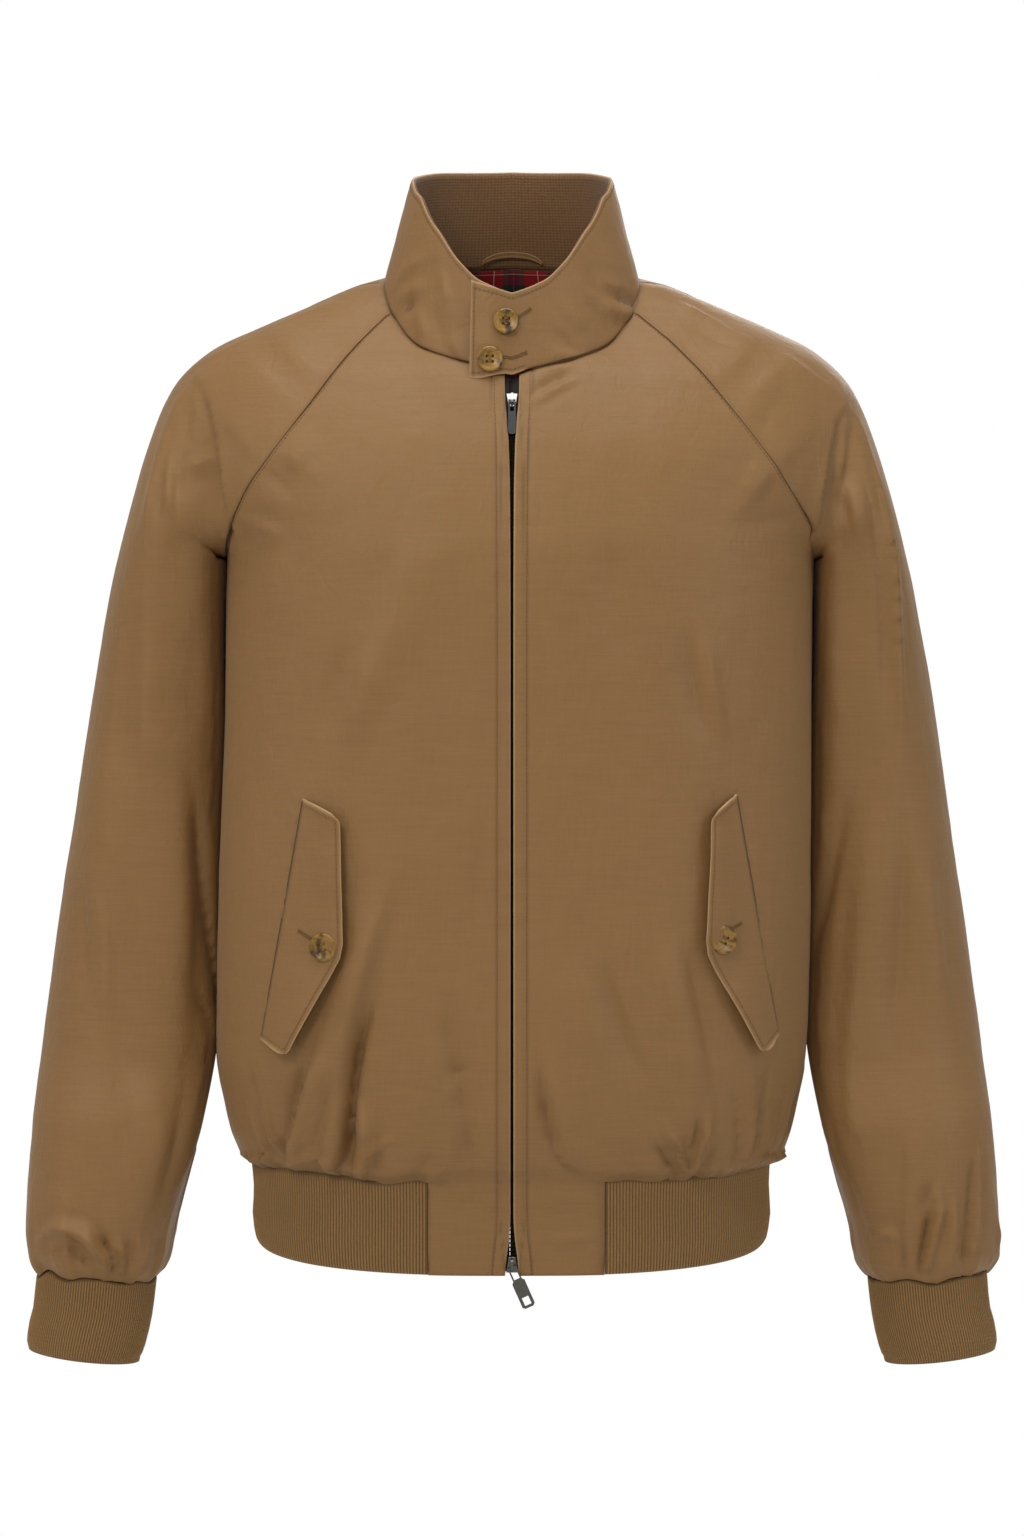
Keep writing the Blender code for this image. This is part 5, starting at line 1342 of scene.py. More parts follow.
def tartan(name):
    """Brushed cotton lining in a plain red tartan: broad green and navy bars and thin pale lines."""
    made, tree = new_material(name)
    split = add(tree, "ShaderNodeSeparateXYZ", {}, {"Vector": place_on(tree, "UV")})
    red, green, navy, white = (colour(c) for c in ("#9c1b22", "#1f3a2c", "#1b2138", "#d9cdb8"))
    stops = [(0.00, red), (0.22, green), (0.34, navy), (0.45, red), (0.48, navy), (0.60, green),
             (0.71, red), (0.90, white), (0.92, red)]
    bands = []
    for axis, offset in (("X", 0.020), ("Y", 0.006)):
        setts = calculated(tree, "DIVIDE", calculated(tree, "ADD", (split, axis), offset), TARTAN_SETT)
        bands.append(ramp(tree, calculated(tree, "FRACT", setts), stops, "CONSTANT"))
    # The twill's diagonal lines are about 0.7 mm apart.
    diagonal = calculated(tree, "ADD", (split, "X"), (split, "Y"))
    fine = calculated(tree, "PINGPONG", calculated(tree, "DIVIDE", diagonal, TWILL_PITCH), 1.0)
    crossing = ranged(tree, fine, {"To Min": 0.05, "To Max": 0.65})
    fuzz = noise_at(tree, place_on(tree), 900.0, 2.0)
    return finish_material(made, tree, blended(tree, crossing, *bands), 0.85,
                           bumped(tree, fuzz, 0.4, 0.0002), {"Specular IOR Level": 0.25, "Sheen Weight": 0.1})


def horn(name):
    """Polished horn-effect resin: golden brown with dark streaks, cast and turned."""
    made, tree = new_material(name)
    wide = noise_at(tree, place_on(tree), 95.0, 3.0, {"Distortion": 1.0})
    streaks = ramp(tree, wide, [
        (0.30, colour("#2b1a07")), (0.40, colour("#4d340e")), (0.50, colour("#7c5b17")),
        (0.60, colour("#94702a")), (0.74, colour("#4c3411"))])
    return finish_material(made, tree, streaks, 0.34, None, {"IOR": 1.50})


def metal(name, base, dark, roughness):
    """Plated die-cast zinc, tumbled smooth: small scratches, and darker and duller in scattered spots."""
    made, tree = new_material(name)
    marks = noise_at(tree, place_on(tree), 900.0, 4.0)
    rough = ranged(tree, marks, {"To Min": roughness - 0.06, "To Max": roughness + 0.10})
    shade = blended(tree, marks, colour(dark), colour(base))
    return finish_material(made, tree, shade, rough, bumped(tree, marks, 0.1, 0.0001), {"Metallic": 1.0})


def yarn(name, dark, light, scale, roughness=0.7):
    """Spun thread or woven tape: fine twist lines across it."""
    made, tree = new_material(name)
    twist = noise_at(tree, place_on(tree), scale, 2.0)
    base = blended(tree, twist, colour(dark), colour(light))
    relief = bumped(tree, twist, 0.4, 0.0002)
    return finish_material(made, tree, base, roughness, relief, {"Specular IOR Level": 0.3})


# The fourth colour is the painted shade of seams, the fifth the painted highlight of folded edges.
POPLIN = poplin("tan cotton poplin", "#7d5c34", "#87643a", "#8b683e", "#3f2c17", "#b8976c")
# The first colour is the painted shade between the ribs.
RIB = rib_knit("tan rib knit", "#553f22", "#8e6d44")
KNIT = fine_knit("tan fine knit", "#563c22", "#8a6540")
TARTAN = tartan("red tartan lining")
HORN = horn("horn resin")
NICKEL = metal("plated nickel", "#b9b8b4", "#8d8c89", 0.24)
DARK_NICKEL = metal("dark nickel plating", "#77756f", "#55534e", 0.30)
GUNMETAL = metal("gunmetal plating", "#55565a", "#3a3b3e", 0.34)
TEETH = metal("dark antique zip teeth", "#2b2622", "#161311", 0.50)
TAPE = yarn("dark zip tape", "#191512", "#2c2621", 1400.0, 0.9)
SEWING = yarn("tan sewing thread", "#5c4124", "#80613a", 2600.0)
BUTTON_THREAD = yarn("brown button thread", "#5e4324", "#8d6b40", 2600.0)


# ---- meshes ----
def linked(name, data):
    """An object in the scene that holds a mesh, a light or a camera."""
    made = bpy.data.objects.new(name, data)
    bpy.context.scene.collection.objects.link(made)
    return made


def as_it_stands(name, holder):
    """The plain mesh of an object with its modifiers worked in."""
    depsgraph = bpy.context.evaluated_depsgraph_get()
    made = bpy.data.meshes.new_from_object(holder.evaluated_get(depsgraph))
    made.name = name
    return made


def soften(piece, width, degrees):
    """Round the sharp edges of a piece."""
    edge = piece.modifiers.new("soft edge", "BEVEL")
    edge.width = width
    edge.segments = 2
    edge.limit_method = "ANGLE"
    edge.angle_limit = math.radians(degrees)


def mesh_object(name, points, faces, material, uv=None):
    """A piece from numbered points and quads, smooth shaded, with its one material."""
    used, renumbered = np.unique(faces, return_inverse=True)
    made = bpy.data.meshes.new(name)
    made.from_pydata(points[used].tolist(), [], renumbered.reshape(faces.shape).tolist())
    made.shade_smooth()
    made.materials.append(material)
    if uv is not None:
        layer = made.uv_layers.new(name="flat")
        layer.data.foreach_set("uv", uv[faces.reshape(-1)].astype(np.float32).reshape(-1))
    return linked(name, made)


def grid_object(name, grid, material, flip=False, loop=False, uv=None):
    """A piece from one grid of points."""
    rows, columns = grid.shape[:2]
    number = np.arange(rows * columns).reshape(rows, columns)
    if loop:
        number = np.concatenate([number, number[:, :1]], axis=1)
    quads = np.stack([number[:-1, :-1], number[:-1, 1:], number[1:, 1:], number[1:, :-1]], axis=-1)
    quads = quads.reshape(-1, 4)
    flat_uv = None if uv is None else uv.reshape(-1, 2)
    return mesh_object(name, grid.reshape(-1, 3), quads[:, ::-1] if flip else quads, material, flat_uv)


def thicken(piece, thickness, soft_edge=0.0):
    """A cloth wall inwards from the surface, with its cut edges softened."""
    wall = piece.modifiers.new("wall", "SOLIDIFY")
    wall.thickness = thickness
    wall.offset = -1.0
    if soft_edge:
        soften(piece, soft_edge, 50)


def finished(piece, replaces=(), body="jacket"):
    if replaces:
        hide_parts(*replaces)
    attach(piece, body)
    return piece


def set_attribute(piece, name, values):
    layer = piece.data.attributes.new(name, "FLOAT", "POINT")
    layer.data.foreach_set("value", np.asarray(values, dtype=np.float32))


# ---- Geometry Nodes: what repeats along a seam ----
def growth_tree(name, sockets):
    """An empty tree that grows things on a path, its named inputs, and the node that gives them."""
    tree = bpy.data.node_groups.new(name, "GeometryNodeTree")
    tree.is_modifier = True
    names = {}
    for label, kind in [("Path", "Geometry")] + sockets + [("Material", "Material")]:
        socket = tree.interface.new_socket(label, in_out="INPUT", socket_type="NodeSocket" + kind)
        names[label] = socket.identifier
    tree.interface.new_socket("Grown", in_out="OUTPUT", socket_type="NodeSocketGeometry")
    return tree, names, add(tree, "NodeGroupInput")


def finish_growth(tree, given, spots, shape, placing, shade_smooth=False):
    """Put a shape on each spot, turn the copies into one mesh and give it the material."""
    inputs = {"Points": spots, "Instance": shape}
    inputs.update(placing)
    placed = add(tree, "GeometryNodeInstanceOnPoints", {}, inputs)
    real = add(tree, "GeometryNodeRealizeInstances", {}, {"Geometry": (placed, "Instances")})
    if shade_smooth:
        real = add(tree, "GeometryNodeSetShadeSmooth", {}, {"Geometry": (real, "Geometry")})
    painted = add(tree, "GeometryNodeSetMaterial", {}, {
        "Geometry": (real, "Geometry"), "Material": (given, "Material")})
    add(tree, "NodeGroupOutput", {}, {0: (painted, "Geometry")})


def thread_tree():
    """One spindle of thread on each edge of a path, along that edge."""
    tree, names, given = growth_tree("sewn thread", [("Thread Radius", "Float"), ("Sides", "Int")])
    spots = add(tree, "GeometryNodeMeshToPoints", {"mode": "EDGES"}, {"Mesh": (given, "Path")})
    way = add(tree, "GeometryNodeInputNamedAttribute", {"data_type": "FLOAT_VECTOR"}, {"Name": "way"})
    turn = add(tree, "FunctionNodeAlignRotationToVector", {"axis": "Z"}, {"Vector": (way, "Attribute")})
    length = add(tree, "ShaderNodeVectorMath", {"operation": "LENGTH"}, {"Vector": (way, "Attribute")})
    half = calculated(tree, "MULTIPLY", (length, "Value"), 0.5)
    radius = (given, "Thread Radius")
    size = add(tree, "ShaderNodeCombineXYZ", {}, {"X": radius, "Y": radius, "Z": half})
    spindle = add(tree, "GeometryNodeMeshUVSphere", {}, {
        "Segments": (given, "Sides"), "Rings": 4, "Radius": 1.0})
    finish_growth(tree, given, (spots, "Points"), (spindle, "Mesh"), {
        "Rotation": (turn, "Rotation"), "Scale": (size, "Vector")}, True)
    return tree, names


def teeth_tree():
    """Zip teeth along a path, from alternate sides of it."""
    sockets = [("Pitch", "Float"), ("Reach", "Float"), ("Thickness", "Float")]
    tree, names, given = growth_tree("zip teeth", sockets)
    curve = add(tree, "GeometryNodeMeshToCurve", {}, {"Mesh": (given, "Path")})
    spots = add(tree, "GeometryNodeCurveToPoints", {"mode": "LENGTH"}, {
        "Curve": (curve, "Curve"), "Length": (given, "Pitch")})
    number = add(tree, "GeometryNodeInputIndex")
    parity = calculated(tree, "MODULO", (number, "Index"), 2.0)
    side = calculated(tree, "SUBTRACT", parity, 0.5)
    aside = calculated(tree, "MULTIPLY", side, (given, "Reach"))
    move = add(tree, "ShaderNodeCombineXYZ", {}, {"X": aside})
    moved = add(tree, "GeometryNodeSetPosition", {}, {
        "Geometry": (spots, "Points"), "Offset": (move, "Vector")})
    tall = calculated(tree, "MULTIPLY", (given, "Pitch"), 0.62)
    size = add(tree, "ShaderNodeCombineXYZ", {}, {
        "X": (given, "Reach"), "Y": (given, "Thickness"), "Z": tall})
    tooth = add(tree, "GeometryNodeMeshCube", {}, {"Size": (size, "Vector")})
    finish_growth(tree, given, (moved, "Geometry"), (tooth, "Mesh"), {})
    return tree, names


def grown(name, path_mesh, tree, names, settings):
    """A piece that a tree grows on a path."""
    holder = linked(name + "_path", path_mesh)
    growth = holder.modifiers.new("growth", "NODES")
    growth.node_group = tree
    for key, value in settings.items():
        growth[names[key]] = value
    made = as_it_stands(name, holder)
    bpy.data.objects.remove(holder)
    return linked(name, made)


def stitch_edges(line, pitch, gap=0.3):
    """Start and end points of the stitches along a line."""
    run = run_along(line)
    count = max(2, int(round(run[-1] / pitch)))
    starts = np.arange(count) * run[-1] / count
    ends = starts + run[-1] / count * (1 - gap)
    at = np.stack([starts, ends], axis=-1).reshape(-1)
    return at_distances(line, run, at).reshape(-1, 2, 3)


def sewn(name, segments, radius, material, sides=6):
    """A piece of thread: one spindle for each pair of points."""
    segments = np.concatenate(segments)
    path = bpy.data.meshes.new(name + "_path")
    count = len(segments)
    edges = np.arange(count * 2).reshape(-1, 2)
    path.from_pydata(segments.reshape(-1, 3).tolist(), edges.tolist(), [])
    way = path.attributes.new("way", "FLOAT_VECTOR", "EDGE")
    way.data.foreach_set("vector", (segments[:, 1] - segments[:, 0]).astype(np.float32).reshape(-1))
    tree, names = THREAD
    piece = grown(name, path, tree, names, {"Thread Radius": radius, "Sides": sides, "Material": material})
    return finished(piece)


# ---- the cloth shell ----
def work_folds(shell, folds, behind=False, **settings):
    """Work a table of folds into the cloth."""
    for width, height, start, end, path in folds:
        shell.crease(width, height, start, end, shell.on_surface(path, behind), **settings)


def scaled_front_folds():
    """The front's folds, narrower and taller than in their table."""
    for width, height, start, end, path in FRONT_FOLDS:
        on_sleeve = abs(path[len(path) // 2][0]) > 1000 * BODY_REACH
        tall = height * (SLEEVE_FOLD_STRENGTH if on_sleeve else FOLD_STRENGTH)
        yield width * FOLD_NARROWING, tall, start, end, path


def worked_shell():
    """All tan panels, with their seams, folds and gathers worked in."""
    panels = {"back_panel": ([back_grid()], False)}
    for side, word in SIDES:
        panels["front_panel_" + word] = (front_grid(side), side < 0)
        for behind, half in ((False, "front"), (True, "back")):
            panels["sleeve_%s_%s" % (word, half)] = ([sleeve_grid(side, behind)], (side < 0) != behind)
    shell = Shell(panels)
    work_folds(shell, scaled_front_folds())
    work_folds(shell, BACK_LAPS, True, lap=True)
    work_folds(shell, [(width, height * BACK_FOLD_STRENGTH, start, end, path)
                       for width, height, start, end, path in BACK_FOLDS], True)
    for fold in gathered_folds():
        shell.crease(*fold)
    for side in (1, -1):
        shell.seam(front_raglan(side), side)
        shell.seam(back_raglan(side), -side)
        shell.seam(body_point(side, 90.0, np.linspace(-0.600, -0.195, 60)), 1)
        under, over = (np.array([sleeve_ring(side, turn, z) for z in np.linspace(-0.680, -0.195, 60)])
                       for turn in (0.0, 180.0))
        shell.seam(under, side)
        shell.seam(np.concatenate([over, ridge(side)[::-6]]), -side)
    work_folds(shell, FRONT_LAPS, lap=True)
    tuck_neck_edge(shell)
    for side in (1, -1):
        high, low = np.array(FLAP_SEAM[side])
        welt = [1000 * (low + (high - low) * share) for share in np.linspace(-0.01, 1.01, 9)]
        shell.seam(shell.on_surface(welt), -side, GROOVE_DEPTH / 2)
    soft_waves(shell)
    full_sleeves(shell)
    front_edges(shell)
    keep_clear(shell)
    seam_waves(shell)
    return shell


NECK_TUCK = 0.0021
NECK_SINK = 0.0006
NECK_TUCK_REACH = 0.0045
NECK_SHADE_AWAY = 0.0013


def tuck_neck_edge(shell):
    """The neck edge is tucked inside the collar's foot, so no gap opens along the seam."""
    halves = [neck_point(1, np.linspace(0, 180, 90)), neck_point(-1, np.linspace(180, 0, 90))]
    index, distance, _ = shell.near(np.concatenate(halves), 0.008)
    inwards = shell.points[index] - np.array([0.0, NECK_CENTRE_Y, 0.0])
    inwards[:, 2] = 0
    tuck = 1 - smooth(np.abs(distance) / NECK_TUCK_REACH)
    shell.rise[index] *= 1 - tuck
    shell.shift[index] -= unit(inwards) * (NECK_TUCK * tuck)[:, None]
    shell.shift[index, 2] -= NECK_SINK * tuck
    # A line of painted shade beside the neck seam.
    shell.stitch(index, 0.6 * bell(np.abs(distance) - NECK_SHADE_AWAY, 0.0007))


# Gathers above the hem rib: count, turns from and to, lengths from and to, height and width, in
# degrees and millimetres; and above the cuffs.
RIB_GATHERS = (
    (54, 66, 294, 18, 70, 3.6, 6.0),
    (15, 105, 255, 60, 150, 3.8, 11.0),
    (10, 30, 62, 8, 30, 2.0, 5.0),
    (10, 298, 330, 8, 30, 2.0, 5.0),
)
CUFF_GATHERS = ((30, 0, 360, 10, 40, 2.4, 5.0), (8, 0, 360, 40, 90, 1.5, 8.0))
GATHER_START = 0.002
BODY_LEAN_REACH = 0.16
SLEEVE_LEAN_REACH = 0.05


def gathered_folds():
    """Gathers above the hem rib and above the cuffs."""
    rng = np.random.default_rng(5)
    steps = np.linspace(0, 1, 7)

    def body_foot(turn, tall, lean):
        side = 1 if turn < 180 else -1
        own = turn if turn < 180 else 360 - turn
        level = float(rib_seam(side, own)[2]) + GATHER_START
        turns = own + side * np.degrees(lean * steps / BODY_LEAN_REACH)
        return body_point(side, turns, level + tall * steps)

    found = []
    for count, *others in RIB_GATHERS:
        found += gathers(rng, count, body_foot, *others)
    for side in (1, -1):

        def sleeve_foot(turn, tall, lean, side=side):
            levels = SLEEVE.rows[0, 0] + GATHER_START + tall * steps
            turns = turn + np.degrees(lean * steps / SLEEVE_LEAN_REACH)
            return np.array([sleeve_ring(side, turn, z) for turn, z in zip(turns, levels)])

        for count, *others in CUFF_GATHERS:
            found += gathers(rng, count, sleeve_foot, *others)
    return found


# The cloth's own unevenness: height, the length of a wave along each axis, and how strong it is on
# plain cloth and, further, beside gathers.
WAVES = (
    (0.0016, (0.060, 0.060, 0.150), 1.0, 0.0),
    (0.0008, (0.022, 0.022, 0.050), 0.7, 1.0),
    (0.00025, (0.009, 0.009, 0.016), 0.8, 1.0),
)


RIB_GATHERS_AT = -0.60
CUFF_GATHERS_AT = -0.68
GATHERS_FADE = 0.05


def soft_waves(shell):
    """The cloth's own slight unevenness, longer down the cloth than across it, and more at the gathers."""
    spots = shell.points
    out = np.abs(spots[:, 0])
    near_rib = np.exp(-np.abs(spots[:, 2] - RIB_GATHERS_AT) / GATHERS_FADE) * (out < BODY_REACH)
    near_cuff = np.exp(-np.abs(spots[:, 2] - CUFF_GATHERS_AT) / GATHERS_FADE) * (out > BODY_REACH)
    for seed, (height, lengths, plain, gathered) in enumerate(WAVES, 1):
        strength = plain + gathered * (near_rib + near_cuff)
        shell.rise += height * wander(spots, lengths, seed) * strength


# Levels between which the sleeves are filled out, how far out that starts, and by how much.
FULL_FROM = -0.130
FULL_TO = -0.66
FULL_BEYOND = 0.19
FULL_BEYOND_ABOVE_ARMPIT = 0.202
FULL_OUT = 0.0120
FULL_RISE = 0.0015


def full_sleeves(shell):
    """The sleeves hang full at the front, close up against the body."""
    outer_side = np.sign(shell.points[:, 0])
    inwards = -shell.normals[:, 0] * outer_side
    frontal = -shell.normals[:, 1]
    level = shell.points[:, 2]
    outwards = np.abs(shell.points[:, 0])
    here = (outwards > FULL_BEYOND) & (level < FULL_FROM)
    fade = smooth((level - FULL_TO) / 0.08) * smooth((FULL_FROM - level) / 0.050)
    clear_of_body = smooth((outwards - FULL_BEYOND_ABOVE_ARMPIT) / 0.010)
    fade *= np.where(level > ARMPIT_LEVEL, clear_of_body, 1.0)
    corner = smooth((inwards - 0.02) / 0.50) * smooth((frontal - 0.05) / 0.60)
    full = np.where(here, corner * fade, 0.0)
    shell.shift[:, 0] -= FULL_OUT * full * outer_side
    shell.rise += FULL_RISE * full


# The front edges: depths of the folded edge and of the needle's line, and heights of the puckers and
# of the turned-in cloth between them.
EDGE_FOLD = 0.0011
EDGE_FOLD_REACH = 0.0016
EDGE_NEEDLE = 0.0005
EDGE_PUCKER = 0.0005
EDGE_PAD = 0.0003
# How far the painted highlight along the folded front edge reaches.
EDGE_HIGHLIGHT_REACH = 0.0012


def front_edges(shell):
    """The front edges: folded under, puckered along the topstitching."""
    for side in (1, -1):
        grid, strip = front_grid(side)
        edge = np.concatenate([strip[:-1, 0], grid[:, 0]])
        index, distance, _ = shell.near(edge, 0.02)
        away = np.abs(distance)
        pucker = wander(shell.points[index], (0.05, 0.05, 0.011), 8 + side)
        fold = -EDGE_FOLD * np.clip(1 - away / EDGE_FOLD_REACH, 0, 1) ** 2
        needle = bell(away - ZIP_STITCH_AWAY, 0.0006)
        shell.rise[index] *= 0.25 + 0.75 * smooth((away - 0.008) / 0.012)
        shell.rise[index] += fold - EDGE_NEEDLE * needle
        shell.rise[index] += EDGE_PUCKER * pucker * smooth((0.014 - away) / 0.006)
        shell.rise[index] += EDGE_PAD * smooth((ZIP_STITCH_AWAY - away) / 0.002)
        # Painted shade along the needle's line, and a painted highlight on the folded edge.
        shell.stitch(index, 0.38 * needle)
        shell.edge[index] = np.maximum(shell.edge[index], np.clip(1 - away / EDGE_HIGHLIGHT_REACH, 0, 1))


# Limits of the creases: on the sides that face each other, at the gathered seams, on the shoulders
# and close to the neck.
SIDE_TOP = -0.185
SIDE_FOOT = -0.60
SIDE_FACING = 0.72
SIDE_RISE = 0.0002
SEAM_DEEPEST = -0.0010
SEAM_HIGHEST = 0.0006
SHOULDER_FOOT = -0.150
SHOULDER_OUT = 0.13
SHOULDER_CALM = 0.6
NECK_FOOT = -0.11
NECK_REACH = 0.12
NECK_CALM = 0.3


def keep_clear(shell):
    """Where the body's sides and the sleeves' insides lie close, and at the seams, the cloth stays flat."""
    inwards = np.abs(shell.points[:, 0]) < BODY_REACH
    outwards = shell.normals[:, 0] * np.sign(shell.points[:, 0])
    level = shell.points[:, 2]
    low = (level < SIDE_TOP) & (level > SIDE_FOOT)
    facing = low & np.where(inwards, np.abs(outwards) > SIDE_FACING, outwards < -SIDE_FACING)
    shell.rise[facing] = np.minimum(shell.rise[facing], SIDE_RISE)
    above = np.where(inwards, level - rib_seam_level(shell.points[:, 1]), level - SLEEVE.rows[0, 0])
    at_seam = above > -0.004
    deepest = SEAM_DEEPEST - 0.55 * np.maximum(above[at_seam], 0.0)
    shell.rise[at_seam] = np.clip(shell.rise[at_seam], deepest, SEAM_HIGHEST - 0.9 * deepest)
    # The shoulder line hangs smooth, without creases in its outline.
    shoulder = smooth((level - SHOULDER_FOOT) / 0.040)
    shoulder *= smooth((np.abs(shell.points[:, 0]) - SHOULDER_OUT) / 0.03)
    shell.rise *= 1 - SHOULDER_CALM * shoulder
    at_neck = np.hypot(shell.points[:, 0], shell.points[:, 1]) < NECK_REACH
    tight = at_neck & (level > NECK_FOOT)
    calm = np.clip((level - NECK_FOOT) / 0.03, 0, 1)
    shell.rise[tight] *= 1 - NECK_CALM * calm[tight]


def seam_waves(shell):
    """The gathered seams run unevenly round the hem rib and the cuffs."""
    spots = shell.points
    above_rib = spots[:, 2] - rib_seam_level(spots[:, 1])
    near_rib = (np.abs(spots[:, 0]) < BODY_REACH) & (above_rib < 0.03) & (above_rib > -0.001)
    fade = 1 - smooth(above_rib / 0.028)
    shell.shift[:, 2] += np.where(near_rib, rib_seam_wave(spots) * fade, 0.0)
    above_cuff = spots[:, 2] - SLEEVE.rows[0, 0]
    fade = 1 - smooth(above_cuff / 0.03)
    for side in (1, -1):
        here = (spots[:, 0] * side > BODY_REACH) & (above_cuff < 0.03)
        shell.shift[:, 2] += np.where(here, cuff_seam_wave(spots, side) * fade, 0.0)


shell = worked_shell()
settled = shell.settled()
for name, quads in shell.faces().items():
    piece = mesh_object(name + "_cloth", settled, quads, POPLIN)
    # The panels carry their painted seam shade and their painted edge highlight.
    set_attribute(piece, "stitched", shell.stitched[np.unique(quads)])
    set_attribute(piece, "edge", shell.edge[np.unique(quads)])
    thicken(piece, PANEL_WALL)
    finished(piece, (name,))


def worked_grids(name):
    """A panel's grids of points after it is creased."""
    start = 0
    for other, (grids, _) in shell.panels.items():
        found = []
        for grid in grids:
            count = grid.shape[0] * grid.shape[1]
            found.append(settled[shell.owner[start:start + count]].reshape(grid.shape))
            start += count
        if other == name:
            return found
    return None


# ---- hem rib and cuffs ----
RIB_STEPS = 2401
CUFF_STEPS = 816
RIB_PITCH_STEPS = 6
RIB_HEIGHT = 0.0006
RIB_ROLL = 0.0012
RIB_LOOSE = 0.0007
RIB_EDGE = 0.05
# Shares of the band's height: a foot tucked under the cloth, the seam, and down to the free edge.
rib_shares = np.concatenate([[-0.07, 0.0, 0.04], np.linspace(0.14, 0.86, 5), [0.95, 0.98, 1.0]])[::-1]


def rib_line(share):
    """A line round the hem rib, from the wearer's left front round the back to the right front."""
    halves = []
    for side in (1, -1):
        level = RIB_SECTION + (HEM_SIDE - RIB_SEAM_SIDE) * share
        start = body_turn(side, PLACKET[side] + SEAM_GAP, level)
        line = body_point(side, np.linspace(start, 180.0, DENSE), level)
        top = rib_seam_level(line[:, 1])
        line[:, 2] = top + (hem_level(line[:, 1]) - top) * share
        halves.append(line)
    return resample(np.concatenate([halves[0], halves[1][-2::-1]]), np.linspace(0, 1, RIB_STEPS))


def ribbed(lines, closed):
    """Raise ribs on a stack of lines that run along a knitted band, and give each point its painted shade:
    light on a rib's crest, dark in its valleys, at the tucked foot and at an open band's ends.
    """
    if closed:
        way = np.roll(lines, -1, axis=1) - np.roll(lines, 1, axis=1)
    else:
        way = np.gradient(lines, axis=1)
    out = unit(np.stack([way[..., 1], -way[..., 0], np.zeros(way.shape[:2])], axis=-1))
    step = np.arange(lines.shape[1])
    wave = 0.5 + 0.5 * np.cos(2 * math.pi * step / RIB_PITCH_STEPS)
    crest = np.broadcast_to(wave ** 0.8, lines.shape[:2])
    rows = rib_shares[::-1]
    edge = (smooth(rows / RIB_EDGE) * smooth((1 - rows) / RIB_EDGE))[:, None]
    rolled = -RIB_ROLL * (1 - smooth((1 - rows) / 0.035)) + 0.030 * np.minimum(rows, 0.0)
    loose = wander(lines.reshape(-1, 3), (0.035, 0.035, 0.030), 4).reshape(lines.shape[:2])
    ribs = RIB_HEIGHT * (crest - 0.6) * (0.4 + 0.6 * edge)
    rise = ribs + rolled[:, None] + RIB_LOOSE * loose * edge
    # Painted shade: the foot under the cloth and the ends of an open band take the valleys' dark colour.
    shade = crest * smooth((rows + 0.005) / 0.02)[:, None]
    if not closed:
        ends = np.minimum(step, len(step) - 1 - step)
        shade = shade * smooth(ends / 4.0)
    return lines + out * rise[..., None], shade


rib_lines = np.array([rib_line(share) for share in rib_shares])
rib_lines[..., 2] += rib_seam_wave(rib_lines) * (1 - rib_shares)[:, None] ** 2
# The crest attribute carries the hem rib's painted shade.
rib_points, rib_painted_shade = ribbed(rib_lines[::-1], False)
hem = grid_object("hem_rib_knit", rib_points[::-1], RIB)
set_attribute(hem, "crest", rib_painted_shade[::-1].reshape(-1))
thicken(hem, RIB_WALL)
finished(hem, ("hem_rib",))

for side, word in SIDES:
    levels = CUFF.rows[0, 0] + (CUFF.rows[-1, 0] - CUFF.rows[0, 0]) * rib_shares[::-1]
    turns = np.linspace(0, 360, CUFF_STEPS, endpoint=False)
    lines = np.array([cuff_ring(side, turns, z) for z in levels])
    lines[..., 2] += cuff_seam_wave(lines, side) * rib_shares[::-1][:, None] ** 2
    if side < 0:
        lines = lines[:, ::-1]
    # The crest attribute carries the cuff's painted shade.
    ribs, crest = ribbed(lines[::-1], True)
    cuff = grid_object("cuff_%s_knit" % word, ribs[::-1], RIB, loop=True)
    set_attribute(cuff, "crest", crest[::-1].reshape(-1))
    thicken(cuff, RIB_WALL)
    finished(cuff, ("cuff_" + word,))

# ---- collar ----
collar_turns = np.concatenate([np.linspace(COLLAR_TAB_END, -12, 9), np.linspace(-11, 60, 60),
                               np.linspace(62, 298, 104), np.linspace(299.5, COLLAR_UNDER_END, 40)])
collar_shares = np.concatenate([[0.0, 0.012, 0.03, 0.055, 0.085], np.linspace(0.12, 0.90, 18),
                                [0.93, 0.955, 0.975, 0.99, 1.0]])


def tab_drop(turn):
    """The tab covers the neck seam, and its free end hangs a little below it."""
    cover = TAB_COVER * float(smooth((TAB_TURN - turn) / TAB_TURN))
    return cover + TAB_HANG * float(smooth(turn / COLLAR_TAB_END))


def collar_grid():
    rows = []
    for share in collar_shares:
        row = []
        for turn in collar_turns:
            point = collar_point(turn, share)
            point[1] -= tab_lift(turn) + tab_drop(turn) * TAB_SLANT * (1 - share)
            point[2] -= tab_drop(turn) * (1 - share)
            row.append(point)
        rows.append(row)
    return np.array(rows)


collar_shell = Shell({"collar_outer": ([collar_grid()], False)})
work_folds(collar_shell, [(width, height * COLLAR_FOLD_STRENGTH, start, end, path)
                          for width, height, start, end, path in COLLAR_FOLDS])
for seed, height, lengths in ((6, 0.0006, (0.030, 0.030, 0.022)), (7, 0.0002, (0.010, 0.010, 0.010))):
    collar_shell.rise += height * wander(collar_shell.points, lengths, seed)
collar_rows = np.broadcast_to(collar_shares[:, None], (len(collar_shares), len(collar_turns)))
collar_order = np.zeros(len(collar_shell.points), dtype=int)
collar_order[collar_shell.owner] = np.arange(len(collar_shell.owner))
share_of = collar_rows.reshape(-1)[collar_order]
turn_of = np.broadcast_to(collar_turns, collar_rows.shape).reshape(-1)[collar_order]
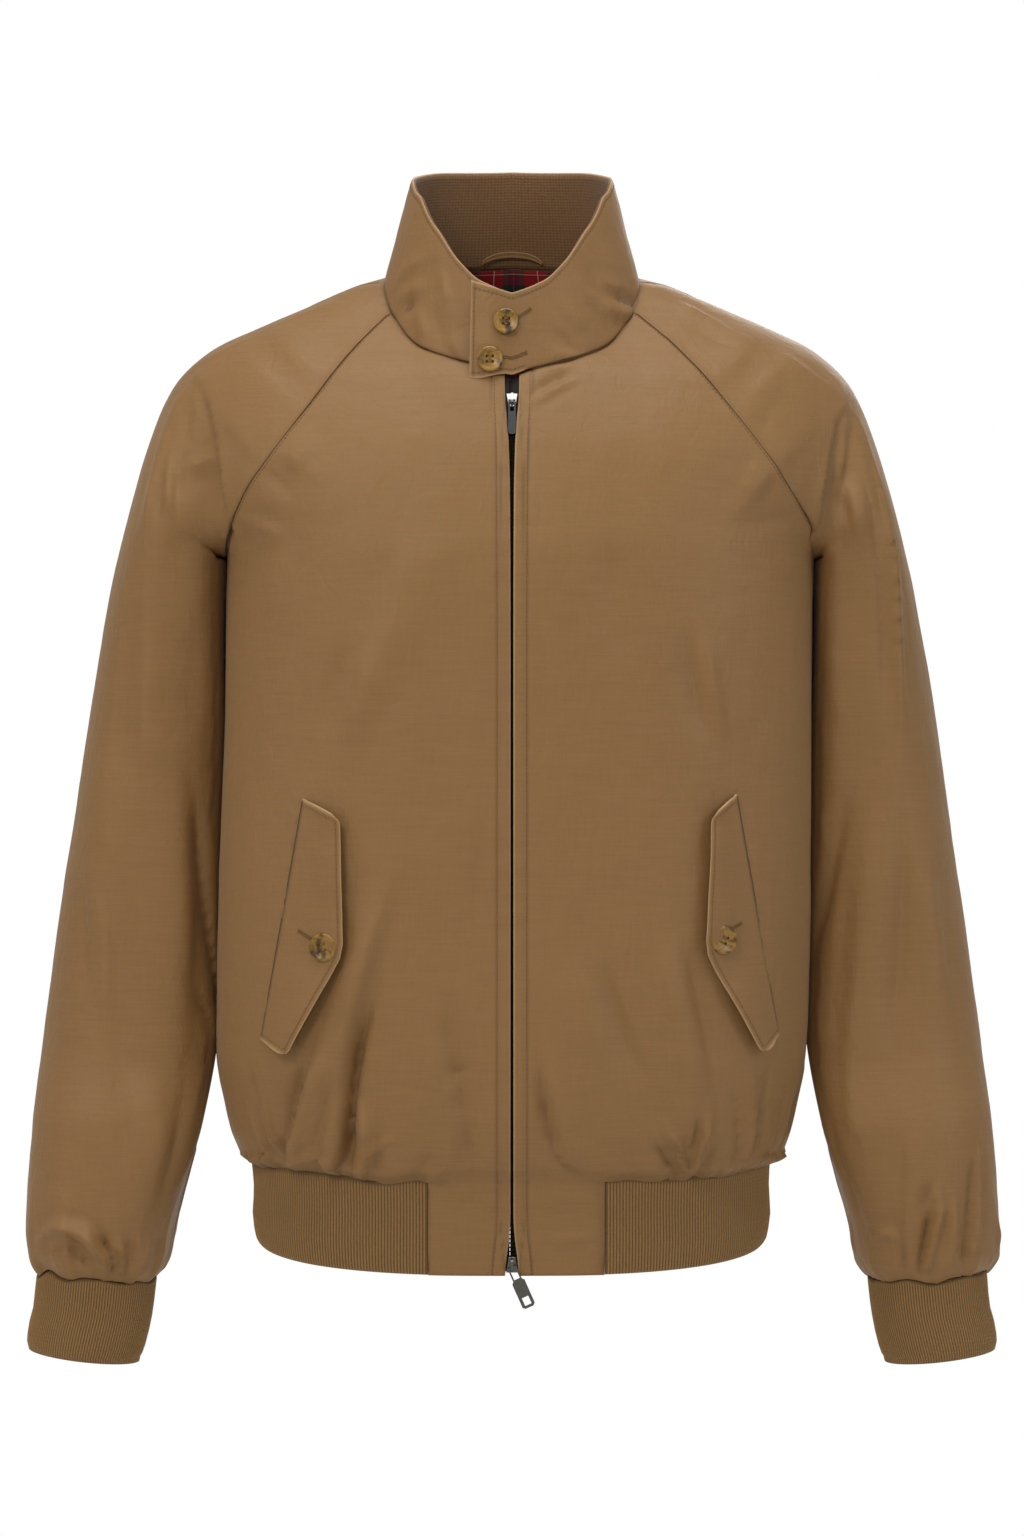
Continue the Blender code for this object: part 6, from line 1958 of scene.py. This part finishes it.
# The tab's foot hangs free; the rest of the foot is sewn down, and the top edge is turned in.
free = smooth((8.0 - turn_of) / 6.0)
collar_shell.rise -= 0.0004 * (1 - smooth(share_of / 0.03)) * (1 - free)
collar_shell.rise -= 0.0006 * (1 - smooth((1 - share_of) / 0.02))
collar_shell.rise -= 0.00025 * bell(share_of - 0.955, 0.012)
collar_settled = collar_shell.settled()
collar = mesh_object("collar_outer_cloth", collar_settled, collar_shell.faces()["collar_outer"], POPLIN)
below_edge = (1 - share_of) * collar_height_at(turn_of)
from_end = np.radians(turn_of - COLLAR_TAB_END) * TAB_REACH
above_foot = share_of * TAB_HEIGHT
# Painted shade along the collar's lines of sewing and at its sewn foot.
needle = bell(below_edge - COLLAR_STITCH_AWAY, 0.0008) + bell(from_end - 0.0024, 0.0007)
needle += bell(above_foot - 0.0033, 0.0008) * free
seam_shade = 0.5 * bell(above_foot, GROOVE_WIDTH) * (1 - free)
set_attribute(collar, "stitched", np.clip(0.30 * needle + seam_shade, 0, 1))
# A painted highlight along the collar's folded edges.
near_edge = np.minimum(below_edge, from_end + 0.0003)
near_edge = np.where(free > 0.5, np.minimum(near_edge, above_foot), near_edge)
set_attribute(collar, "edge", np.clip(1 - near_edge / COLLAR_HIGHLIGHT_REACH, 0, 1))
thicken(collar, COLLAR_WALL)
finished(collar, ("collar_outer",))
collar_surface = collar_settled[collar_shell.owner].reshape(len(collar_shares), len(collar_turns), 3)


def on_collar(turns, shares):
    """Points of the finished collar at given turns and shares of its height."""
    column = np.interp(turns, collar_turns, np.arange(len(collar_turns)))
    row = np.interp(shares, collar_shares, np.arange(len(collar_shares)))
    return on_grid(collar_surface, row, column)


def on_grid(grid, row, column):
    """Points of a grid at fractional rows and columns."""
    row, column = np.broadcast_arrays(np.asarray(row, dtype=float), np.asarray(column, dtype=float))
    r = np.clip(row.astype(int), 0, grid.shape[0] - 2)
    c = np.clip(column.astype(int), 0, grid.shape[1] - 2)
    fr = (row - r)[..., None]
    fc = (column - c)[..., None]
    low = grid[r, c] * (1 - fc) + grid[r, c + 1] * fc
    high = grid[r + 1, c] * (1 - fc) + grid[r + 1, c + 1] * fc
    return low * (1 - fr) + high * fr


def flat_uv(grid):
    """Distances along and up a grid, in metres."""
    across = np.linalg.norm(np.diff(grid, axis=1), axis=-1).mean(axis=0)
    up = np.linalg.norm(np.diff(grid, axis=0), axis=-1).mean(axis=1)
    u = np.concatenate([[0.0], np.cumsum(across)])
    v = np.concatenate([[0.0], np.cumsum(up)])
    return np.stack(np.meshgrid(u - u[-1] / 2, v), axis=-1)


# The facing's foot reaches below the neck seam, further at the front; its top stays under the edge.
FACING_TOP = 0.985
facing_inset = OUTER_LAYER + 2 * LAYER_GAP
inner_turns = np.linspace(9, 345, 160)
inner_foot = -0.012 - 0.075 * smooth((62 - np.minimum(inner_turns, 360 - inner_turns)) / 22)
inner = np.array([[collar_point(turn, foot + (FACING_TOP - foot) * share, facing_inset)
                   for turn, foot in zip(inner_turns, inner_foot)] for share in np.linspace(0, 1, 21)])
facing = grid_object("collar_inner_knit", inner, KNIT, uv=flat_uv(inner))
thicken(facing, FACING_WALL)
finished(facing, ("collar_inner",))

loop_rows = []
for edge in np.linspace(0.0, 1.0, 7):
    row = []
    for share in np.linspace(-1, 1, 61):
        arch = LOOP_ARCH * (1 - abs(share) ** 3)
        high = LOOP_FOOT + arch + LOOP_STRIP * edge * (1 - 0.35 * abs(share) ** 3)
        bow = OUTER_LAYER + FACING_LAYER + 4 * LAYER_GAP + LOOP_BOW - 0.0003 * math.sin(math.pi * edge)
        row.append(collar_point(180.0 - LOOP_TURN * share, high / COLLAR.rows[-1, 1], bow))
    loop_rows.append(row)
loop_grid = np.array(loop_rows)[:, ::-1]
loop = grid_object("hanger_loop_cloth", loop_grid, POPLIN)
thicken(loop, LOOP_WALL)
finished(loop, ("hanger_loop",))

LINING_ROWS = 40
LINING_MARGIN = 18
lining_grid = back_grid()[-LINING_ROWS:, LINING_MARGIN:-LINING_MARGIN]
outward = lining_grid - np.array([0.0, NECK_CENTRE_Y, 0.0])
outward[..., 2] = LINING_RISE
lining_grid = lining_grid - unit(outward) * (OUTER_LAYER + 3 * LAYER_GAP)
lining_grid[-1, :, 2] -= LINING_TUCK
lining = grid_object("back_lining_cloth", lining_grid, TARTAN, uv=flat_uv(lining_grid))
thicken(lining, LINING_WALL)
finished(lining, ("back_lining",))


# ---- pocket flaps ----
def rounded(share, length, radius):
    """The length to cut off the free end of a row, which rounds the corners."""
    near = np.minimum(share, 1 - share) * length
    inside = np.clip(1 - near / radius, 0, 1)
    return radius * (1 - np.sqrt(1 - inside ** 2))


FLAP_LENGTH = 0.165
FLAP_CORNER = 0.0045
FLAP_ROWS = 71
FLAP_CURL = 0.0040
FLAP_WAVES = ((0.0009, 7.0), (0.0005, 19.0))
FLAP_HIGHLIGHT_REACH = 0.0011
# The button holds the flap down here, as a share of its length, and by this much.
FLAP_HELD_AT = 0.60
FLAP_HELD_BY = 0.0034
FLAP_STITCH_AWAY = 0.0036
FLAP_STITCH_END = 0.0038
flap_across = np.concatenate([[0.0, 0.012, 0.03, 0.06], np.linspace(0.10, 0.86, 22),
                              [0.88, 0.90, 0.92, 0.94, 0.96, 0.98, 1.0]])


def flap_grid(side):
    """The flap's points, and its outline's corners rounded."""
    shares = np.linspace(0, 1, FLAP_ROWS)
    seam = resample(np.array([(x, 0.0, z) for x, z in FLAP_SEAM[side]]), shares)
    corner = np.array([(x, 0.0, z) for x, z in FLAP_EDGE[side]])
    eased = [corner[0]] + [corner[1] + (corner[k] - corner[1]) * 0.06 for k in (0, 2)] + [corner[2]]
    free = resample(np.array(eased), shares)
    rng = np.random.default_rng(40 + side)
    phase = rng.uniform(0, 6, 4)
    rows = []
    for share, near, far in zip(shares, seam, free):
        width = np.linalg.norm(far - near)
        cut = rounded(share, FLAP_LENGTH, FLAP_CORNER)
        row = []
        for part in flap_across:
            flat = near + (far - near) * part * (1 - cut / width)
            wave = sum(tall * math.sin(count * share + start)
                       for (tall, count), start in zip(FLAP_WAVES, phase))
            held = FLAP_HELD_BY * bell(share - FLAP_HELD_AT, 0.10)
            curl = float(smooth(part)) * (FLAP_LIFT + FLAP_CURL + wave - held)
            lift = (FLAP_THICKNESS + LAYER_GAP) * (0.35 + 0.65 * float(smooth(part / 0.10))) + curl
            roll = -0.0004 * max(0.0, 1 - (1 - part) * width / 0.0012)
            row.append(np.array([flat[0], body_front(flat[0], flat[2]), flat[2]])
                       + body_outward(flat[0], flat[2]) * (lift + roll))
        rows.append(row)
    return np.array(rows)[::-1]


flap_surface = {}
for side, word in SIDES:
    grid = flap_grid(side)
    flap_surface[side] = grid
    flap = grid_object("pocket_flap_%s_cloth" % word, grid, POPLIN, flip=side > 0)
    up, over = np.meshgrid(np.linspace(0, 1, grid.shape[0]), flap_across, indexing="ij")
    width = np.linalg.norm(grid[:, -1] - grid[:, 0], axis=-1)[:, None]
    free_edge = np.minimum((1 - over) * width, np.minimum(up, 1 - up) * FLAP_LENGTH)
    # Painted shade along the needle's line and along the sewn side, where the flap meets the body, and a
    # painted highlight on the free edges.
    line = bell(free_edge - FLAP_STITCH_AWAY, 0.0007)
    sewn_side_shade = bell(over * width, 0.0017)
    set_attribute(flap, "stitched", np.clip(np.maximum(0.28 * line, sewn_side_shade), 0, 1).reshape(-1))
    set_attribute(flap, "edge", np.clip(1 - free_edge / FLAP_HIGHLIGHT_REACH, 0, 1).reshape(-1))
    thicken(flap, FLAP_WALL, FLAP_SOFT_EDGE)
    finished(flap, ("pocket_flap_" + word,))

# ---- zip ----
zip_levels = np.linspace(HEM_FRONT + TAPE_BACK, NECK.rows[0, 1] - TAPE_BACK, 200)
left_grid, left_strip = front_grid(1)
edge_line = np.concatenate([left_strip[:-1, 0], left_grid[:, 0]])


def edge_depth(level):
    return np.interp(level, edge_line[:, 2], edge_line[:, 1])


# A tape's section: how far out and how far back it lies, stepping back behind the teeth.
TAPE_SECTION = ((0.0018, 0.0015), (0.0026, 0.0006), (0.0045, 0.0001), (0.0075, 0.0002), (0.0105, 0.0003),
                (CHAIN_HALF_WIDTH + TAPE_WIDTH, 0.0004))
# The two tapes overlap behind the teeth.
TAPE_INNER_EDGE = {1: (-0.0012, 0.0016), -1: (0.0016, 0.0016)}
zip_depth = edge_depth(zip_levels) + OUTER_LAYER + LAYER_GAP * 2
for side, word in SIDES:
    columns = [points(side * out, zip_depth + behind, zip_levels)
               for out, behind in (TAPE_INNER_EDGE[side],) + TAPE_SECTION]
    tape = grid_object("zip_tape_%s_woven" % word, np.stack(columns, axis=1), TAPE, flip=side < 0)
    thicken(tape, TAPE_WALL)
    finished(tape, ("zip_tape_" + word,))

THREAD = thread_tree()
TEETH_CLEAR = 0.0008
TEETH_BACK = 0.0019
TOOTH_PITCH = 0.00145
TOOTH_REACH = 0.0024
TOOTH_THICKNESS = 0.0013
low = LOWER_SLIDER_LEVEL + SLIDER_LENGTH / 2 + TEETH_CLEAR
high = UPPER_SLIDER_LEVEL - SLIDER_LENGTH / 2 - TEETH_CLEAR
teeth_levels = np.linspace(low, high, 120)
teeth_path = bpy.data.meshes.new("teeth_path")
teeth_path.from_pydata(points(0.0, edge_depth(teeth_levels) + TEETH_BACK, teeth_levels).tolist(),
                       [(k, k + 1) for k in range(len(teeth_levels) - 1)], [])
tree, names = teeth_tree()
teeth = grown("zip_teeth_row", teeth_path, tree, names, {
    "Pitch": TOOTH_PITCH, "Reach": TOOTH_REACH, "Thickness": TOOTH_THICKNESS, "Material": TEETH})
finished(teeth, ("zip_chain",))

for name, metal_kind in (("slider_upper", NICKEL), ("slider_lower", DARK_NICKEL),
                         ("pull_upper", GUNMETAL), ("pull_lower", DARK_NICKEL)):
    node = bpy.data.objects[name]
    for index in range(len(node.material_slots)):
        node.material_slots[index].material = metal_kind


# ---- buttons ----
BUTTON_STEPS = 56
BUTTON_HOLE = 0.115
BUTTON_SOFT_EDGE = 0.00018


def button_mesh(name, radius, place, facing):
    """A four-hole button: a turned profile with a raised rim and a dished middle."""
    made = bpy.data.meshes.new(name)
    knots = [(out * radius, 0.0, up * BUTTON_THICKNESS) for out, up in BUTTON.rows]
    made.from_pydata(knots, [(k, k + 1) for k in range(len(knots) - 1)], [])
    blank = linked(name, made)
    rounder = blank.modifiers.new("turned", "SCREW")
    rounder.steps = BUTTON_STEPS
    rounder.render_steps = BUTTON_STEPS
    rounder.use_merge_vertices = True
    rounder.merge_threshold = WELD
    rounder.use_smooth_shade = True
    cutter_mesh = bmesh.new()
    spread_out = radius * BUTTON_HOLE_SPREAD
    for sx in (-1, 1):
        for sy in (-1, 1):
            move = Matrix.Translation((sx * spread_out, sy * spread_out, BUTTON_THICKNESS / 2))
            bmesh.ops.create_cone(cutter_mesh, cap_ends=True, segments=18, radius1=radius * BUTTON_HOLE,
                                  radius2=radius * BUTTON_HOLE, depth=BUTTON_THICKNESS * 2, matrix=move)
    holes = bpy.data.meshes.new(name + "_holes")
    cutter_mesh.to_mesh(holes)
    cutter_mesh.free()
    cutter = linked(name + "_holes", holes)
    cut = blank.modifiers.new("holes", "BOOLEAN")
    cut.object = cutter
    soften(blank, BUTTON_SOFT_EDGE, 45)
    turned = as_it_stands(name, blank)
    for old in (blank, cutter):
        bpy.data.objects.remove(old)
    spin = Vector((0, 0, 1)).rotation_difference(Vector(facing)).to_matrix().to_4x4()
    seat = Matrix.Translation(place) @ spin
    turned.transform(seat)
    turned.materials.clear()
    turned.materials.append(HORN)
    return linked(name, turned), seat


def button_thread(frame_of, radius):
    """Pairs of thread strands through the holes, as short segments over the button's middle."""
    away = radius * BUTTON_HOLE_SPREAD
    face = BUTTON_THICKNESS * 0.66
    # A strand comes up out of one hole, lies on the face and goes down the next.
    course = ((-away, face - 0.0006), (-away * 0.7, face + 0.0003), (away * 0.7, face + 0.0003),
              (away, face - 0.0006))
    strands = []
    for sy in (-1, 1):
        for offset in (-0.00035, 0.0, 0.00035):
            world = [np.array(frame_of @ Vector((across, sy * away + offset, up))) for across, up in course]
            strands += [(a, b) for a, b in zip(world[:-1], world[1:])]
    return np.array(strands)


BUTTON_THREAD_RADIUS = 0.00022
BUTTONHOLE_THREAD_RADIUS = 0.00024
TOPSTITCH_RADIUS = 0.00026
strands = []
collar_height = float(COLLAR.read("height", 0.0))
for word, (x, z, lift) in COLLAR_BUTTONS.items():
    share = (z - NECK.rows[0, 1]) / collar_height
    turn = -math.degrees(math.asin(-x / NECK_HALF_WIDTH))
    seat = collar_point(turn, share)
    place = (x, seat[1] - tab_lift(turn) - lift, z)
    button, at = button_mesh("collar_button_%s_horn" % word, BUTTON_RADIUS, place, (0.0, -1.0, 0.10))
    finished(button, ("collar_button_" + word,))
    strands.append(button_thread(at, BUTTON_RADIUS))
for word, (x, z) in POCKET_BUTTONS.items():
    out = body_outward(x, z)
    place = np.array([x, body_front(x, z), z]) + out * POCKET_BUTTON_LIFT
    button, at = button_mesh("pocket_button_%s_horn" % word, POCKET_BUTTON_RADIUS, place, out)
    finished(button, ("pocket_button_" + word,))
    strands.append(button_thread(at, POCKET_BUTTON_RADIUS))
sewn("button_thread", strands, BUTTON_THREAD_RADIUS, BUTTON_THREAD)

# ---- stitches and buttonholes ----
STITCH = 0.0030
PROUD = 0.00012
TAB_STITCH_TURN = COLLAR_TAB_END + 1.6
TAB_STITCH_SHARE = 0.06
lines = []
for side, word in SIDES:
    grid, strip = worked_grids("front_panel_" + word)
    down_front = np.concatenate([strip[:-1, ZIP_STITCH_COLUMN], grid[:, ZIP_STITCH_COLUMN]])
    lines.append(down_front + np.array([0.0, -PROUD, 0.0]))
    seam_side = grid[len(SIDE_LEVELS) + 1:, -1 - SEAM_STITCH_COLUMN]
    lines.append(seam_side + np.array([side * PROUD, -PROUD, 0.0]))
back_worked = worked_grids("back_panel")[0]
for column in (SEAM_STITCH_COLUMN, -1 - SEAM_STITCH_COLUMN):
    lines.append(back_worked[len(SIDE_LEVELS) + 1:, column] + np.array([0.0, PROUD, 0.0]))
turns = np.linspace(TAB_STITCH_TURN, 340, 400)
top_line = on_collar(turns, 1 - COLLAR_STITCH_AWAY / collar_height_at(turns))
outwards = top_line - np.array([0.0, NECK_CENTRE_Y, 0.0])
outwards[:, 2] = 0
lines.append(top_line + unit(outwards) * PROUD)
tab_end = on_collar(np.full(40, TAB_STITCH_TURN), np.linspace(TAB_STITCH_SHARE, 1 - TAB_STITCH_SHARE, 40))
tab_foot = on_collar(np.linspace(TAB_STITCH_TURN, 6, 60), np.full(60, TAB_STITCH_SHARE))
lines += [tab_end + np.array([0, -PROUD, 0]), tab_foot + np.array([0, -PROUD, 0])]
for side, grid in flap_surface.items():
    last = grid.shape[0] - 1
    width = np.linalg.norm(grid[:, -1] - grid[:, 0], axis=1)
    margin = FLAP_STITCH_END / FLAP_LENGTH * last
    rows = np.linspace(margin, last - margin, 80)
    inside_edge = 1 - FLAP_STITCH_AWAY / np.interp(rows, np.arange(last + 1), width)
    column_of = np.interp(inside_edge, flap_across, np.arange(len(flap_across)))
    lift = body_outward(grid[last // 2, 0, 0], grid[last // 2, 0, 2]) * PROUD
    lines.append(on_grid(grid, rows, column_of) + lift)
    for row, column_end in ((rows[0], column_of[0]), (rows[-1], column_of[-1])):
        lines.append(on_grid(grid, np.full(30, row), np.linspace(2.0, column_end, 30)) + lift)
stitches = [stitch_edges(line, STITCH) for line in lines]
sewn("topstitching", stitches, TOPSTITCH_RADIUS, SEWING)


BAR_PITCH = 0.00045
BAR_FROM = 0.00015
BAR_TO = 0.0013
BAR_UP = 0.0003
END_BARS = np.linspace(-0.0012, 0.0012, 5)
END_BAR_HALF = 0.0005


def buttonhole(slit, out):
    """A buttonhole: close bars of thread down both sides of its slit, and across its ends."""
    out = unit(out)
    spots = resample(slit, np.linspace(0, 1, int(run_along(slit)[-1] / BAR_PITCH)))
    along = unit(slit[-1] - slit[0])
    beside = np.cross(out, along)
    bars = []
    for spot in spots:
        for way in (-1, 1):
            bars.append((spot + beside * way * BAR_FROM + out * BAR_UP,
                         spot + beside * way * BAR_TO + out * (BAR_UP - 0.0001)))
    for end in (spots[0], spots[-1]):
        for step in END_BARS:
            middle = end + beside * step + out * BAR_UP
            bars.append((middle - along * END_BAR_HALF, middle + along * END_BAR_HALF))
    return np.array(bars)


holes = []
shares = np.linspace(0, 1, 14)
for start, end in BUTTONHOLES.values():
    x = start[0] + (end[0] - start[0]) * shares
    z = start[1] + (end[1] - start[1]) * shares
    slit = on_collar(np.degrees(np.arcsin(x / NECK_HALF_WIDTH)), (z - NECK.rows[0, 1]) / collar_height)
    holes.append(buttonhole(slit, np.array([0.05, -1.0, 0.1])))
for word, (start, end) in POCKET_BUTTONHOLES.items():
    surface = flap_surface[1 if word == "left" else -1].reshape(-1, 3)
    slit = []
    for share in shares:
        x, z = (start[k] + (end[k] - start[k]) * share for k in (0, 1))
        away = np.hypot(surface[:, 0] - x, surface[:, 2] - z)
        pick = np.argsort(away)[:4]
        weight = 1 / (away[pick] + 0.0002)
        slit.append((x, np.sum(surface[pick, 1] * weight) / weight.sum(), z))
    holes.append(buttonhole(np.array(slit), body_outward(start[0], start[1])))
sewn("buttonholes", holes, BUTTONHOLE_THREAD_RADIUS, BUTTON_THREAD, sides=5)

# ---- floor, lights and camera ----
FLOOR = -0.90
FLOOR_REACHES = (0.001, 3.0, 9.0)
MIDDLE = (0, 0, -0.35)
SHOULDERS = (0, 0, -0.2)


def studio_white():
    """A floor of matt white paper with its own light, which reads as an even white and adds no glare."""
    made, tree = new_material("white paper floor")
    rays = add(tree, "ShaderNodeLightPath")
    paper = add(tree, "ShaderNodeBsdfPrincipled", {}, {"Base Color": colour("#e6e6e4"), "Roughness": 0.9})
    glow = add(tree, "ShaderNodeEmission", {}, {"Color": colour("#ffffff"), "Strength": 1.0})
    shown = add(tree, "ShaderNodeMixShader", {}, {
        0: (rays, "Is Camera Ray"), 1: (paper, "BSDF"), 2: (glow, "Emission")})
    add(tree, "ShaderNodeOutputMaterial", {}, {"Surface": (shown, "Shader")})
    return made


floor_turns = np.radians(np.linspace(0, 360, 96, endpoint=False))
floor_grid = np.array([points(reach * np.cos(floor_turns), reach * np.sin(floor_turns), FLOOR)
                       for reach in FLOOR_REACHES])
floor = grid_object("studio_floor", floor_grid, studio_white(), loop=True)


def soft_light(name, place, target, size, power, tint):
    lamp = bpy.data.lights.new(name, "AREA")
    lamp.shape = "RECTANGLE"
    lamp.size, lamp.size_y = size
    lamp.energy = power
    lamp.color = colour(tint)[:3]
    holder = linked(name, lamp)
    holder.location = place
    holder.rotation_euler = (Vector(target) - Vector(place)).to_track_quat("-Z", "Y").to_euler()


soft_light("key_left", (-1.3, -2.6, 1.5), MIDDLE, (0.9, 1.1), 32.5, "#fff8ef")
soft_light("fill_right", (2.3, -2.0, 0.7), MIDDLE, (1.0, 1.4), 18.0, "#fbfcff")
soft_light("top", (0.0, -0.5, 2.0), SHOULDERS, (1.4, 1.0), 30.0, "#fffdf9")
soft_light("back", (0.9, 3.0, 1.3), MIDDLE, (1.6, 1.6), 36.0, "#fffdf9")
soft_light("key_side", (-2.8, -1.3, 0.9), MIDDLE, (0.8, 1.2), 12.0, "#fff8ef")

world = bpy.data.worlds.new("studio")
world.use_nodes = True
background = world.node_tree.nodes["Background"]
background.inputs["Color"].default_value = colour("#ffffff")
# The white surroundings show in full to the camera and light the cloth with a part of that.
SURROUNDING_LIGHT = 0.36
seen = add(world.node_tree, "ShaderNodeLightPath")
strength = add(world.node_tree, "ShaderNodeMapRange", {}, {
    "Value": (seen, "Is Camera Ray"), "To Min": SURROUNDING_LIGHT, "To Max": 1.0})
world.node_tree.links.new(strength.outputs["Result"], background.inputs["Strength"])
bpy.context.scene.world = world
bpy.context.scene.view_settings.view_transform = "Standard"
bpy.context.scene.view_settings.look = "None"

SENSOR_HEIGHT = 36.0
FOCAL_LENGTH = 107.14
CAMERA_PLACE = (0.0, -3.2, -0.3346)
lens = bpy.data.cameras.new("camera")
lens.sensor_fit = "VERTICAL"
lens.sensor_height = SENSOR_HEIGHT
lens.lens = FOCAL_LENGTH
lens.dof.use_dof = False
camera = linked("camera", lens)
camera.location = CAMERA_PLACE
camera.rotation_euler = (math.radians(90), 0, 0)
bpy.context.scene.camera = camera
